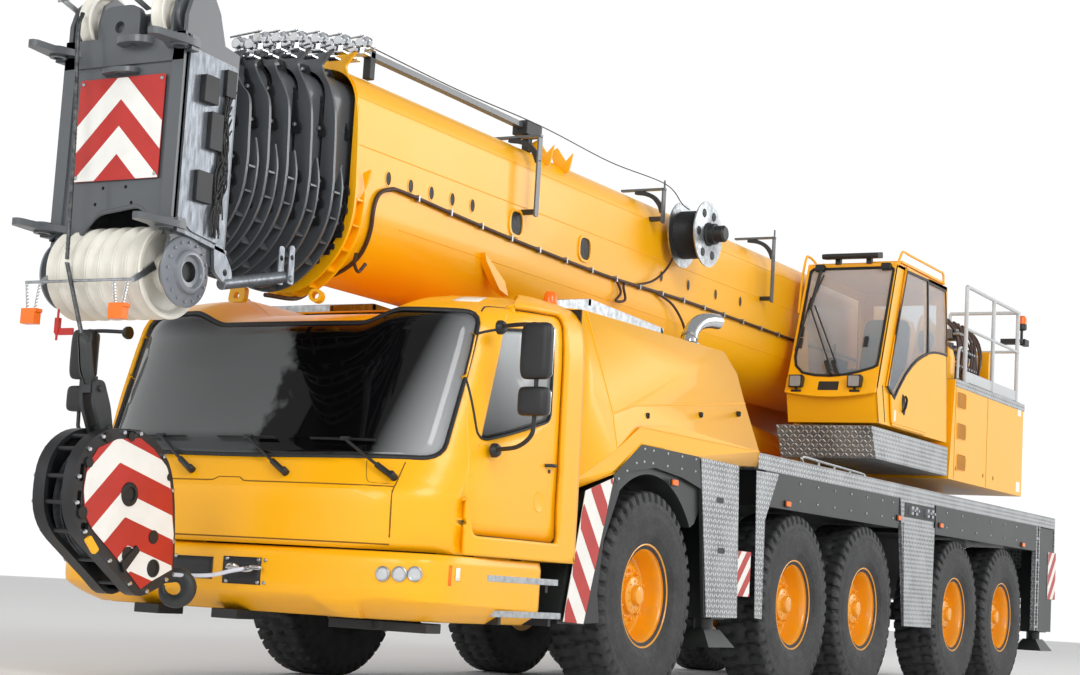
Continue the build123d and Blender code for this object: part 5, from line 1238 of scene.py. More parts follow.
def makeBoomSide(b, d):
    # Pieces on the first section, set off from its side y = sideY(z) and mirrored where both sides
    # match
    y0 = b["halfWidth"]
    rims, holeShades = [], []
    # Each bore and opening is filled with a dark plate: painted shade for the hole's inside.
    for x, z in d["bores"]:
        oval = circle((x, z), 0.03, 24, 1.5)
        holeShades.append(both(plate("y", y0 - 0.01, y0 + 0.0015, oval)))
        rims.append(both(plate("y", y0 - 0.004, y0 + 0.004, circle((x, z), 0.037, 24, 1.45),
            (oval[::-1],))))
    for x, z in d["openings"]:
        hole = roundedLoop(oblong(x - 0.085, x + 0.085, z - 0.085, z + 0.085), 0.07)
        ring = roundedLoop(oblong(x - 0.105, x + 0.105, z - 0.105, z + 0.105), 0.09)
        holeShades.append(both(plate("y", y0 - 0.01, y0 + 0.001, hole)))
        rims.append(both(plate("y", y0 - 0.004, y0 + 0.012, ring, (hole,))))
    for (xa, za), (xb, zb) in d["seams"]:
        ya, yb = sideY(b, za), sideY(b, zb)
        rims.append(both(rod((xa, ya - 0.001, za), (xb, yb - 0.001, zb), 0.0045, 8)))
    # Fin: a triangular plate that stands out from the lower round side, and lugs on the flange
    fin = plate("y", 0.462, 0.52, ((3.96, 3.09), (3.93, 3.03), (3.73, 2.86), (3.6, 2.83),
        (3.66, 2.93)))
    lug = turned(oblong(0.024, 0.044, -0.045, 0.045), (0.94, 0.34, 0), (5.54, 0.235, 2.535), 32,
        True)
    hook = plate("x", 5.555, 5.6, roundedLoop(((-0.42, 2.62), (-0.3, 2.6), (-0.31, 2.5),
        (-0.44, 2.5)), 0.03), (circle((-0.37, 2.545), 0.022, 20),))
    notched = []
    for x in (3.02, 2.72):
        notched.append(plate("x", x - 0.008, x + 0.008, ((0.4, 3.94), (0.47, 3.93), (0.5, 4.08),
            (0.44, 4.02), (0.36, 4.13), (0.3, 4.1), (0.34, 4.0))))
    foot = both(plate("y", 0.4, 0.46, roundedLoop(((-5.52, 3.05), (-4.6, 2.7), (-4.6, 3.95),
        (-5.05, 3.95), (-5.52, 3.6)), 0.12), (circle((-5.25, 3.35), 0.08, 32),)))
    cap = slab((-5.47, -0.44, 2.8), (-5.4, 0.44, 3.95))
    meshPiece("boomFittings", joined(*rims, both(fin), lug, hook, *notched, foot, cap), "boom",
        yellowEnamel, bevel=0.002)
    meshPiece("boomBores", joined(*holeShades), "boom", sealRubberAndShade)
    # Arms for the rope: flat upright bar, level bar to the boom's roof and a bent brace between
    # them
    bars, braces = [], []
    for x, zTop, zLow in d["arms"]:
        out = 0.585
        bars.append(plate("y", out, out + 0.014, roundedLoop(oblong(x - 0.028, x + 0.028, zLow,
            zTop), 0.02)))
        bars.append(slab((x - 0.02, 0.2, zTop - 0.012), (x + 0.02, out + 0.02, zTop + 0.006)))
        bars.append(rod((x, out + 0.01, zTop - 0.02), (x, out + 0.01, zTop + 0.07), 0.008))
        arc = along(((x, 0.585, zTop - 0.2), (x, 0.555, zTop - 0.13), (x, 0.5, zTop - 0.07),
            (x, 0.42, zTop - 0.035), (x, 0.33, zTop - 0.02)), 5)
        braces.append(carried(oblong(-0.018, 0.018, -0.018, 0.018), arc, (1, 0, 0)))
        braces.append(slab((x - 0.022, y0 - 0.004, zLow + 0.02), (x + 0.022, out + 0.002,
            zLow + 0.055)))
    meshPiece("ropeArms", joined(*bars), "boom", boomEnamel, bevel=0.002)
    meshPiece("armBraces", joined(*braces), "boom", blackPlastic, bevel=0.002)
    # Cable reel: wound drum between two sheet discs, with its motor
    rx, rz = d["reel"]
    turns = 22
    h = np.linspace(-0.115, 0.115, turns * 6 + 1)
    wound = [(0.05, -0.115)] + [(0.196 + 0.006 * abs(np.sin(i * np.pi / 6)), v) for i,
        v in enumerate(h)] + [(0.05, 0.115)]
    meshPiece("reelDrum", turned(wound, (0, 1, 0), (rx, 0.685, rz), 56, True), "boom", blackPlastic)
    disc = turned(((0.05, -0.004), (0.262, -0.004), (0.27, -0.01), (0.276, -0.004), (0.276, 0.006),
        (0.1, 0.006), (0.09, 0.012), (0.05, 0.012)), (0, 1, 0), (0, 0, 0), 72, True)
    spots = np.linspace(0, 2 * np.pi, 6, endpoint=False)
    dish = turned(((0, 0.009), (0.034, 0.007), (0.04, 0.0), (0, 0.0)), (0, 1, 0), (0, 0, 0), 20)
    dishes = repeated(dish, np.stack((rx + 0.19 * np.cos(spots), 0 * spots + 0.806,
        rz + 0.19 * np.sin(spots)), 1))
    meshPiece("reelDiscs", joined(moved(disc, (rx, 0.566, rz)), moved(disc, (rx, 0.802, rz))),
        "boom", galvanised)
    meshPiece("reelHoles", joined(dishes, rod((rx, 0.47, rz), (rx, 0.58, rz), 0.05)), "boom",
        sealRubberAndShade)
    motor = turned(((0, 0.165), (0.055, 0.16), (0.07, 0.145), (0.07, 0.075), (0.088, 0.07),
        (0.088, 0.02), (0.1, 0.012), (0.1, 0), (0, 0)), (0, 1, 0), (rx, 0.81, rz), 40)
    meshPiece("reelMotor", motor, "boom", blackPlastic, bevel=0.002)
    # Hose: clipped along the side, standing off by its own radius
    line = np.asarray(d["hose"], float)
    y = sideY(b, line[:, 1]) + 0.018
    path = along(np.stack((line[:, 0], y, line[:, 1]), 1), 6)
    path[:, 1] = sideY(b, path[:, 2]) + 0.018
    branch = along(((5.3, 0.43, 2.78), (5.36, 0.42, 2.72), (5.44, 0.44, 2.76), (5.47, 0.47, 2.82)),
        6)
    coil = along(((1.9, 0.5, 3.24), (1.84, 0.52, 3.14), (1.92, 0.52, 3.06), (1.76, 0.52, 3.09),
        (1.78, 0.51, 3.2), (1.7, 0.5, 3.24)), 6)
    toReel = along(((1.55, 0.5, 3.245), (1.3, 0.53, 3.32), (1.1, 0.55, 3.45), (0.96, 0.56, 3.62),
        (0.88, 0.56, 3.74)), 6)
    second = along(((1.2, 0.5, 3.25), (0.9, 0.53, 3.18), (0.7, 0.55, 3.02), (0.62, 0.53, 2.86),
        (0.7, 0.47, 2.76)), 6)
    meshPiece("boomHose", joined(tube(path, 0.0145, 10, (0, 1, 0)), tube(branch, 0.012, 10,
        (0, 1, 0)), tube(coil, 0.011, 10, (0, 1, 0)), tube(toReel, 0.01, 10, (0, 1, 0)),
        tube(second, 0.011, 10, (0, 1, 0))), "boom", hoseRubber)
    clips = []
    for x in np.arange(-4.4, 5.2, 0.42):
        z = np.interp(x, line[::-1, 0], line[::-1, 1])
        clips.append(slab((x - 0.008, y0 - 0.002, z - 0.024), (x + 0.008, y0 + 0.036, z + 0.024)))
    meshPiece("hoseClips", joined(*clips), "boom", galvanised, bevel=0.002)
    # Lattice foot bar on the roof, with its black end block, and the cable above the arms
    meshPiece("roofBar", carried(oblong(-0.03, 0.03, -0.022, 0.022),
        np.array(((5.46, 0.3, 4.205), (4.3, 0.3, 4.205), (3.12, 0.3, 4.2))), (0, 0, 1)), "boom",
        boomEnamel, bevel=0.003)
    meshPiece("roofBarEnd", joined(slab((3.02, 0.24, 4.13), (3.22, 0.37, 4.238)),
        slab((3.06, 0.27, 4.02), (3.12, 0.33, 4.18)), slab((5.2, 0.27, 4.04), (5.26, 0.33, 4.24))),
        "boom", blackPlastic, bevel=0.006)
    cable = along(((5.5, 0.4, 4.22), (4.4, 0.47, 4.17), (3.4, 0.594, 4.13), (2.3, 0.6, 4.1),
        (1.3, 0.6, 4.13), (1.0, 0.62, 4.02), (0.9, 0.64, 3.99)), 8)
    meshPiece("reelCable", tube(cable, 0.0045, 6, (0, 1, 0)), "boom", sealRubberAndShade)
    # Guide rollers in pairs along the roof of the flanges
    pulley = turned(((0, 0.018), (0.03, 0.018), (0.034, 0.014), (0.02, 0.004), (0.02, -0.004),
        (0.034, -0.014), (0.03, -0.018), (0, -0.018)), (1, 0, 0), (0, 0, 0), 20)
    arm = joined(slab((-0.02, -0.006, -0.075), (0.02, 0.006, 0.055)), slab((-0.03, -0.05, -0.08),
        (0.03, 0.05, -0.07)))
    for number in range(6):
        x = b["fronts"][number] - 0.05
        z = 4.115 - number * b["falling"] + 0.042
        body = "boom" if number == 0 else f"section_{number + 1}"
        group = []
        for side, lift in ((0.4, 0.0), (0.3, 0.012), (0.46, 0.035)):
            group += [moved(pulley, (x + 0.02, side, z + lift)),
                moved(pulley, (x - 0.05, side, z + lift + 0.02)),
                moved(arm, (x - 0.01, side - 0.012, z + lift))]
        group += [rod((x - 0.09, 0.26, z - 0.02), (x - 0.09, 0.5, z + 0.02), 0.007),
            rod((x + 0.04, 0.26, z + 0.05), (x + 0.04, 0.5, z + 0.07), 0.006)]
        meshPiece(f"guideRollers_{number + 1}", joined(*group), body, hardChrome,
            bevel=0.001)


makeBoomSide(boom, boomSide)
print("boom side ready")

# Boom head: cheeks, front plate with its arch, ears for a jib, upper sheaves, bearing housings
head = {
    "rear": 6.78,
    "front": 7.27,
    "half": 0.45,
    "wall": 0.03,
    "lower": (7.13, 2.42),
    "upper": (7.13, 3.93),
    "frontPlate": ((-0.45, 2.56), (-0.4, 2.56), (-0.33, 2.58), (-0.235, 2.633), (-0.15, 2.72),
        (-0.092, 2.757), (0.04, 2.775), (0.178, 2.788), (0.235, 2.76), (0.275, 2.714), (0.33, 2.68),
        (0.45, 2.66), (0.45, 3.79), (-0.45, 3.79)),
    "holes": ((0.085, 2.905), (-0.085, 2.905), (0.136, 2.81), (-0.136, 2.81)),
    "cheek": ((6.78, 2.545), (6.78, 3.78), (6.92, 3.8), (6.985, 3.98), (7.05, 4.065), (7.16, 4.085),
        (7.23, 4.02), (7.27, 3.9), (7.27, 2.6), (7.3, 2.45), (7.26, 2.33), (7.17, 2.275),
        (7.07, 2.285), (6.99, 2.35), (6.95, 2.47)),
    "ears": ((3.72, 1), (3.72, -1), (2.665, 1), (2.665, -1)),
    "ear": ((7.225, 0.3), (7.225, 0.52), (7.31, 0.525), (7.41, 0.512), (7.56, 0.488),
        (7.585, 0.465), (7.585, 0.43), (7.56, 0.412), (7.42, 0.4), (7.34, 0.355)),
    "upperSheaves": (-0.3, 0.25),
    "sheaveRadius": 0.19,
    "chevronPlate": oblong(-0.31, 0.33, 2.945, 3.555),
}


def sheaveProfile(radius, half, bore=0.04):
    # Rim with a rope groove, a thin web and a hub
    return ((bore, half), (bore * 1.9, half), (bore * 2.0, half * 0.75), (bore * 2.1, half * 0.35),
        (radius * 0.72, half * 0.3), (radius * 0.8, half * 0.42), (radius * 0.86, half * 0.85),
        (radius * 0.9, half), (radius * 0.985, half), (radius, half * 0.86), (radius * 0.985,
        half * 0.7), (radius * 0.88, half * 0.25), (radius * 0.865, 0), (radius * 0.88,
        -half * 0.25), (radius * 0.985, -half * 0.7), (radius, -half * 0.86), (radius * 0.985,
        -half), (radius * 0.9, -half), (radius * 0.86, -half * 0.85), (radius * 0.8, -half * 0.42),
        (radius * 0.72, -half * 0.3), (bore * 2.1, -half * 0.35), (bore * 2.0, -half * 0.75),
        (bore * 1.9, -half), (bore, -half))


def makeHead(h):
    # The welded frame, its housings, panels, cables, sheaves and guards
    frontPlate = plate("x", h["front"] - h["wall"], h["front"], np.array(h["frontPlate"]),
        [circle(hole, 0.011, 16) for hole in h["holes"]])
    lx, lz = h["lower"]
    cheekLoop = np.asarray(h["cheek"])
    cheek = plate("y", h["half"] - h["wall"], h["half"], cheekLoop, (circle((lx, lz), 0.058, 32),))
    back = plate("x", h["rear"], h["rear"] + 0.03, oblong(-h["half"], h["half"], 2.55, 3.78))
    # Return edges of the front plate: a raised border either side of the recessed middle
    border = both(plate("x", h["front"] - 0.005, h["front"] + 0.016, ((0.372, 2.66), (0.452, 2.6),
        (0.452, 3.8), (0.385, 3.8), (0.365, 3.62), (0.365, 3.0))))
    brow = plate("x", h["front"] - 0.005, h["front"] + 0.016, oblong(-0.45, 0.45, 3.63, 3.8))
    roof = slab((h["rear"] + 0.02, -h["half"] + 0.02, 3.75), (h["front"] - 0.02, h["half"] - 0.02,
        3.785))
    archLip = carried(circle((0, 0), 0.014, 10), along(np.insert(np.asarray(h["frontPlate"])[1:11],
        0, 7.262, axis=1), 4), (1, 0, 0))
    earShapes = []
    for z, side in h["ears"]:
        bore = circle((7.34, 0.455), 0.03, 24)
        shape = plate("z", z - 0.018, z + 0.022, np.asarray(h["ear"]), (bore,))
        boss = turned(((0.03, -0.03), (0.052, -0.03), (0.055, -0.026), (0.055, 0.032),
            (0.052, 0.036), (0.03, 0.036)), (0, 0, 1), (7.34, 0.455, z), 32, True)
        rib = plate("z", z - 0.04, z + 0.044, ((7.22, 0.33), (7.225, 0.51), (7.3, 0.515),
            (7.26, 0.42)))
        some = joined(shape, boss, rib)
        earShapes.append(some if side > 0 else mirrored(some))
    ux, uz = h["upper"]
    # Upper sheave brackets: a rounded plate either side of each sheave, and the middle housing with
    # its bore
    upperLoop = ((6.9, 3.76), (6.98, 3.96), (7.05, 4.06), (7.15, 4.085), (7.235, 4.02),
        (7.265, 3.9), (7.262, 3.76))
    brackets = [plate("y", y - 0.01, y + 0.01, upperLoop) for y in (-0.375, -0.225, 0.17, 0.325)]
    housing = turned(((0.035, 0.15), (0.055, 0.15), (0.06, 0.14), (0.095, 0.125), (0.105, 0.1),
        (0.105, -0.1), (0.095, -0.125), (0.035, -0.125)), (0, 1, 0), (7.15, -0.05, 3.86), 40, True)
    lobe = plate("x", 7.235, 7.285, roundedLoop(((-0.2, 3.99), (0.1, 3.99), (0.1, 3.72),
        (-0.05, 3.66), (-0.2, 3.72)), 0.09), (circle((-0.05, 3.86), 0.036, 28),))
    pad = joined(plate("z", 3.735, 3.775, roundedLoop(((7.22, -0.02), (7.36, -0.02), (7.4, 0.1),
        (7.36, 0.22), (7.22, 0.22)), 0.06), (circle((7.32, 0.1), 0.022, 20),)), plate("z", 3.575,
        3.605, roundedLoop(((7.22, -0.14), (7.33, -0.14), (7.36, 0.0), (7.33, 0.12), (7.22, 0.12)),
        0.05), (circle((7.3, -0.01), 0.018, 20),)))
    cover = turned(((0, 0.03), (0.105, 0.03), (0.118, 0.024), (0.122, 0.012), (0.122, 0), (0, 0)),
        (0, 1, 0), (ux, 0.335, uz), 48)
    coverBolts = joined(*[turned(((0, 0.045), (0.009, 0.045), (0.012, 0.041), (0.012, 0.028),
        (0, 0.028)), (0, 1, 0), (ux + dx, 0.335, uz + dz), 6) for dx, dz in ((-0.028, 0.01), (0.032,
        -0.012))])
    shaft = rod((ux, -0.4, uz), (ux, 0.38, uz), 0.045, 24)
    whole = joined(frontPlate, both(cheek), back, border, brow, roof, archLip, *earShapes,
        *brackets, housing, lobe, pad, cover, coverBolts, shaft)
    meshPiece("headFrame", whole, "section_7", boomEnamel, ("boom_head",),
        bevel=0.004)
    # Cast bearing housings over the lower shaft's ends
    casting = turned(((0.058, 0.0), (0.205, 0.0), (0.205, 0.012), (0.192, 0.02), (0.15, 0.024),
        (0.128, 0.034), (0.122, 0.058), (0.112, 0.064), (0.098, 0.064), (0.092, 0.056),
        (0.088, 0.04), (0.06, 0.038)), (0, 1, 0), (lx, h["half"] - 0.004, lz), 64, True)
    studs = np.linspace(0, 2 * np.pi, 16, endpoint=False)
    stud = turned(((0, 0.03), (0.006, 0.03), (0.008, 0.027), (0.008, 0.02), (0, 0.02)), (0, 1, 0),
        (lx, h["half"], lz), 6)
    ring = repeated(stud, np.stack((0.172 * np.cos(studs), 0 * studs, 0.172 * np.sin(studs)), 1))
    meshPiece("bearingHousings", both(joined(casting, ring)), "section_7", castSteel)
    bore = turned(((0, 0.02), (0.05, 0.02), (0.0595, 0.045), (0.0595, 0.0), (0, 0.0)), (0, 1, 0),
        (lx, h["half"] - 0.01, lz), 40)
    meshPiece("shaftBores", both(bore), "section_7", blackPlastic)
    # Side panel: a bare steel plate with an edge strip, and its tie bracket with a hole
    panel = plate("y", h["half"], h["half"] + 0.006, ((6.8, 2.62), (7.1, 2.66), (7.225, 2.72),
        (7.225, 3.72), (6.8, 3.7)))
    edgeBar = slab((7.215, h["half"], 2.66), (7.245, h["half"] + 0.016, 3.73))
    lowBar = plate("y", h["half"], h["half"] + 0.03, ((6.8, 2.575), (7.26, 2.64), (7.26, 2.662),
        (6.8, 2.6)))
    eye = plate("y", h["half"] + 0.006, h["half"] + 0.03, roundedLoop(((6.79, 2.4), (6.9, 2.46),
        (6.92, 2.62), (6.86, 2.64), (6.74, 2.5), (6.72, 2.42)), 0.04), (circle((6.8, 2.47), 0.02,
        20),))
    meshPiece("headSidePanels", both(joined(panel, edgeBar, lowBar, eye)), "section_7", headSteel,
        bevel=0.002)
    # Valve blocks and cables on the side panel
    blocks = [slab((7.0, 0.456, 3.42), (7.13, 0.5, 3.58)), slab((6.93, 0.456, 3.16),
        (7.04, 0.492, 3.38)), slab((6.98, 0.456, 2.84), (7.12, 0.486, 3.02)), slab((6.83, 0.456,
        3.5), (6.92, 0.485, 3.66))]
    meshPiece("headValves", both(joined(*blocks)), "section_7", blackPlastic,
        bevel=0.004)
    rng = np.random.default_rng(7)
    runs = []
    for i in range(16):
        z0 = 3.62 - 0.02 * i
        knots = np.array(((6.84 + 0.02 * (i % 3), z0), (6.9 + 0.01 * (i % 4), z0 - 0.16),
            (6.86, z0 - 0.34), (6.93, z0 - 0.52), (6.88 + 0.015 * (i % 5),
            z0 - 0.8))) + rng.normal(0, 0.022, (5, 2))
        knots = np.clip(knots, (6.8, 2.66), (7.19, 3.69))
        depth = np.full((5, 1), 0.468 + 0.006 * (i % 3))
        runs.append(tube(along(np.concatenate((knots[:, :1], depth, knots[:, 1:]), 1), 5), 0.005, 6,
            (0, 1, 0)))
    meshPiece("headCables", joined(*runs), "section_7", sealRubberAndShade)
    sheaves = joined(*[turned(sheaveProfile(h["sheaveRadius"], 0.045, 0.045), (0, 1, 0),
        (ux, y, uz), 64, True) for y in h["upperSheaves"]])
    meshPiece("upperSheaves", sheaves, "section_7", castNylon)
    guards = joined(rod((7.4, -0.44, 4.02), (7.4, 0.22, 4.075), 0.008), rod((7.425, -0.47, 2.335),
        (7.425, 0.34, 2.335), 0.009))
    legs = both(joined(plate("y", 0.335, 0.35, ((7.25, 2.42), (7.28, 2.46), (7.44, 2.345),
        (7.43, 2.315)))))
    topLegs = joined(*[plate("y", y, y + 0.012, ((7.2, 3.98), (7.24, 3.96), (7.42, 4.01),
        (7.41, 4.04))) for y in (-0.4, 0.1)])
    meshPiece("ropeGuards", joined(guards, legs, topLegs), "section_7", galvanised)


makeHead(head)


def makeChevron(h):
    # Plate of one colour with bands of the other: each band is the area between two shifted roof
    # lines
    (y0, z0), (y1, _), (_, z1), _ = h["chevronPlate"]
    middle, half = (y0 + y1) / 2, (y1 - y0) / 2
    x = h["front"] + 0.017
    base = plate("x", x - 0.004, x, roundedLoop(h["chevronPlate"], 0.012))
    rise = half * 0.98
    bands = []
    for apex in (z1 - 0.13, z1 - 0.455):
        y = np.linspace(y0 + 0.002, y1 - 0.002, 65)
        roofLine = apex - np.abs(y - middle) / half * rise
        low = np.clip(roofLine, z0 + 0.002, z1 - 0.002)
        high = np.clip(roofLine + 0.165, z0 + 0.002, z1 - 0.002)
        keep = high - low > 1e-4
        lower, upper = np.stack((y, low), 1)[keep], np.stack((y, high), 1)[keep]
        bands.append(plate("x", x - 0.0005, x + 0.0012, np.concatenate((lower, upper[::-1]))))
    return base, joined(*bands)


redBase, whiteBands = makeChevron(head)
meshPiece("headChevronBase", redBase, "section_7", signRed)
meshPiece("headChevronBands", whiteBands, "section_7", signWhite)
signBolts = joined(*[turned(((0, 0.007), (0.008, 0.006), (0.012, 0.002), (0.012, 0), (0, 0)),
    (1, 0, 0), (7.289, y, z), 16) for y in (-0.285, 0.305) for z in (2.97, 3.53)])
meshPiece("headSignBolts", signBolts, "section_7", galvanised)

# Lower sheave pack: seven grooved sheaves side by side
packShape = joined(*[turned(sheaveProfile(0.27, 0.0495, 0.0562), (0, 1, 0), (7.13, y, 2.42), 72,
    True) for y in np.arange(-0.3, 0.31, 0.1)])
meshPiece("lowerSheaves", packShape, "sheave_pack", castNylon, ("head_sheaves",))
print("boom head ready")

# Hook block: two dark cheeks with notches, sign plates with bands, sheaves between, hook ring, rope
# socket. Metres.
block = {
    "cheekOut": 0.15,
    "cheek": ((7.045, 1.52), (7.19, 1.514), (7.33, 1.49), (7.45, 1.42), (7.53, 1.31), (7.555, 1.17),
        (7.54, 1.02), (7.46, 0.9), (7.3, 0.79), (7.1, 0.66), (6.96, 0.575), (6.83, 0.6),
        (6.66, 0.7), (6.655, 0.9), (6.7, 1.2), (6.77, 1.36), (6.9, 1.47)),
    "sign": ((7.236, 1.45), (7.042, 1.474), (6.918, 1.423), (6.785, 1.325), (6.724, 1.188),
        (6.68, 0.95), (6.667, 0.736), (6.845, 0.66), (6.933, 0.612), (7.016, 0.677), (7.188, 0.799),
        (7.383, 0.932), (7.458, 1.016), (7.48, 1.149), (7.462, 1.284), (7.385, 1.388)),
    "eye": (7.099, 1.146, 0.062),
    "lowEye": (6.842, 0.735, 0.045),
    "sheaves": (7.1, 1.1, 0.34),
    "bandTilt": 15.0,
    "bandSlope": 0.554,
    "bands": (-0.33, -0.015, 0.3),
    "bandApex": 0.055,
    "bandWide": 0.15,
    "hook": (6.435, 0.0, 0.626),
    "hookRadius": 0.08,
    "across": (-0.494, 0.869, 0.0),
    "link": (7.255, 1.62),
}


def makeBlock(b):
    # Cheeks carried between y = out - thickness and y = out, then mirrored, with all that sits
    # between
    out = b["cheekOut"]
    cheekLoop = along(np.asarray(b["cheek"] + b["cheek"][:1]), 3)[:-1]
    ex, ez, er = b["eye"]
    lx, lz, lr = b["lowEye"]
    hole, low = circle((ex, ez), er, 32), circle((lx, lz), lr, 24)
    slots = [roundedLoop(np.array(oblong(-w, w, -h, h)) + (x, z), 0.012) for x, z, w,
        h in ((7.5, 1.24, 0.016, 0.05), (7.505, 1.09, 0.016, 0.05), (7.44, 0.945, 0.03, 0.02),
        (7.13, 1.497, 0.05, 0.01))]
    cheek = plate("y", out - 0.026, out, cheekLoop, (hole, low, *slots))
    rim = plate("y", out - 0.085, out - 0.025, cheekLoop, (grown(cheekLoop, -0.03),))
    meshPiece("blockCheeks", both(joined(cheek, rim)), "hook", blackPlastic,
        ("hook_block",), bevel=0.004)
    inner = grown(cheekLoop, -0.022)
    spots = inner[np.linspace(0, len(inner) - 1, 15).astype(int)[:-1]]
    bolts = [both(turned(((0, 0.02), (0.01, 0.02), (0.013, 0.017), (0.015, 0.01), (0.015, 0),
        (0, 0)), (0, 1, 0), (x, out, z), 6)) for x, z in spots]
    bars = [rod((x, -out + 0.01, z), (x, out - 0.01, z), 0.014, 10) for x, z in spots]
    meshPiece("blockBolts", joined(*bolts), "hook", hardChrome)
    meshPiece("blockBars", joined(*bars), "hook", blackPlastic)
    sx, sz, sr = b["sheaves"]
    disc = turned(sheaveProfile(sr, 0.03, 0.06), (0, 1, 0), (0, 0, 0), 64, True)
    meshPiece("blockSheaves", joined(*[moved(disc, (sx, y, sz)) for y in (-0.075, 0.0, 0.075)]),
        "hook", castIron)
    # Sign plate, and bands between pairs of shifted roof lines w = apex + slope |v| about an axis
    # that leans
    sign = np.asarray(b["sign"])
    base = plate("y", out + 0.001, out + 0.006, sign, (hole, low))
    lean = math.radians(b["bandTilt"])
    down, side = np.array((-math.sin(lean), -math.cos(lean))), np.array((-math.cos(lean),
        math.sin(lean)))
    own = np.stack(((sign - (ex + b["bandApex"], ez)) @ down,
        (sign - (ex + b["bandApex"], ez)) @ side), 1)
    v = np.linspace(own[:, 1].min() + 0.002, own[:, 1].max() - 0.002, 81)
    top = np.array([clipLoop(own, s, -1) for s in v])
    bottom = np.array([clipLoop(own, s, 1) for s in v])
    bands = []
    for apex in b["bands"]:
        line = apex + np.abs(v) * b["bandSlope"]
        first, last = np.clip(line, top, bottom), np.clip(line + b["bandWide"], top, bottom)
        keep = np.arange(len(v))[last - first > 1e-3]
        if len(keep) < 3:
            continue
        for run in np.split(keep, np.where(np.diff(keep) > 1)[0] + 1):
            if len(run) > 2:
                loop = np.concatenate((np.stack((first[run], v[run]), 1),
                    np.stack((last[run], v[run]), 1)[::-1]))
                flat = loop[:, :1] * down + loop[:, 1:] * side + (ex + b["bandApex"], ez)
                bands.append(plate("y", out + 0.0055, out + 0.007, flat))
    meshPiece("blockSigns", both(base), "hook", signRed)
    meshPiece("blockBands", both(joined(*bands)), "hook", signWhite)
    caps = [turned(((er - 0.02, 0.012), (er, 0.012), (er + 0.006, 0.008), (er + 0.008, 0),
        (er - 0.02, 0)), (0, 1, 0), (ex, out + 0.006, ez), 40, True), turned(oblong(0, er - 0.01,
        0.002, -0.02), (0, 1, 0), (ex, out + 0.0065, ez), 32), turned(((0, 0.004),
        (lr - 0.012, 0.004), (lr - 0.01, 0.012), (lr + 0.006, 0.01), (lr + 0.008, 0.0), (0, 0.0)),
        (0, 1, 0), (lx, out + 0.005, lz), 32)]
    lugs = [plate("y", out, out + 0.012, circle((x, z), r, 20)) for x, z, r in ((7.455, 1.3, 0.03),
        (7.475, 1.02, 0.036), (6.76, 1.27, 0.022), (7.07, 0.8, 0.05), (6.86, 0.915, 0.04),
        (7.12, 1.475, 0.028), (7.32, 1.452, 0.028))]
    bar = plate("y", out + 0.004, out + 0.02, ((7.13, 0.76), (7.01, 0.86), (6.98, 0.83),
        (7.1, 0.7)))
    meshPiece("blockCaps", both(joined(*caps, *lugs, bar)), "hook", sealRubberAndShade,
        bevel=0.002)
    latch = plate("y", out, out + 0.016, roundedLoop(((7.44, 0.87), (7.4, 0.9), (7.32, 0.82),
        (7.36, 0.79)), 0.016))
    meshPiece("hookLatch", latch, "hook", yellowEnamel, bevel=0.003)
    # Hook: shank, then a ring that opens at its back, in the plane of the across vector and the
    # vertical
    centre, across = np.asarray(b["hook"]), np.asarray(b["across"])
    angles = np.radians(np.linspace(128, -190, 40))
    bend = centre + b["hookRadius"] * (np.cos(angles)[:, None] * across + np.sin(angles)[:, None]
        * (0, 0, 1.0))
    start = np.array((6.86, 0.0, 0.8))
    path = np.concatenate((along(np.array((start, (6.7, 0.0, 0.765), (6.54, -0.01, 0.745),
        bend[0])), 5)[:-1], bend))
    share = np.linspace(0, 1, len(path))
    thick = np.interp(share, (0, 0.2, 0.55, 0.85, 1.0), (0.04, 0.042, 0.05, 0.036, 0.016))
    tangent = np.gradient(path, axis=0)
    tangent /= np.linalg.norm(tangent, axis=1)[:, None]
    facing = np.cross(across, (0, 0, 1.0))
    normal = np.cross(tangent, facing)
    normal /= np.linalg.norm(normal, axis=1)[:, None]
    a = np.linspace(0, 2 * np.pi, 20, endpoint=False)
    rings = path[:, None] + thick[:, None, None] * (np.cos(a)[None, :, None] * normal[:, None] + 0.9
        * np.sin(a)[None, :, None] * facing)
    cross = joined(rod((6.84, -0.145, 0.735), (6.84, 0.145, 0.735), 0.045, 28),
        turned(((0, 0.05), (0.06, 0.05), (0.065, 0.04), (0.065, -0.05), (0, -0.05)), (1, 0, 0.1),
        (6.74, 0, 0.77), 28))
    meshPiece("hookRing", joined(surface(rings, True, False), cross), "hook", blackIronAndShade)
    # Link plates and pins that lead to the rope's socket
    rx, rz = b["link"]
    loop = roundedLoop(((rx - 0.1, rz - 0.16), (rx - 0.01, rz - 0.17), (rx + 0.09, rz + 0.02),
        (rx + 0.1, rz + 0.16), (rx + 0.02, rz + 0.16), (rx - 0.05, rz + 0.02)), 0.03)
    plates = [plate("y", y - 0.012, y + 0.012, loop, (circle((rx + 0.055, rz + 0.11), 0.018, 20),))
        for y in (-0.045, 0.045)]
    pins = [rod((rx + 0.055, -0.075, rz + 0.11), (rx + 0.055, 0.075, rz + 0.11), 0.017, 16),
        rod((rx - 0.045, -0.075, rz - 0.11), (rx - 0.045, 0.075, rz - 0.11), 0.02, 16)]
    meshPiece("blockLinks", joined(*plates, *pins), "hook", blackIronAndShade, bevel=0.003)


def clipLoop(loop, level, sign):
    # Extreme u of a convex loop at v = level: the lowest for sign -1, the highest for sign 1
    found = [u0 + (level - v0) / (v1 - v0) * (u1 - u0) for (u0, v0), (u1, v1) in zip(loop,
        np.roll(loop, -1, axis=0)) if (v0 - level) * (v1 - level) <= 0 and abs(v1 - v0) > 1e-9]
    return (max(found) if sign > 0 else min(found)) if found else 0.0


makeBlock(block)

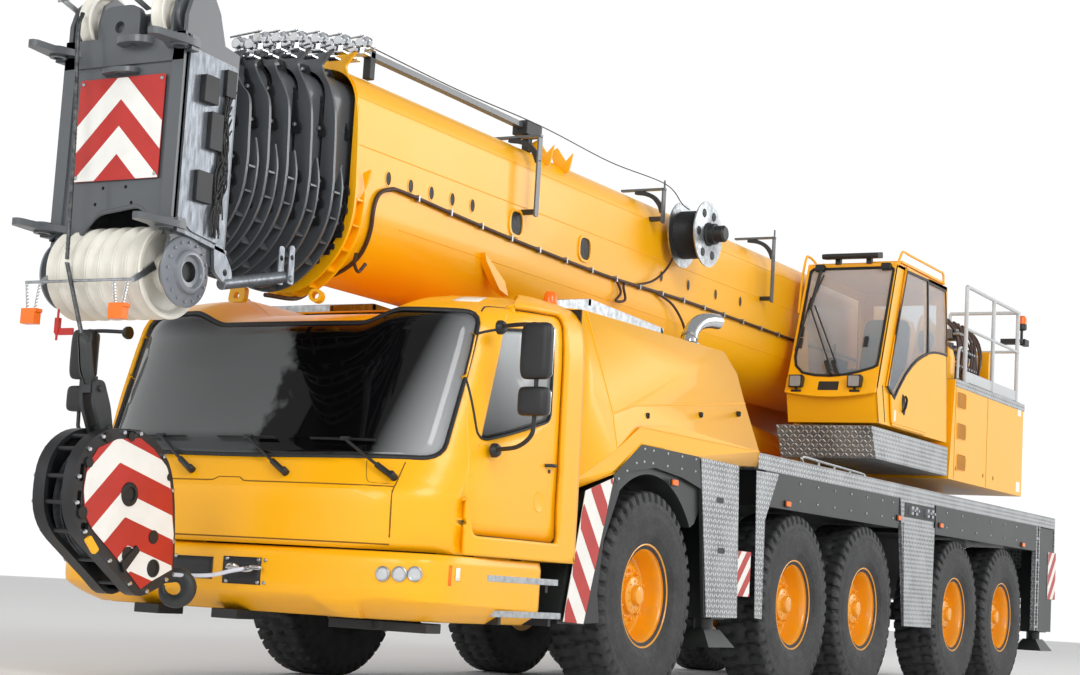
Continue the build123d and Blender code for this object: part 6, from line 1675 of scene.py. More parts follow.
# Falls: one laid wire rope from the upper sheave down past the sheave pack to its wedge socket.
# Metres.
falls = {
    "upper": ((7.335, -0.3, 3.955), (7.4, -0.262, 3.8), (7.42, -0.2, 3.2), (7.44, -0.155, 2.46)),
    "lower": ((7.44, -0.153, 2.44), (7.43, -0.09, 2.25), (7.41, -0.02, 2.02)),
    "socket": ((7.412, -0.015, 2.03), (7.4, 0.0, 1.96), (7.37, 0.0, 1.83), (7.335, 0.0, 1.74)),
    "core": 0.008,
    "strand": 0.0056,
    "lay": 0.15,
}


def layRope(f, key):
    # Six strands wind round the core: p = c + r (cos a, sin a) with a = 2 pi (s / lay + k / 6)
    path = along(np.asarray(f[key]), 24)
    run = np.concatenate(((0,), np.cumsum(np.linalg.norm(np.diff(path, axis=0), axis=1))))
    strands = []
    for strand in range(6):
        turn = 2 * np.pi * (run / f["lay"] + strand / 6)
        strands.append(tube(path + f["core"] * np.stack((np.cos(turn), np.sin(turn), 0 * turn), 1),
            f["strand"], 5, (0, 1, 0)))
    return joined(*strands)


meshPiece("upperRope", layRope(falls, "upper"), "section_7", ropeSteel)
meshPiece("lowerRope", layRope(falls, "lower"), "falls", ropeSteel, ("rope_falls",))
socketLine = along(np.asarray(falls["socket"]), 6)
wide = np.interp(np.linspace(0, 1, len(socketLine)), (0, 0.1, 0.3, 0.75, 1.0), (0.018, 0.034, 0.046,
    0.05, 0.034))
turnAngles = np.linspace(0, 2 * np.pi, 20, endpoint=False)
socketRings = socketLine[:, None] + wide[:, None, None] * (np.cos(turnAngles)[None, :, None]
    * np.array((1.0, 0, 0.25)) + 0.8 * np.sin(turnAngles)[None, :, None] * np.array((0, 1.0, 0)))
meshPiece("fallSocket", joined(surface(socketRings, True, False), slab((7.3, -0.03, 1.7),
    (7.36, 0.03, 1.8))), "falls", blackIronAndShade, bevel=0.003)

# Weights on chains from the lower guard, limit switch, tie bar below the collars. Metres.
hung = {
    "blocks": ((-0.41, 2.135), (0.245, 2.155)),
    "guardZ": 2.335,
    "x": 7.425,
}


def makeHung(d):
    # Links at even steps down to each weight, then the flag, the tie bar and its pin
    link = ringLoop(0.013, 0.0032)
    chains, weights = [], []
    for y, z in d["blocks"]:
        for side in (-0.03, 0.03):
            count = 8
            zs = np.linspace(d["guardZ"] - 0.012, z + 0.05, count)
            ys = y + side + np.linspace(0.02 * np.sign(side), 0, count)
            chains.append(repeated(link, np.stack((np.full(count, d["x"]), ys, zs), 1)))
        weights.append(plate("x", d["x"] - 0.03, d["x"] + 0.03, ((y - 0.052, z - 0.045),
            (y + 0.052, z - 0.045), (y + 0.052, z + 0.022), (y + 0.062, z + 0.022),
            (y + 0.062, z + 0.045), (y - 0.052, z + 0.045))))
    meshPiece("guardChains", joined(*chains), "section_7", hardChrome)
    meshPiece("guardWeights", joined(*weights), "section_7", amberLens, bevel=0.004)
    flag = joined(rod((7.38, -0.24, 2.18), (7.38, -0.24, 2.0), 0.007), slab((7.37, -0.25, 2.03),
        (7.385, -0.12, 2.07)), slab((7.365, -0.255, 2.04), (7.39, -0.225, 2.13)))
    meshPiece("limitFlag", flag, "section_7", signRed)
    bar = rod((6.8, 0.455, 2.405), (6.2, 0.455, 2.545), 0.036, 28)
    links = [plate("y", y, y + 0.01, roundedLoop(((6.155, 2.5), (6.215, 2.5), (6.215, 2.74),
        (6.165, 2.74)), 0.022), (circle((6.188, 2.665), 0.017, 20),)) for y in (0.49, 0.412)]
    pin = turned(((0, 0.055), (0.016, 0.055), (0.02, 0.048), (0.02, -0.055), (0, -0.055)),
        (0, 1, 0), (6.188, 0.455, 2.535), 20)
    meshPiece("tieBar", joined(bar, *links, pin), "section_7", headSteel, bevel=0.002)


def ringLoop(radius, thick):
    # One oval link as a closed tube: (y, z) = r (0.7 cos a, sin a)
    a = np.linspace(0, 2 * np.pi, 11)[:-1]
    circleLine = np.stack((0 * a, radius * 0.7 * np.cos(a), radius * np.sin(a)), 1)
    return tube(np.concatenate((circleLine, circleLine[:1])), thick, 5, (1, 0, 0))


makeHung(hung)
print("hook block ready")

# Crane cab: slanted front with one big pane, side door that slides, visor, guards, lamps and
# wipers. Metres.
crane = {
    "inner": 0.6,
    "outer": 1.49,
    "chin": (-1.47, 2.78),
    "brow": (-1.89, 3.97),
    "foot": (-1.56, 2.445),
    "rearTop": (-3.4, 4.0),
    "rearFoot": (-3.52, 2.445),
    "frontPane": ((0.64, 0.3), (0.665, 0.205), (0.74, 0.132), (0.87, 0.105), (1.02, 0.098),
        (1.17, 0.112), (1.3, 0.142), (1.42, 0.18), (1.462, 0.205), (1.468, 0.3), (1.468, 1.215),
        (1.44, 1.238), (0.665, 1.238), (0.64, 1.215)),
    "pane1": ((-1.7, 2.8), (-1.9, 2.705), (-2.0, 2.8), (-2.2, 2.965), (-2.36, 3.065),
        (-2.52, 3.145), (-2.68, 3.205), (-2.82, 3.245), (-2.79, 3.6), (-2.745, 3.965),
        (-2.13, 3.955), (-1.96, 3.5)),
    "pane2": ((-2.9, 3.262), (-3.05, 3.29), (-3.2, 3.305), (-3.36, 3.312), (-3.475, 3.312),
        (-3.43, 3.62), (-3.365, 3.955), (-2.815, 3.955), (-2.86, 3.6)),
    "doorLow": ((-1.86, 2.475), (-2.845, 2.475), (-2.838, 3.238), (-2.68, 3.192), (-2.52, 3.132),
        (-2.36, 3.052), (-2.2, 2.952), (-2.0, 2.787), (-1.905, 2.69), (-1.8, 2.735)),
}


def tilted(shape, start, end):
    # A shape with X as its thickness, Y across and Z up the slope is laid on the line from start to
    # end in (x, z)
    points, faces = shape
    points = np.asarray(points, float)
    up = np.subtract(end, start) / np.hypot(*np.subtract(end, start))
    out = np.array((up[1], -up[0]))
    x = start[0] + points[:, 2] * up[0] + points[:, 0] * out[0]
    z = start[1] + points[:, 2] * up[1] + points[:, 0] * out[1]
    return np.stack((x, points[:, 1], z), 1), faces


def makeCraneCab(c):
    # Front pieces are drawn upright, then tilted onto the line from chin to brow; side pieces are
    # plates in y
    y0, y1 = c["inner"], c["outer"]
    chin, brow, foot = c["chin"], c["brow"], c["foot"]
    length = math.dist(chin, brow)
    pane = np.asarray(c["frontPane"])
    front = tilted(plate("x", -0.035, 0.0, oblong(y0, y1, -0.02, length), (pane,)), chin, brow)
    crease = np.stack((np.linspace(y0, y1, 15), -0.075 - 0.045 * np.sin(np.linspace(0, np.pi, 15))),
        1)
    low = tilted(plate("x", -0.03, 0.0, oblong(y0, y1, 0.0, math.dist(foot, chin) + 0.02)), foot,
        chin)
    lip = tilted(plate("x", -0.01, 0.012, np.concatenate((crease, ((y1, 0.07), (y0, 0.07))))), chin,
        brow)
    sideLoop = np.array((foot, c["rearFoot"], c["rearTop"], (brow[0], 3.985),
        (brow[0], brow[1] - 0.01), chin))
    outer = plate("y", y1 - 0.02, y1, sideLoop, (grown(c["pane1"], -0.012), grown(c["pane2"],
        -0.01)))
    innerPane = ((-1.98, 2.95), (-3.3, 2.95), (-3.28, 3.86), (-2.02, 3.86), (-1.86, 3.45))
    inner = plate("y", y0, y0 + 0.02, sideLoop, (innerPane,))
    roof = joined(slab((-3.42, y0, 3.955), (-1.9, y1, 4.0)), slab((-3.36, y0 + 0.05, 3.998),
        (-1.98, y1 - 0.05, 4.018)))
    floor = slab((-3.51, y0 + 0.01, 2.447), (-1.57, y1 - 0.01, 2.49))
    rear = tilted(plate("x", -0.02, 0.0, oblong(y0, y1, 0, 1.55), (oblong(0.72, 1.38, 0.6, 1.38),)),
        c["rearFoot"], c["rearTop"])
    hood = joined(slab((-3.36, 1.16, 4.018), (-2.06, 1.485, 4.04)))
    meshPiece("craneCabFrame", joined(front, low, lip, outer, inner, roof, floor, rear, hood),
        "crane_cab", yellowEnamel, ("operator_cab_shell",), bevel=0.008)
    glassFront = tilted(plate("x", -0.014, -0.006, pane), chin, brow)
    glassRear = tilted(plate("x", -0.012, -0.006, oblong(0.72, 1.38, 0.6, 1.38)), c["rearFoot"],
        c["rearTop"])
    glassSide = plate("y", y1 - 0.014, y1 - 0.008, np.asarray(c["pane2"]))
    glassInner = plate("y", y0 + 0.008, y0 + 0.014, innerPane)
    meshPiece("craneCabPanes", joined(glassFront, glassRear, glassSide, glassInner), "crane_cab",
        craneGlass, ("operator_cab_glass",))
    seals = [tilted(plate("x", -0.006, 0.006, grown(pane, 0.012), (grown(pane, -0.012),)), chin,
        brow), plate("y", y1 - 0.004, y1 + 0.003, grown(c["pane2"], 0.01),
        (grown(c["pane2"], -0.012),))]
    seals.append(rod((-2.853, y1 + 0.001, 2.48), (-2.8, y1 + 0.001, 3.97), 0.005))
    seals.append(rod((foot[0] - 0.16, y1 + 0.001, 2.47), (chin[0] - 0.15, y1 + 0.001, 2.8), 0.004))
    meshPiece("craneCabSeals", joined(*seals), "crane_cab", sealRubberAndShade)
    # Sliding door: low skin with an arched top edge, the pane above it and its seal
    skin = plate("y", y1 + 0.006, y1 + 0.024, np.asarray(c["doorLow"]))
    rail = slab((-2.84, y1 + 0.006, 2.452), (-1.88, y1 + 0.018, 2.478))
    post = plate("y", y1 + 0.006, y1 + 0.022, ((-1.74, 2.78), (-1.99, 3.5), (-2.16, 3.975),
        (-2.13, 3.985), (-1.955, 3.5), (-1.69, 2.8)))
    head_ = slab((-2.77, y1 + 0.006, 3.962), (-2.13, y1 + 0.022, 3.985))
    meshPiece("craneDoorSkin", joined(skin, rail, post, head_), "crane_cab_door", yellowEnamel,
        ("operator_door",), bevel=0.004)
    meshPiece("craneDoorPane", plate("y", y1 + 0.009, y1 + 0.015, np.asarray(c["pane1"])),
        "crane_cab_door", craneGlass)
    ring = plate("y", y1 + 0.01, y1 + 0.027, grown(c["pane1"], 0.006), (grown(c["pane1"], -0.016),))
    dish = turned(((0, 0.004), (0.034, 0.005), (0.04, 0.008), (0.044, 0.0), (0, 0.0)), (0, 1, 0),
        (0, 0, 0), 28)
    points, faces = dish
    points = np.asarray(points) * (1.0, 1.0, 2.4)
    turn = math.radians(-17)
    points = np.stack((points[:, 0] * math.cos(turn) - points[:, 2] * math.sin(turn), points[:, 1],
        points[:, 0] * math.sin(turn) + points[:, 2] * math.cos(turn)), 1)
    handle = (points + (-2.15, y1 + 0.022, 2.675), faces)
    grip = carried(oblong(-0.007, 0.007, -0.01, 0.01), along(((-2.11, y1 + 0.028, 2.6),
        (-2.13, y1 + 0.05, 2.64), (-2.17, y1 + 0.05, 2.72), (-2.19, y1 + 0.028, 2.76)), 4), (0, 1,
        0))
    meshPiece("craneDoorTrim", joined(ring, handle, grip), "crane_cab_door", sealRubberAndShade)
    label = slab((-1.945, y1 + 0.0235, 2.5), (-1.9, y1 + 0.0255, 2.6))
    meshPiece("craneDoorLabel", label, "crane_cab_door", signWhite)

    def front3(y, s, lift=0.0):
        # A point on the tilted front: s up from the chin, lift off the pane
        (p,), _ = tilted(([(lift, y, s)], []), chin, brow)
        return tuple(p)

    # Wipers, work lamps, blank data plate, visor, guards
    wipers = [rod(front3(0.755, 1.22, 0.03), front3(0.72, 0.78, 0.045), 0.016, 10),
        rod(front3(0.72, 0.8, 0.045), front3(0.995, 0.22, 0.03), 0.007, 8),
        rod(front3(0.76, 0.82, 0.045), front3(1.065, 0.22, 0.03), 0.007, 8),
        rod(front3(0.79, 1.16, 0.025), front3(0.66, 0.62, 0.035), 0.008, 8),
        rod(front3(0.7, 0.92, 0.02), front3(0.64, 0.36, 0.02), 0.01, 8)]
    for y in (0.995, 1.065):
        wipers.append(tilted(plate("x", 0.012, 0.036, ((y - 0.05, 0.235), (y - 0.02, 0.25),
            (y + 0.05, 0.105), (y + 0.018, 0.09))), chin, brow))
    for y in (0.74, 1.4):
        wipers.append(tilted(slab((0.0, y - 0.045, 1.205), (0.05, y + 0.045, 1.262)), chin, brow))
    for y, s in ((1.32, 0.45), (0.665, 0.56), (0.67, 0.44)):
        wipers.append(tilted(slab((-0.002, y - 0.018, s - 0.05), (0.018, y + 0.018, s + 0.05)),
            chin, brow))
    visor = plate("y", 0.775, 1.335, roundedLoop(((-1.94, 4.045), (-1.8, 4.03), (-1.79, 4.075),
        (-1.93, 4.105)), 0.02))
    feet = joined(slab((-1.93, 0.88, 3.99), (-1.88, 0.93, 4.05)), slab((-1.93, 1.19, 3.99),
        (-1.88, 1.24, 4.05)))
    bodies, lenses = [], []
    for y in (0.715, 1.29):
        x, z = chin[0] + 0.045, chin[1] + 0.035
        bodies.append(plate("y", y - 0.066, y + 0.066, roundedLoop(((x - 0.05, z - 0.045),
            (x + 0.02, z - 0.062), (x + 0.02, z + 0.062), (x - 0.05, z + 0.045)), 0.012)))
        bodies.append(plate("y", y - 0.012, y + 0.012, oblong(x - 0.03, x - 0.005, z - 0.1,
            z - 0.04)))
        bodies.append(rod((x - 0.015, y - 0.05, z - 0.09), (x - 0.015, y + 0.05, z - 0.09), 0.012,
            10))
        lenses.append(plate("x", x + 0.018, x + 0.026, roundedLoop(oblong(y - 0.052, y + 0.052,
            z - 0.048, z + 0.048), 0.014)))
    plateBlank = tilted(plate("x", 0.0, 0.014, roundedLoop(oblong(0.925, 1.125, -0.055, 0.035),
        0.01)), chin, brow)
    meshPiece("craneCabFittings", joined(*wipers, visor, feet, *bodies, plateBlank), "crane_cab",
        blackPlastic, bevel=0.003)
    meshPiece("craneLampLenses", joined(*lenses), "crane_cab", lampGlass)
    guards = [tube(along(((-1.92, 1.485, 3.97), (-1.99, 1.487, 4.06), (-2.07, 1.487, 4.125),
        (-2.3, 1.487, 4.125), (-3.1, 1.487, 4.122), (-3.26, 1.487, 4.118), (-3.29, 1.487, 4.06),
        (-3.28, 1.487, 4.01)), 5), 0.012, 10, (0, 1, 0)), tube(along(((-1.74, 0.585, 3.5),
        (-1.84, 0.56, 3.8), (-1.93, 0.56, 4.06), (-1.98, 0.575, 4.085), (-2.02, 0.61, 4.05),
        (-2.03, 0.64, 4.0)), 5), 0.012, 10, (0, 1, 0)), rod((-2.15, 0.66, 4.01), (-2.15, 0.66,
        4.05), 0.012)]
    meshPiece("craneCabGuards", joined(*guards), "crane_cab", yellowEnamel)


makeCraneCab(crane)

# Padded seats: each pad is a rounded box whose faces bulge and whose corners pull in. Metres.
seatPads = {
    "craneSeatCushion": ("crane_cab", (-2.62, 1.04, 2.97), (0.52, 0.5, 0.13), 4, "operator_seat"),
    "craneSeatBack": ("crane_cab", (-2.9, 1.04, 3.3), (0.12, 0.46, 0.62), 14, "operator_seat"),
}


def makePad(name, body, centre, size, lean, node):
    # Superellipsoid x = a c|c|^e, with a waist of 8 per cent where the seams run
    u = np.linspace(-np.pi / 2, np.pi / 2, 25)
    v = np.linspace(-np.pi, np.pi, 49)[:-1]
    cu, su, cv, sv = (signedPower(wave, 0.28) for wave in (np.cos(u), np.sin(u), np.cos(v),
        np.sin(v)))
    x = size[0] / 2 * cu[:, None] * cv[None]
    y = size[1] / 2 * cu[:, None] * sv[None]
    z = size[2] / 2 * su[:, None] * np.ones_like(v)[None]
    pinch = 1 - 0.05 * np.cos(y / size[1] * np.pi * 2) ** 2 * (np.abs(x) / size[0] * 2) ** 2
    z = z * (1 + 0.16 * np.cos(x / size[0] * np.pi) * np.cos(y / size[1] * np.pi)
        * (size[2] < size[0]))
    x = x * (1 + 0.3 * np.cos(z / size[2] * np.pi) * np.cos(y / size[1] * np.pi)
        * (size[0] < size[2])) * pinch
    turn = math.radians(-lean)
    points = np.stack((x * math.cos(turn) + z * math.sin(turn), y, -x * math.sin(turn) + z
        * math.cos(turn)), -1)
    piece = meshPiece(name, surface(points + np.asarray(centre), True, False), body, seatCloth,
        (node,) if node else ())
    return piece


for name, (body, centre, size, lean, node) in seatPads.items():
    makePad(name, body, centre, size, lean, node)
meshPiece("craneSeatFrame", joined(
    plate("y", 0.8, 0.83, roundedLoop(((-2.95, 2.49), (-2.4, 2.49), (-2.36, 2.88), (-2.9, 2.88)),
        0.05)),
    plate("y", 1.25, 1.28, roundedLoop(((-2.95, 2.49), (-2.4, 2.49), (-2.36, 2.88), (-2.9, 2.88)),
        0.05)),
    slab((-2.9, 0.83, 2.55), (-2.44, 1.25, 2.86)), slab((-2.55, 0.7, 3.02), (-2.25, 0.79, 3.14)),
    slab((-2.55, 1.29, 3.02), (-2.25, 1.38, 3.14)), rod((-2.3, 0.745, 3.13), (-2.3, 0.745, 3.28),
        0.014),
    rod((-2.3, 1.335, 3.13), (-2.3, 1.335, 3.28), 0.014), slab((-1.95, 0.66, 2.49),
        (-1.72, 1.44, 2.8))), "crane_cab", blackPlastic, bevel=0.006
)
print("crane cab ready")

# Platform, handrail and toe board beside the cabinet, valve bank behind them, cabinet trim. Metres.
walk = {
    "platform": ((-1.35, 2.4), (-1.5, 2.112), (-3.56, 2.112), (-3.56, 2.4)),
    "platformY": (0.566, 1.5),
    "posts": (-4.13, -5.08, -5.99),
    "railY": 1.47,
    "top": 4.125,
    "middle": 3.685,
    "base": 3.115,
    "vents": ((-3.805, 2.99), (-3.825, 2.675), (-3.845, 2.36)),
}


def makeWalk(w):
    # Plates, posts and rails along one y, then the valve bank and its hoses
    y0, y1 = w["platformY"]
    meshPiece("platformPlates", plate("y", y0, y1, w["platform"]), "upper", treadAluminium,
        ("walkway_rail",), bevel=0.004)
    y = w["railY"]
    rails = []
    for level, r in ((w["top"], 0.02), (w["middle"], 0.016)):
        rails.append(tube(along(((w["posts"][0], y, level), (-4.6, y, level), (-5.4, y, level),
            (w["posts"][2], y, level), (w["posts"][2] - 0.005, y - 0.03, level),
            (w["posts"][2], y - 0.3, level), (w["posts"][2], y - 0.78, level)), 4), r, 12, (0, 0,
            1)))
    for x in w["posts"]:
        rails.append(rod((x, y, w["base"]), (x, y, w["top"]), 0.022, 14))
        rails.append(slab((x - 0.05, y - 0.035, w["base"]), (x + 0.05, y + 0.028,
            w["base"] + 0.012)))
    rails.append(rod((w["posts"][2], y - 0.78, w["base"]), (w["posts"][2], y - 0.78, w["top"]),
        0.02, 14))
    rails.append(slab((w["posts"][2], y - 0.004, w["base"] + 0.02), (w["posts"][0], y + 0.004,
        w["base"] + 0.13)))
    grab = tube(along(((-3.84, 1.485, 3.13), (-3.85, 1.485, 3.36), (-3.88, 1.485, 3.44),
        (-3.94, 1.485, 3.46)), 5), 0.014, 10, (0, 1, 0))
    meshPiece("handrails", joined(*rails, grab), "upper", railEnamel)
    # Tread strip along the cabinet's top edge
    strip = joined(slab((-6.23, 1.3, 3.109), (-3.76, 1.503, 3.118)), slab((-6.23, 1.4985, 3.04),
        (-3.76, 1.5045, 3.118)))
    meshPiece("cabinetTread", strip, "upper", treadAluminium)
    vents, frames = [], []
    for x, z in w["vents"]:
        loop = roundedLoop(((x, z), (x, z - 0.155), (x - 0.3, z - 0.155), (x - 0.3, z)), 0.045)
        outer = grown(loop, 0.01)
        vents.append(plate("y", 1.498, 1.5015, loop))
        frames.append(plate("y", 1.498, 1.506, outer, (loop,)))
    for xa, xb in ((-4.86, -4.866), (-3.765, -3.771)):
        vents.append(slab((xb, 1.498, 2.1), (xa, 1.5025, 3.1)))
    for x, z in ((-4.76, 2.21), (-5.12, 2.21), (-3.83, 2.21), (-6.1, 2.2)):
        vents.append(turned(((0, 0.004), (0.02, 0.004), (0.026, 0), (0, 0)), (0, 1, 0),
            (x, 1.499, z), 20))
    meshPiece("cabinetVents", both(joined(*vents)), "upper", ventShade)
    meshPiece("cabinetFrames", both(joined(*frames)), "upper", yellowEnamel,
        bevel=0.002)
    labels = joined(slab((-6.1, 1.4995, 2.97), (-5.98, 1.5035, 3.04)), slab((-6.12, 1.4995, 2.13),
        (-5.98, 1.5035, 2.24)))
    meshPiece("cabinetLabels", labels, "upper", signWhite)
    # Valve bank, tank and hoses behind the rail
    tank = turned(((0, 0.42), (0.06, 0.415), (0.13, 0.36), (0.15, 0.28), (0.15, 0.0), (0, 0.0)),
        (0, 0, 1), (-4.2, 1.18, 3.11), 40)
    wall = plate("y", 0.98, 1.01, roundedLoop(((-3.8, 3.11), (-5.85, 3.11), (-5.85, 3.5),
        (-5.2, 3.62), (-4.75, 3.72), (-4.2, 3.86), (-4.06, 3.8)), 0.08))
    post = slab((-5.7, 1.12, 3.11), (-5.5, 1.3, 3.62))
    meshPiece("upperYellowParts", joined(tank, wall, post), "upper", yellowEnamel,
        bevel=0.006)
    drum = turned(((0, 0.1), (0.105, 0.1), (0.115, 0.09), (0.115, 0.0), (0.07, 0.0), (0.07, 0.03),
        (0, 0.03)), (0, 1, 0), (-4.08, 1.01, 3.55), 40)
    rng = np.random.default_rng(11)
    blocks, hoses, pipes = [], [], []
    for i in range(26):
        x, z = -4.55 - 0.085 * (i % 8), 3.18 + 0.17 * (i // 8)
        w_, h_ = rng.uniform(0.03, 0.045), rng.uniform(0.05, 0.075)
        blocks.append(slab((x - w_, 1.1, z - h_), (x + w_, 1.18 + 0.04 * rng.random(), z + h_)))
        pipes.append(turned(((0, 0.08), (0.014, 0.08), (0.02, 0.06), (0.022, 0.0), (0, 0.0)),
            (0, 1, 0), (x, 1.2, z), 12))
    for i in range(14):
        x = -4.5 - 0.06 * i
        hoses.append(tube(along(((x, 1.22, 3.14), (x + rng.uniform(-0.05, 0.05), 1.27, 3.34),
            (x + rng.uniform(-0.08, 0.08), 1.26, 3.56), (x + rng.uniform(-0.1, 0.1), 1.2, 3.74),
            (x + rng.uniform(-0.15, 0.15), 1.1, 3.86)), 4), 0.014, 8, (0, 1, 0)))
    meshPiece("valveBank", joined(*blocks), "upper", castSteel, bevel=0.003)
    meshPiece("valveCaps", joined(*pipes), "upper", galvanised)
    meshPiece("valveHoses", joined(drum, *hoses), "upper", hoseRubber)
    # Tail beacon and camera on a bracket
    bx = w["posts"][2] - 0.16
    base = turned(((0, 0.07), (0.05, 0.07), (0.055, 0.06), (0.055, 0.01), (0.04, 0.0), (0, 0.0)),
        (0, 0, 1), (bx, y, 3.95), 28)
    arm = joined(rod((w["posts"][2], y, 3.8), (bx, y, 3.84), 0.014), rod((bx, y, 3.8),
        (bx, y, 3.96), 0.016), slab((bx - 0.2, y - 0.03, 3.79), (bx - 0.04, y + 0.03, 3.86)),
        slab((bx + 0.05, y - 0.2, 3.78), (bx + 0.14, y - 0.02, 3.84)))
    meshPiece("tailBracket", joined(base, arm), "upper", blackPlastic, bevel=0.003)
    dome = turned(((0, 0.095), (0.03, 0.093), (0.045, 0.082), (0.05, 0.06), (0.05, 0.0), (0, 0.0)),
        (0, 0, 1), (bx, y, 4.02), 32)
    meshPiece("tailBeacon", dome, "upper", amberLens)


makeWalk(walk)
print("upper works ready")
# Carrier's sides: hood skin with its creases, grille, exhaust, arch trim, plates, steps and
# markers. Metres.
flank = {
    "roofLine": ((4.235, 2.615), (4.091, 2.632), (1.784, 2.655), (1.538, 2.518)),
    "facets": (((4.235, 2.615, 1.435), (4.091, 2.632, 1.435), (3.679, 1.977, 1.462),
        (3.651, 1.735, 1.496), (4.235, 1.478, 1.498)), ((4.091, 2.632, 1.435),
        (1.784, 2.655, 1.425), (1.538, 2.518, 1.43), (1.38, 2.3, 1.44), (3.323, 2.073, 1.452),
        (3.679, 1.977, 1.462)), ((3.679, 1.977, 1.462), (3.323, 2.073, 1.452), (1.38, 2.3, 1.44),
        (1.189, 1.937, 1.498), (3.306, 1.925, 1.499), (3.651, 1.735, 1.496)),
        ((4.235, 1.478, 1.498), (3.651, 1.735, 1.496), (3.306, 1.925, 1.499), (1.189, 1.937, 1.498),
        (1.189, 1.816, 1.488), (3.292, 1.809, 1.488), (3.703, 1.568, 1.488),
        (4.235, 1.416, 1.488))),
    "creases": (((4.091, 2.632, 1.434), (3.679, 1.977, 1.461), (3.651, 1.735, 1.495)),
        ((3.679, 1.977, 1.461), (3.323, 2.073, 1.451), (1.38, 2.3, 1.439)), ((4.235, 1.478, 1.497),
        (3.651, 1.735, 1.495), (3.306, 1.925, 1.498), (1.189, 1.937, 1.497))),
    "rear": ((1.784, 2.655), (1.538, 2.518), (1.38, 2.3), (1.189, 1.937), (1.189, 1.816)),
    "grille": ((4.15, 2.63), (4.15, 2.705), (3.6, 2.8), (2.42, 2.76), (2.36, 2.63)),
    "grilleY": (0.64, 1.19),
    "exhaust": ((2.1, 1.25, 2.62), (2.08, 1.25, 2.7), (2.02, 1.25, 2.8), (1.93, 1.265, 2.87),
        (1.8, 1.285, 2.905), (1.67, 1.3, 2.915)),
    "arch": ((3.254, 1.804), (2.315, 1.798), (2.25, 1.56), (2.6, 1.62), (3.05, 1.655), (3.45, 1.6),
        (3.64, 1.5), (3.7, 1.552), (3.292, 1.8)),
    "stripes": ((4.1, 1.418), (3.699, 1.536), (4.029, 0.535), (4.311, 0.546)),
    "darkPlate": ((3.69, 1.535), (3.6, 1.445), (3.795, 1.1), (3.85, 0.75), (3.8, 0.545),
        (4.02, 0.535)),
    "rearStripes": oblong(-7.372, -7.69, 1.526, 0.985),
    "smallStripes": oblong(1.526, 1.284, 1.135, 0.786),
    "treads": (((2.295, 1.795), (1.592, 1.791), (1.503, 0.617), (2.074, 0.616)), ((1.242, 1.782),
        (0.781, 1.79), (1.032, 1.402), (1.014, 0.616), (1.157, 0.623)), ((-2.298, 1.58),
        (-3.217, 1.575), (-3.198, 0.601), (-2.403, 0.609))),
    "markers": ((2.744, 1.574), (0.576, 1.561), (-2.16, 1.61), (-3.4, 1.61), (-6.301, 1.56)),
    "skin": 1.503,
}


def flatFace(points):
    # One facet as a fan about its mean point
    points = np.asarray(points, float)
    count = len(points)
    ring = np.arange(count)
    faces = np.stack((ring, np.roll(ring, -1), np.full(count, count)), 1)
    return np.concatenate((points, points.mean(0)[None])), [faces]


def banded(loop, pitch, slope, share=0.5, y=1.506, thick=0.002):
    # Bands inside a convex loop: what lies between z = slope x + c and z = slope x + c + share *
    # pitch
    loop = np.asarray(loop, float)
    shear = np.stack((loop[:, 1] - slope * loop[:, 0], loop[:, 0]), 1)
    v = np.linspace(shear[:, 1].min() + 1e-4, shear[:, 1].max() - 1e-4, 41)
    low = np.array([clipLoop(shear, s, -1) for s in v])
    high = np.array([clipLoop(shear, s, 1) for s in v])
    bands = []
    for level in np.arange(np.floor(shear[:, 0].min() / pitch) * pitch, shear[:, 0].max(), pitch):
        first, last = np.clip(level, low, high), np.clip(level + pitch * share, low, high)
        keep = np.arange(len(v))[last - first > 1e-3]
        for run in np.split(keep, np.where(np.diff(keep) > 1)[0] + 1):
            if len(run) > 2:
                u = np.concatenate((first[run], last[run][::-1]))
                x = np.concatenate((v[run], v[run][::-1]))
                bands.append(plate("y", y, y + thick, np.stack((x, u + slope * x), 1)))
    return joined(*bands)


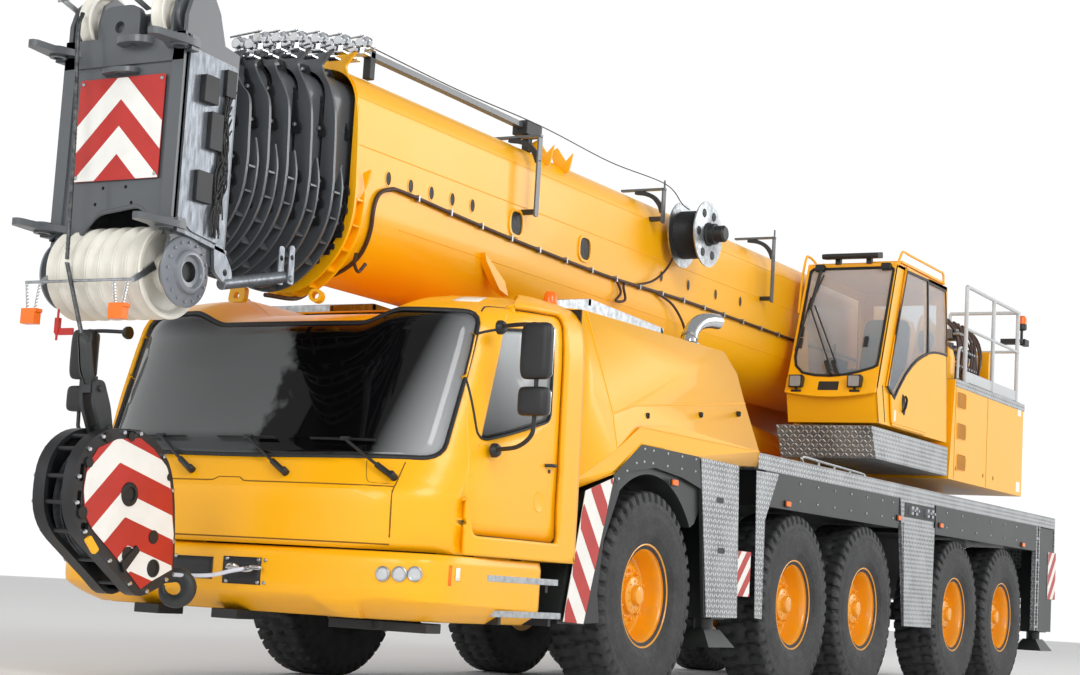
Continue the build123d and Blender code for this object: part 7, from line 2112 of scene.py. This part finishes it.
def makeHood(f):
    # Flat facets for the flanks; near its edge the roof rises by 0.02 (1 - e^(-d / 0.03)) and
    # crowns by 1 - (y / W)^2
    facets = []
    for facet in f["facets"]:
        points, faces = flatFace(np.asarray(facet)[:, (0, 2, 1)])
        facets.append((points, faces))
    left = joined(*facets)
    # Roof: the side's top line rolls over a small radius and runs straight across with a slight
    # crown
    line = np.asarray(f["roofLine"])
    edgeY = np.array((1.435, 1.435, 1.425, 1.43))
    inset = np.concatenate(((0, 0.006, 0.022, 0.05, 0.1), np.linspace(0.3, 2.57, 12)))
    rows = []
    for back in inset:
        y = edgeY - back
        lift = 0.02 * (1 - np.exp(-back / 0.03)) + 0.012 * (1 - (y / 1.43) ** 2)
        rows.append(np.stack((line[:, 0], y, line[:, 1] + lift * np.array((1, 1, 1, 0.8))), 1))
    mirrorRows = [row * (1, -1, 1) for row in rows[:5]][::-1]
    roof = surface(np.array([row for row in rows if row[0, 1] > -1.33] + mirrorRows))
    rear = np.asarray(f["rear"])
    rearY = np.array((1.425, 1.43, 1.44, 1.498, 1.488))
    share = np.linspace(1, -1, 9)[:, None]
    back = surface(np.stack((rear[:, 0] + 0 * share, rearY * share, rear[:, 1] + 0 * share), -1))
    front = surface(np.array([[(4.235, y, z) for z in (1.45, 2.0, 2.615)]
        for y in np.linspace(1.435, -1.435, 5)]))
    meshPiece("hoodSides", both(left), "carrier", yellowEnamel, ("engine_hood",),
        smooth=2, wall=0.012)
    meshPiece("hoodRoof", joined(roof, back, front), "carrier", yellowEnamel,
        smooth=20, wall=0.012)
    # Pressed beads along the creases
    beads = [tube(np.asarray(line)[:, (0, 2, 1)], 0.006, 8, (0, 1, 0)) for line in f["creases"]]
    meshPiece("hoodBeads", both(joined(*beads)), "carrier", yellowEnamel, smooth=60)
    # Gasket between cab and hood, hinges and latches on the crease
    gasket = plate("y", 1.4, 1.478, oblong(4.236, 4.249, 1.43, 2.62))
    meshPiece("hoodGasket", both(gasket), "carrier", sealRubberAndShade)
    catches = [joined(rod((x, 1.44, z), (x, 1.475, z), 0.022, 20),
        slab((x - 0.006, 1.46, z - 0.018), (x + 0.006, 1.482, z + 0.018))) for x,
        z in ((3.15, 2.02), (2.25, 2.12), (1.55, 2.2))]
    meshPiece("hoodCatches", both(joined(*catches)), "carrier", blackPlastic)
    y0, y1 = f["grilleY"]
    loop = roundedLoop(f["grille"], 0.02)
    frames = [plate("y", y, y + 0.02, loop) for y in (y0, y1 - 0.02)]
    slats = []
    top = np.asarray(f["grille"])[1:4]
    for x in np.linspace(top[2, 0] + 0.06, top[0, 0] - 0.06, 34):
        z = np.interp(x, top[::-1, 0], top[::-1, 1])
        slats.append(plate("y", y0 + 0.02, y1 - 0.02, ((x - 0.02, z - 0.04), (x - 0.014, z - 0.04),
            (x + 0.016, z - 0.006), (x + 0.01, z - 0.006))))
    for x, z in top:
        frames.append(slab((x - 0.02, y0, z - 0.05), (x + 0.02, y1, z - 0.002)))
    well = plate("y", y0 + 0.01, y1 - 0.01, grown(np.asarray(f["grille"]), -0.05))
    meshPiece("grilleFrame", both(joined(*frames)), "carrier", galvanised,
        bevel=0.004)
    meshPiece("grilleSlats", both(joined(well, *slats)), "carrier", blackPlastic)
    # Exhaust: chromed elbow, hollow at its tip, with a clamp
    path = along(np.asarray(f["exhaust"]), 8)
    pipe = carried(circle((0, 0), 0.06, 40), path, (0, 1, 0), False)
    meshPiece("exhaustPipe", pipe, "carrier", hardChrome, smooth=50, wall=0.004)
    tip = path[-1] - path[-2]
    tip /= np.linalg.norm(tip)
    # A dark disc set inside the tip is painted shade in the pipe's mouth.
    dark = turned(oblong(0, 0.0545, -0.03, -0.035), tip, path[-1], 32)
    clamp = turned(oblong(0.0605, 0.067, 0.012, -0.012), path[12] - path[11], path[11], 36, True)
    meshPiece("exhaustThroat", dark, "carrier", blackIronAndShade)
    meshPiece("exhaustClamp", joined(clamp, turned(((0.1, 0.0), (0.1, 0.03), (0.075, 0.045),
        (0.061, 0.045), (0.061, 0.0)), (0, 0, 1), (2.1, 1.25, 2.655), 36, True)), "carrier",
        galvanised)
    # Beacon on the cab's rear edge
    lens = turned(((0, 0.12), (0.028, 0.117), (0.042, 0.1), (0.048, 0.06), (0.05, 0.03), (0, 0.03)),
        (0, 0, 1), (4.33, 1.28, 2.615), 32)
    foot = turned(((0.0, 0.035), (0.052, 0.034), (0.058, 0.026), (0.06, 0.0), (0, 0)), (0, 0, 1),
        (4.33, 1.28, 2.6), 32)
    meshPiece("cabBeacons", both(lens), "carrier", amberLens)
    meshPiece("cabBeaconFeet", both(foot), "carrier", blackPlastic)


def makeFlanks(f):
    # Plates and fittings on the skin's plane y = skin, mirrored
    y = f["skin"]
    # Arch strip above the front wheel, with its bolts
    meshPiece("archStrips", both(plate("y", y - 0.006, y, f["arch"])), "carrier", chassisDark,
        bevel=0.002)
    bolt = turned(((0, 0.007), (0.007, 0.007), (0.01, 0.004), (0.011, 0), (0, 0)), (0, 1, 0),
        (0, 0, 0), 8)
    spots = [(x, z) for x in (2.38, 2.62, 2.86, 3.1, 3.24) for z in (1.775, 1.685)] + [(3.36,
        1.665), (3.5, 1.6), (3.62, 1.535)] + [(x, z) for x in (0.3, -0.1, -0.5, -0.9, -1.3, -1.7,
        -2.0, -3.6, -4.1, -4.6, -5.1, -5.6, -6.05) for z in (1.745, 1.6)]
    meshPiece("coverBolts", both(repeated(bolt, np.array([(x, y - 0.001, z) for x, z in spots]))),
        "carrier", galvanised)
    # Hazard plates: a white board with red bands that fall to the rear
    for name, key, pitch, slope, body in (("arch", "stripes", 0.4, 1.15, ""),
            ("small", "smallStripes", 0.2, -1.0, ""), ("rear", "rearStripes", 0.24, -1.0,
            "outrigger_beam")):
        for sideName, side in sides:
            rides = f"{body}_{sideName}_rear" if body else "carrier"
            for part, shape, material in (("Board", plate("y", y, y + 0.004, f[key]), signWhite),
                    ("Bands", banded(f[key], pitch, slope, 0.5, y + 0.004), signRed)):
                meshPiece(f"{name}Hazard{part}_{sideName}", shape if side > 0 else mirrored(shape),
                    rides, material)
    meshPiece("archFlares", both(plate("y", y - 0.03, y + 0.002, f["darkPlate"])), "carrier",
        blackPlastic, bevel=0.004)
    # Tread plates beside the outrigger boxes; the first one rides out with its beam
    first = f["treads"][0]
    grips = [roundedLoop(oblong(x - 0.07, x + 0.07, z - 0.022, z + 0.022), 0.02) for x,
        z in ((1.92, 1.5), (1.86, 1.12))]
    panel = joined(plate("y", y, y + 0.005, first, grips))
    # A dark plate behind the grip slots is painted shade seen through them.
    gripSlotShade = joined(*[plate("y", y - 0.002, y + 0.0015, grown(loop, 0.006)) for loop in grips])
    for sideName, side in sides:
        for name, shape, material, slotName in (("treadPanel", panel, treadAluminium,
                "tread_plate"), ("panelGrips", gripSlotShade, blackIronAndShade, "black_plastic")):
            meshPiece(f"{name}_{sideName}", shape if side > 0 else mirrored(shape),
                f"outrigger_beam_{sideName}_front", material)
    others = joined(*[plate("y", y, y + 0.005, loop) for loop in f["treads"][1:]])
    meshPiece("sideTreads", both(others), "carrier", treadAluminium, bevel=0.0015)
    # Markers: amber lens on a black foot
    lens = joined(*[plate("y", y + 0.006, y + 0.02, roundedLoop(oblong(x - 0.045, x + 0.045,
        z - 0.02, z + 0.02), 0.012)) for x, z in f["markers"]])
    foot = joined(*[plate("y", y, y + 0.008, roundedLoop(oblong(x - 0.055, x + 0.055, z - 0.028,
        z + 0.028), 0.014)) for x, z in f["markers"]])
    meshPiece("sideMarkers", both(lens), "carrier", amberLens, bevel=0.003)
    meshPiece("sideMarkerFeet", both(foot), "carrier", blackPlastic)
    # Valve taps in the opening above the middle panel
    # A dark plate fills the opening: painted shade behind the taps.
    shade = plate("y", y - 0.001, y + 0.002, oblong(-2.334, -3.21, 1.771, 1.633))
    meshPiece("valveRecess", both(shade), "carrier", blackIronAndShade)
    taps = [joined(slab((x - 0.03, y, 1.66), (x + 0.03, y + 0.03, 1.74)), rod((x, y + 0.03, 1.7),
        (x, y + 0.055, 1.7), 0.014, 14)) for x in (-2.48, -2.6, -2.95, -3.08)]
    meshPiece("valveTaps", both(joined(*taps)), "carrier", galvanised, bevel=0.003)
    # Cab steps: bent aluminium treads on black brackets, below the door
    steps, arms = [], []
    for x0, x1, z, out in ((4.36, 5.36, 0.775, 1.5), (4.3, 5.2, 0.56, 1.5)):
        loop = roundedLoop(((x0, 1.3), (x1, 1.3), (x1 - 0.04, out), (x0 + 0.02, out)), 0.03)
        steps.append(plate("z", z, z + 0.04, loop))
        arms += [slab((x, 1.18, z - 0.05), (x + 0.035, 1.46, z)) for x in (x0 + 0.1, x1 - 0.16)]
    arms += [slab((4.48, 1.2, 0.54), (4.52, 1.26, 0.93)), slab((5.08, 1.2, 0.54),
        (5.12, 1.26, 0.93))]
    meshPiece("cabSteps", both(joined(*steps)), "carrier", galvanised, bevel=0.008)
    meshPiece("stepBrackets", both(joined(*arms)), "carrier", blackPlastic,
        bevel=0.003)
    # Door handles ride with the doors; a blank sticker below the seam
    for sideName, side in sides:
        grip = joined(tube(along(((4.545, 1.503, 1.545), (4.575, 1.53, 1.545), (4.63, 1.532, 1.543),
            (4.665, 1.503, 1.54)), 5), 0.011, 10), rod((4.605, 1.495, 1.505), (4.605, 1.506, 1.505),
            0.012, 18))
        meshPiece(f"doorGrip_{sideName}", grip if side > 0 else mirrored(grip), f"door_{sideName}",
            blackPlastic)
    sticker = plate("y", 1.487, 1.4995, oblong(4.262, 4.335, 1.56, 1.66))
    meshPiece("sideSticker", both(sticker), "carrier", signWhite)
    # Rails on the deck's left edge
    rail = [tube(along(((0.11, 1.44, 1.935), (0.11, 1.44, 1.985), (-0.4, 1.44, 1.975),
        (-1.3, 1.44, 1.955), (-1.357, 1.44, 1.935)), 4), 0.012, 8)]
    rail += [rod((x, 1.44, 1.93), (x, 1.44, 1.97), 0.01, 8) for x in (-0.25, -0.62, -1.0)]
    meshPiece("deckRail", joined(*rail), "carrier", galvanised)


def makeCabInside():
    # Seats, stands and dash; the wheel's rim is centre + r (cos a level + sin a up)
    for sideName, side in sides:
        for part, centre, size, lean in (("Cushion", (4.86, side * 0.85, 1.45), (0.5, 0.48, 0.15),
                5), ("Back", (4.6, side * 0.85, 1.84), (0.14, 0.46, 0.66), 10), ("Rest",
                (4.545, side * 0.85, 2.24), (0.1, 0.26, 0.17), 10)):
            makePad(f"cabSeat{part}_{sideName}", "carrier", centre, size, lean, "")
    stands = [joined(slab((4.68, y - 0.17, 1.045), (5.02, y + 0.17, 1.1)),
        slab((4.76, y - 0.11, 1.09), (4.96, y + 0.11, 1.37))) for y in (-0.85, 0.85)]
    meshPiece("cabSeatStands", joined(*stands), "carrier", blackPlastic,
        bevel=0.01)
    dash = plate("y", -1.15, 1.15, roundedLoop(((5.26, 1.05), (5.54, 1.05), (5.54, 1.42),
        (5.4, 1.47), (5.26, 1.36)), 0.03))
    hoodlet = turned(((0, 0.03), (0.16, 0.03), (0.19, 0.0), (0.19, -0.1), (0, -0.1)),
        (-0.5, 0, 0.87), (5.34, 0.85, 1.46), 32)
    meshPiece("cabDash", joined(dash, hoodlet), "carrier", blackPlastic,
        ("cab_interior",), bevel=0.012)
    # Steering wheel: a rim, three spokes, hub and column, in the plane normal to (-0.5, 0, 0.87)
    centre, aim = np.array((5.17, 0.85, 1.6)), np.array((-0.5, 0, 0.87))
    level, up = np.array((0, 1.0, 0)), np.array((0.87, 0, 0.5))
    a = np.linspace(0, 2 * np.pi, 49)[:-1]
    ring = centre + 0.215 * (np.cos(a)[:, None] * level + np.sin(a)[:, None] * up)
    wheel = [tube(np.concatenate((ring, ring[:1])), 0.015, 10, tuple(aim))]
    wheel += [rod(centre, centre + 0.215 * (math.cos(t) * level + math.sin(t) * up), 0.013, 10)
        for t in (0.3, 2.84, 4.71)]
    wheel += [turned(((0, 0.03), (0.05, 0.02), (0.06, -0.02), (0, -0.03)), tuple(aim), centre, 24),
        rod(centre, centre - 0.22 * aim, 0.03, 16)]
    meshPiece("steeringWheel", joined(*wheel), "carrier", blackPlastic)


makeHood(flank)
makeFlanks(flank)
makeCabInside()
print("carrier sides ready")


def makeStudio(s):
    # The sky's strength falls smoothly with elevation; each lamp is a disc that looks at its aim
    world = bpy.data.worlds.new("studioLight")
    world.use_nodes = True
    tree = world.node_tree
    back = tree.nodes["Background"]
    place = addNode(tree, "TexCoord")
    height = addNode(tree, "SeparateXYZ", {"Vector": place.outputs["Generated"]})
    strength, low, high = s["skyLow"]
    fall = addNode(tree, "MapRange", {"Value": height.outputs["Z"], "From Min": low,
        "From Max": high, "To Min": strength, "To Max": s["skyHigh"]},
        interpolation_type="SMOOTHSTEP")
    back.inputs["Color"].default_value = linear("#ffffff")
    tree.links.new(fall.outputs["Result"], back.inputs["Strength"])
    scene.world = world
    for name, place, aim, size, watts in s["lamps"]:
        data = bpy.data.lights.new(name, "AREA")
        data.shape, data.size, data.energy = "DISK", size, watts
        lamp = bpy.data.objects.new(name, data)
        lamp.location = place
        lamp.rotation_mode = "QUATERNION"
        lamp.rotation_quaternion = (Vector(aim) - Vector(place)).to_track_quat("-Z", "Y")
        scene.collection.objects.link(lamp)
    half = s["floorHalf"]
    data = bpy.data.meshes.new("studioFloor")
    data.from_pydata([(-half, -half, 0), (half, -half, 0), (half, half, 0), (-half, half, 0)], [],
        [(0, 1, 2, 3)])
    floor = bpy.data.objects.new("studioFloor", data)
    scene.collection.objects.link(floor)
    material, tree, shader, place = newMaterial("matFloorPaint")
    shader.inputs["Roughness"].default_value = 0.7
    tone = addNode(tree, "Mix",
        {0: addNode(tree, "TexNoise", {"Vector": place, "Scale": 1000 / 4000, "Detail": 1,
        "Roughness": 0.55}, 0), 6: linear(s["floorColour"]), 7: linear("#fbfbfa")}, 2,
        data_type="RGBA")
    tree.links.new(tone, shader.inputs["Base Color"])
    floor.data.materials.append(material)
    scene.view_settings.view_transform = "Standard"


makeStudio(studio)
print("studio ready")
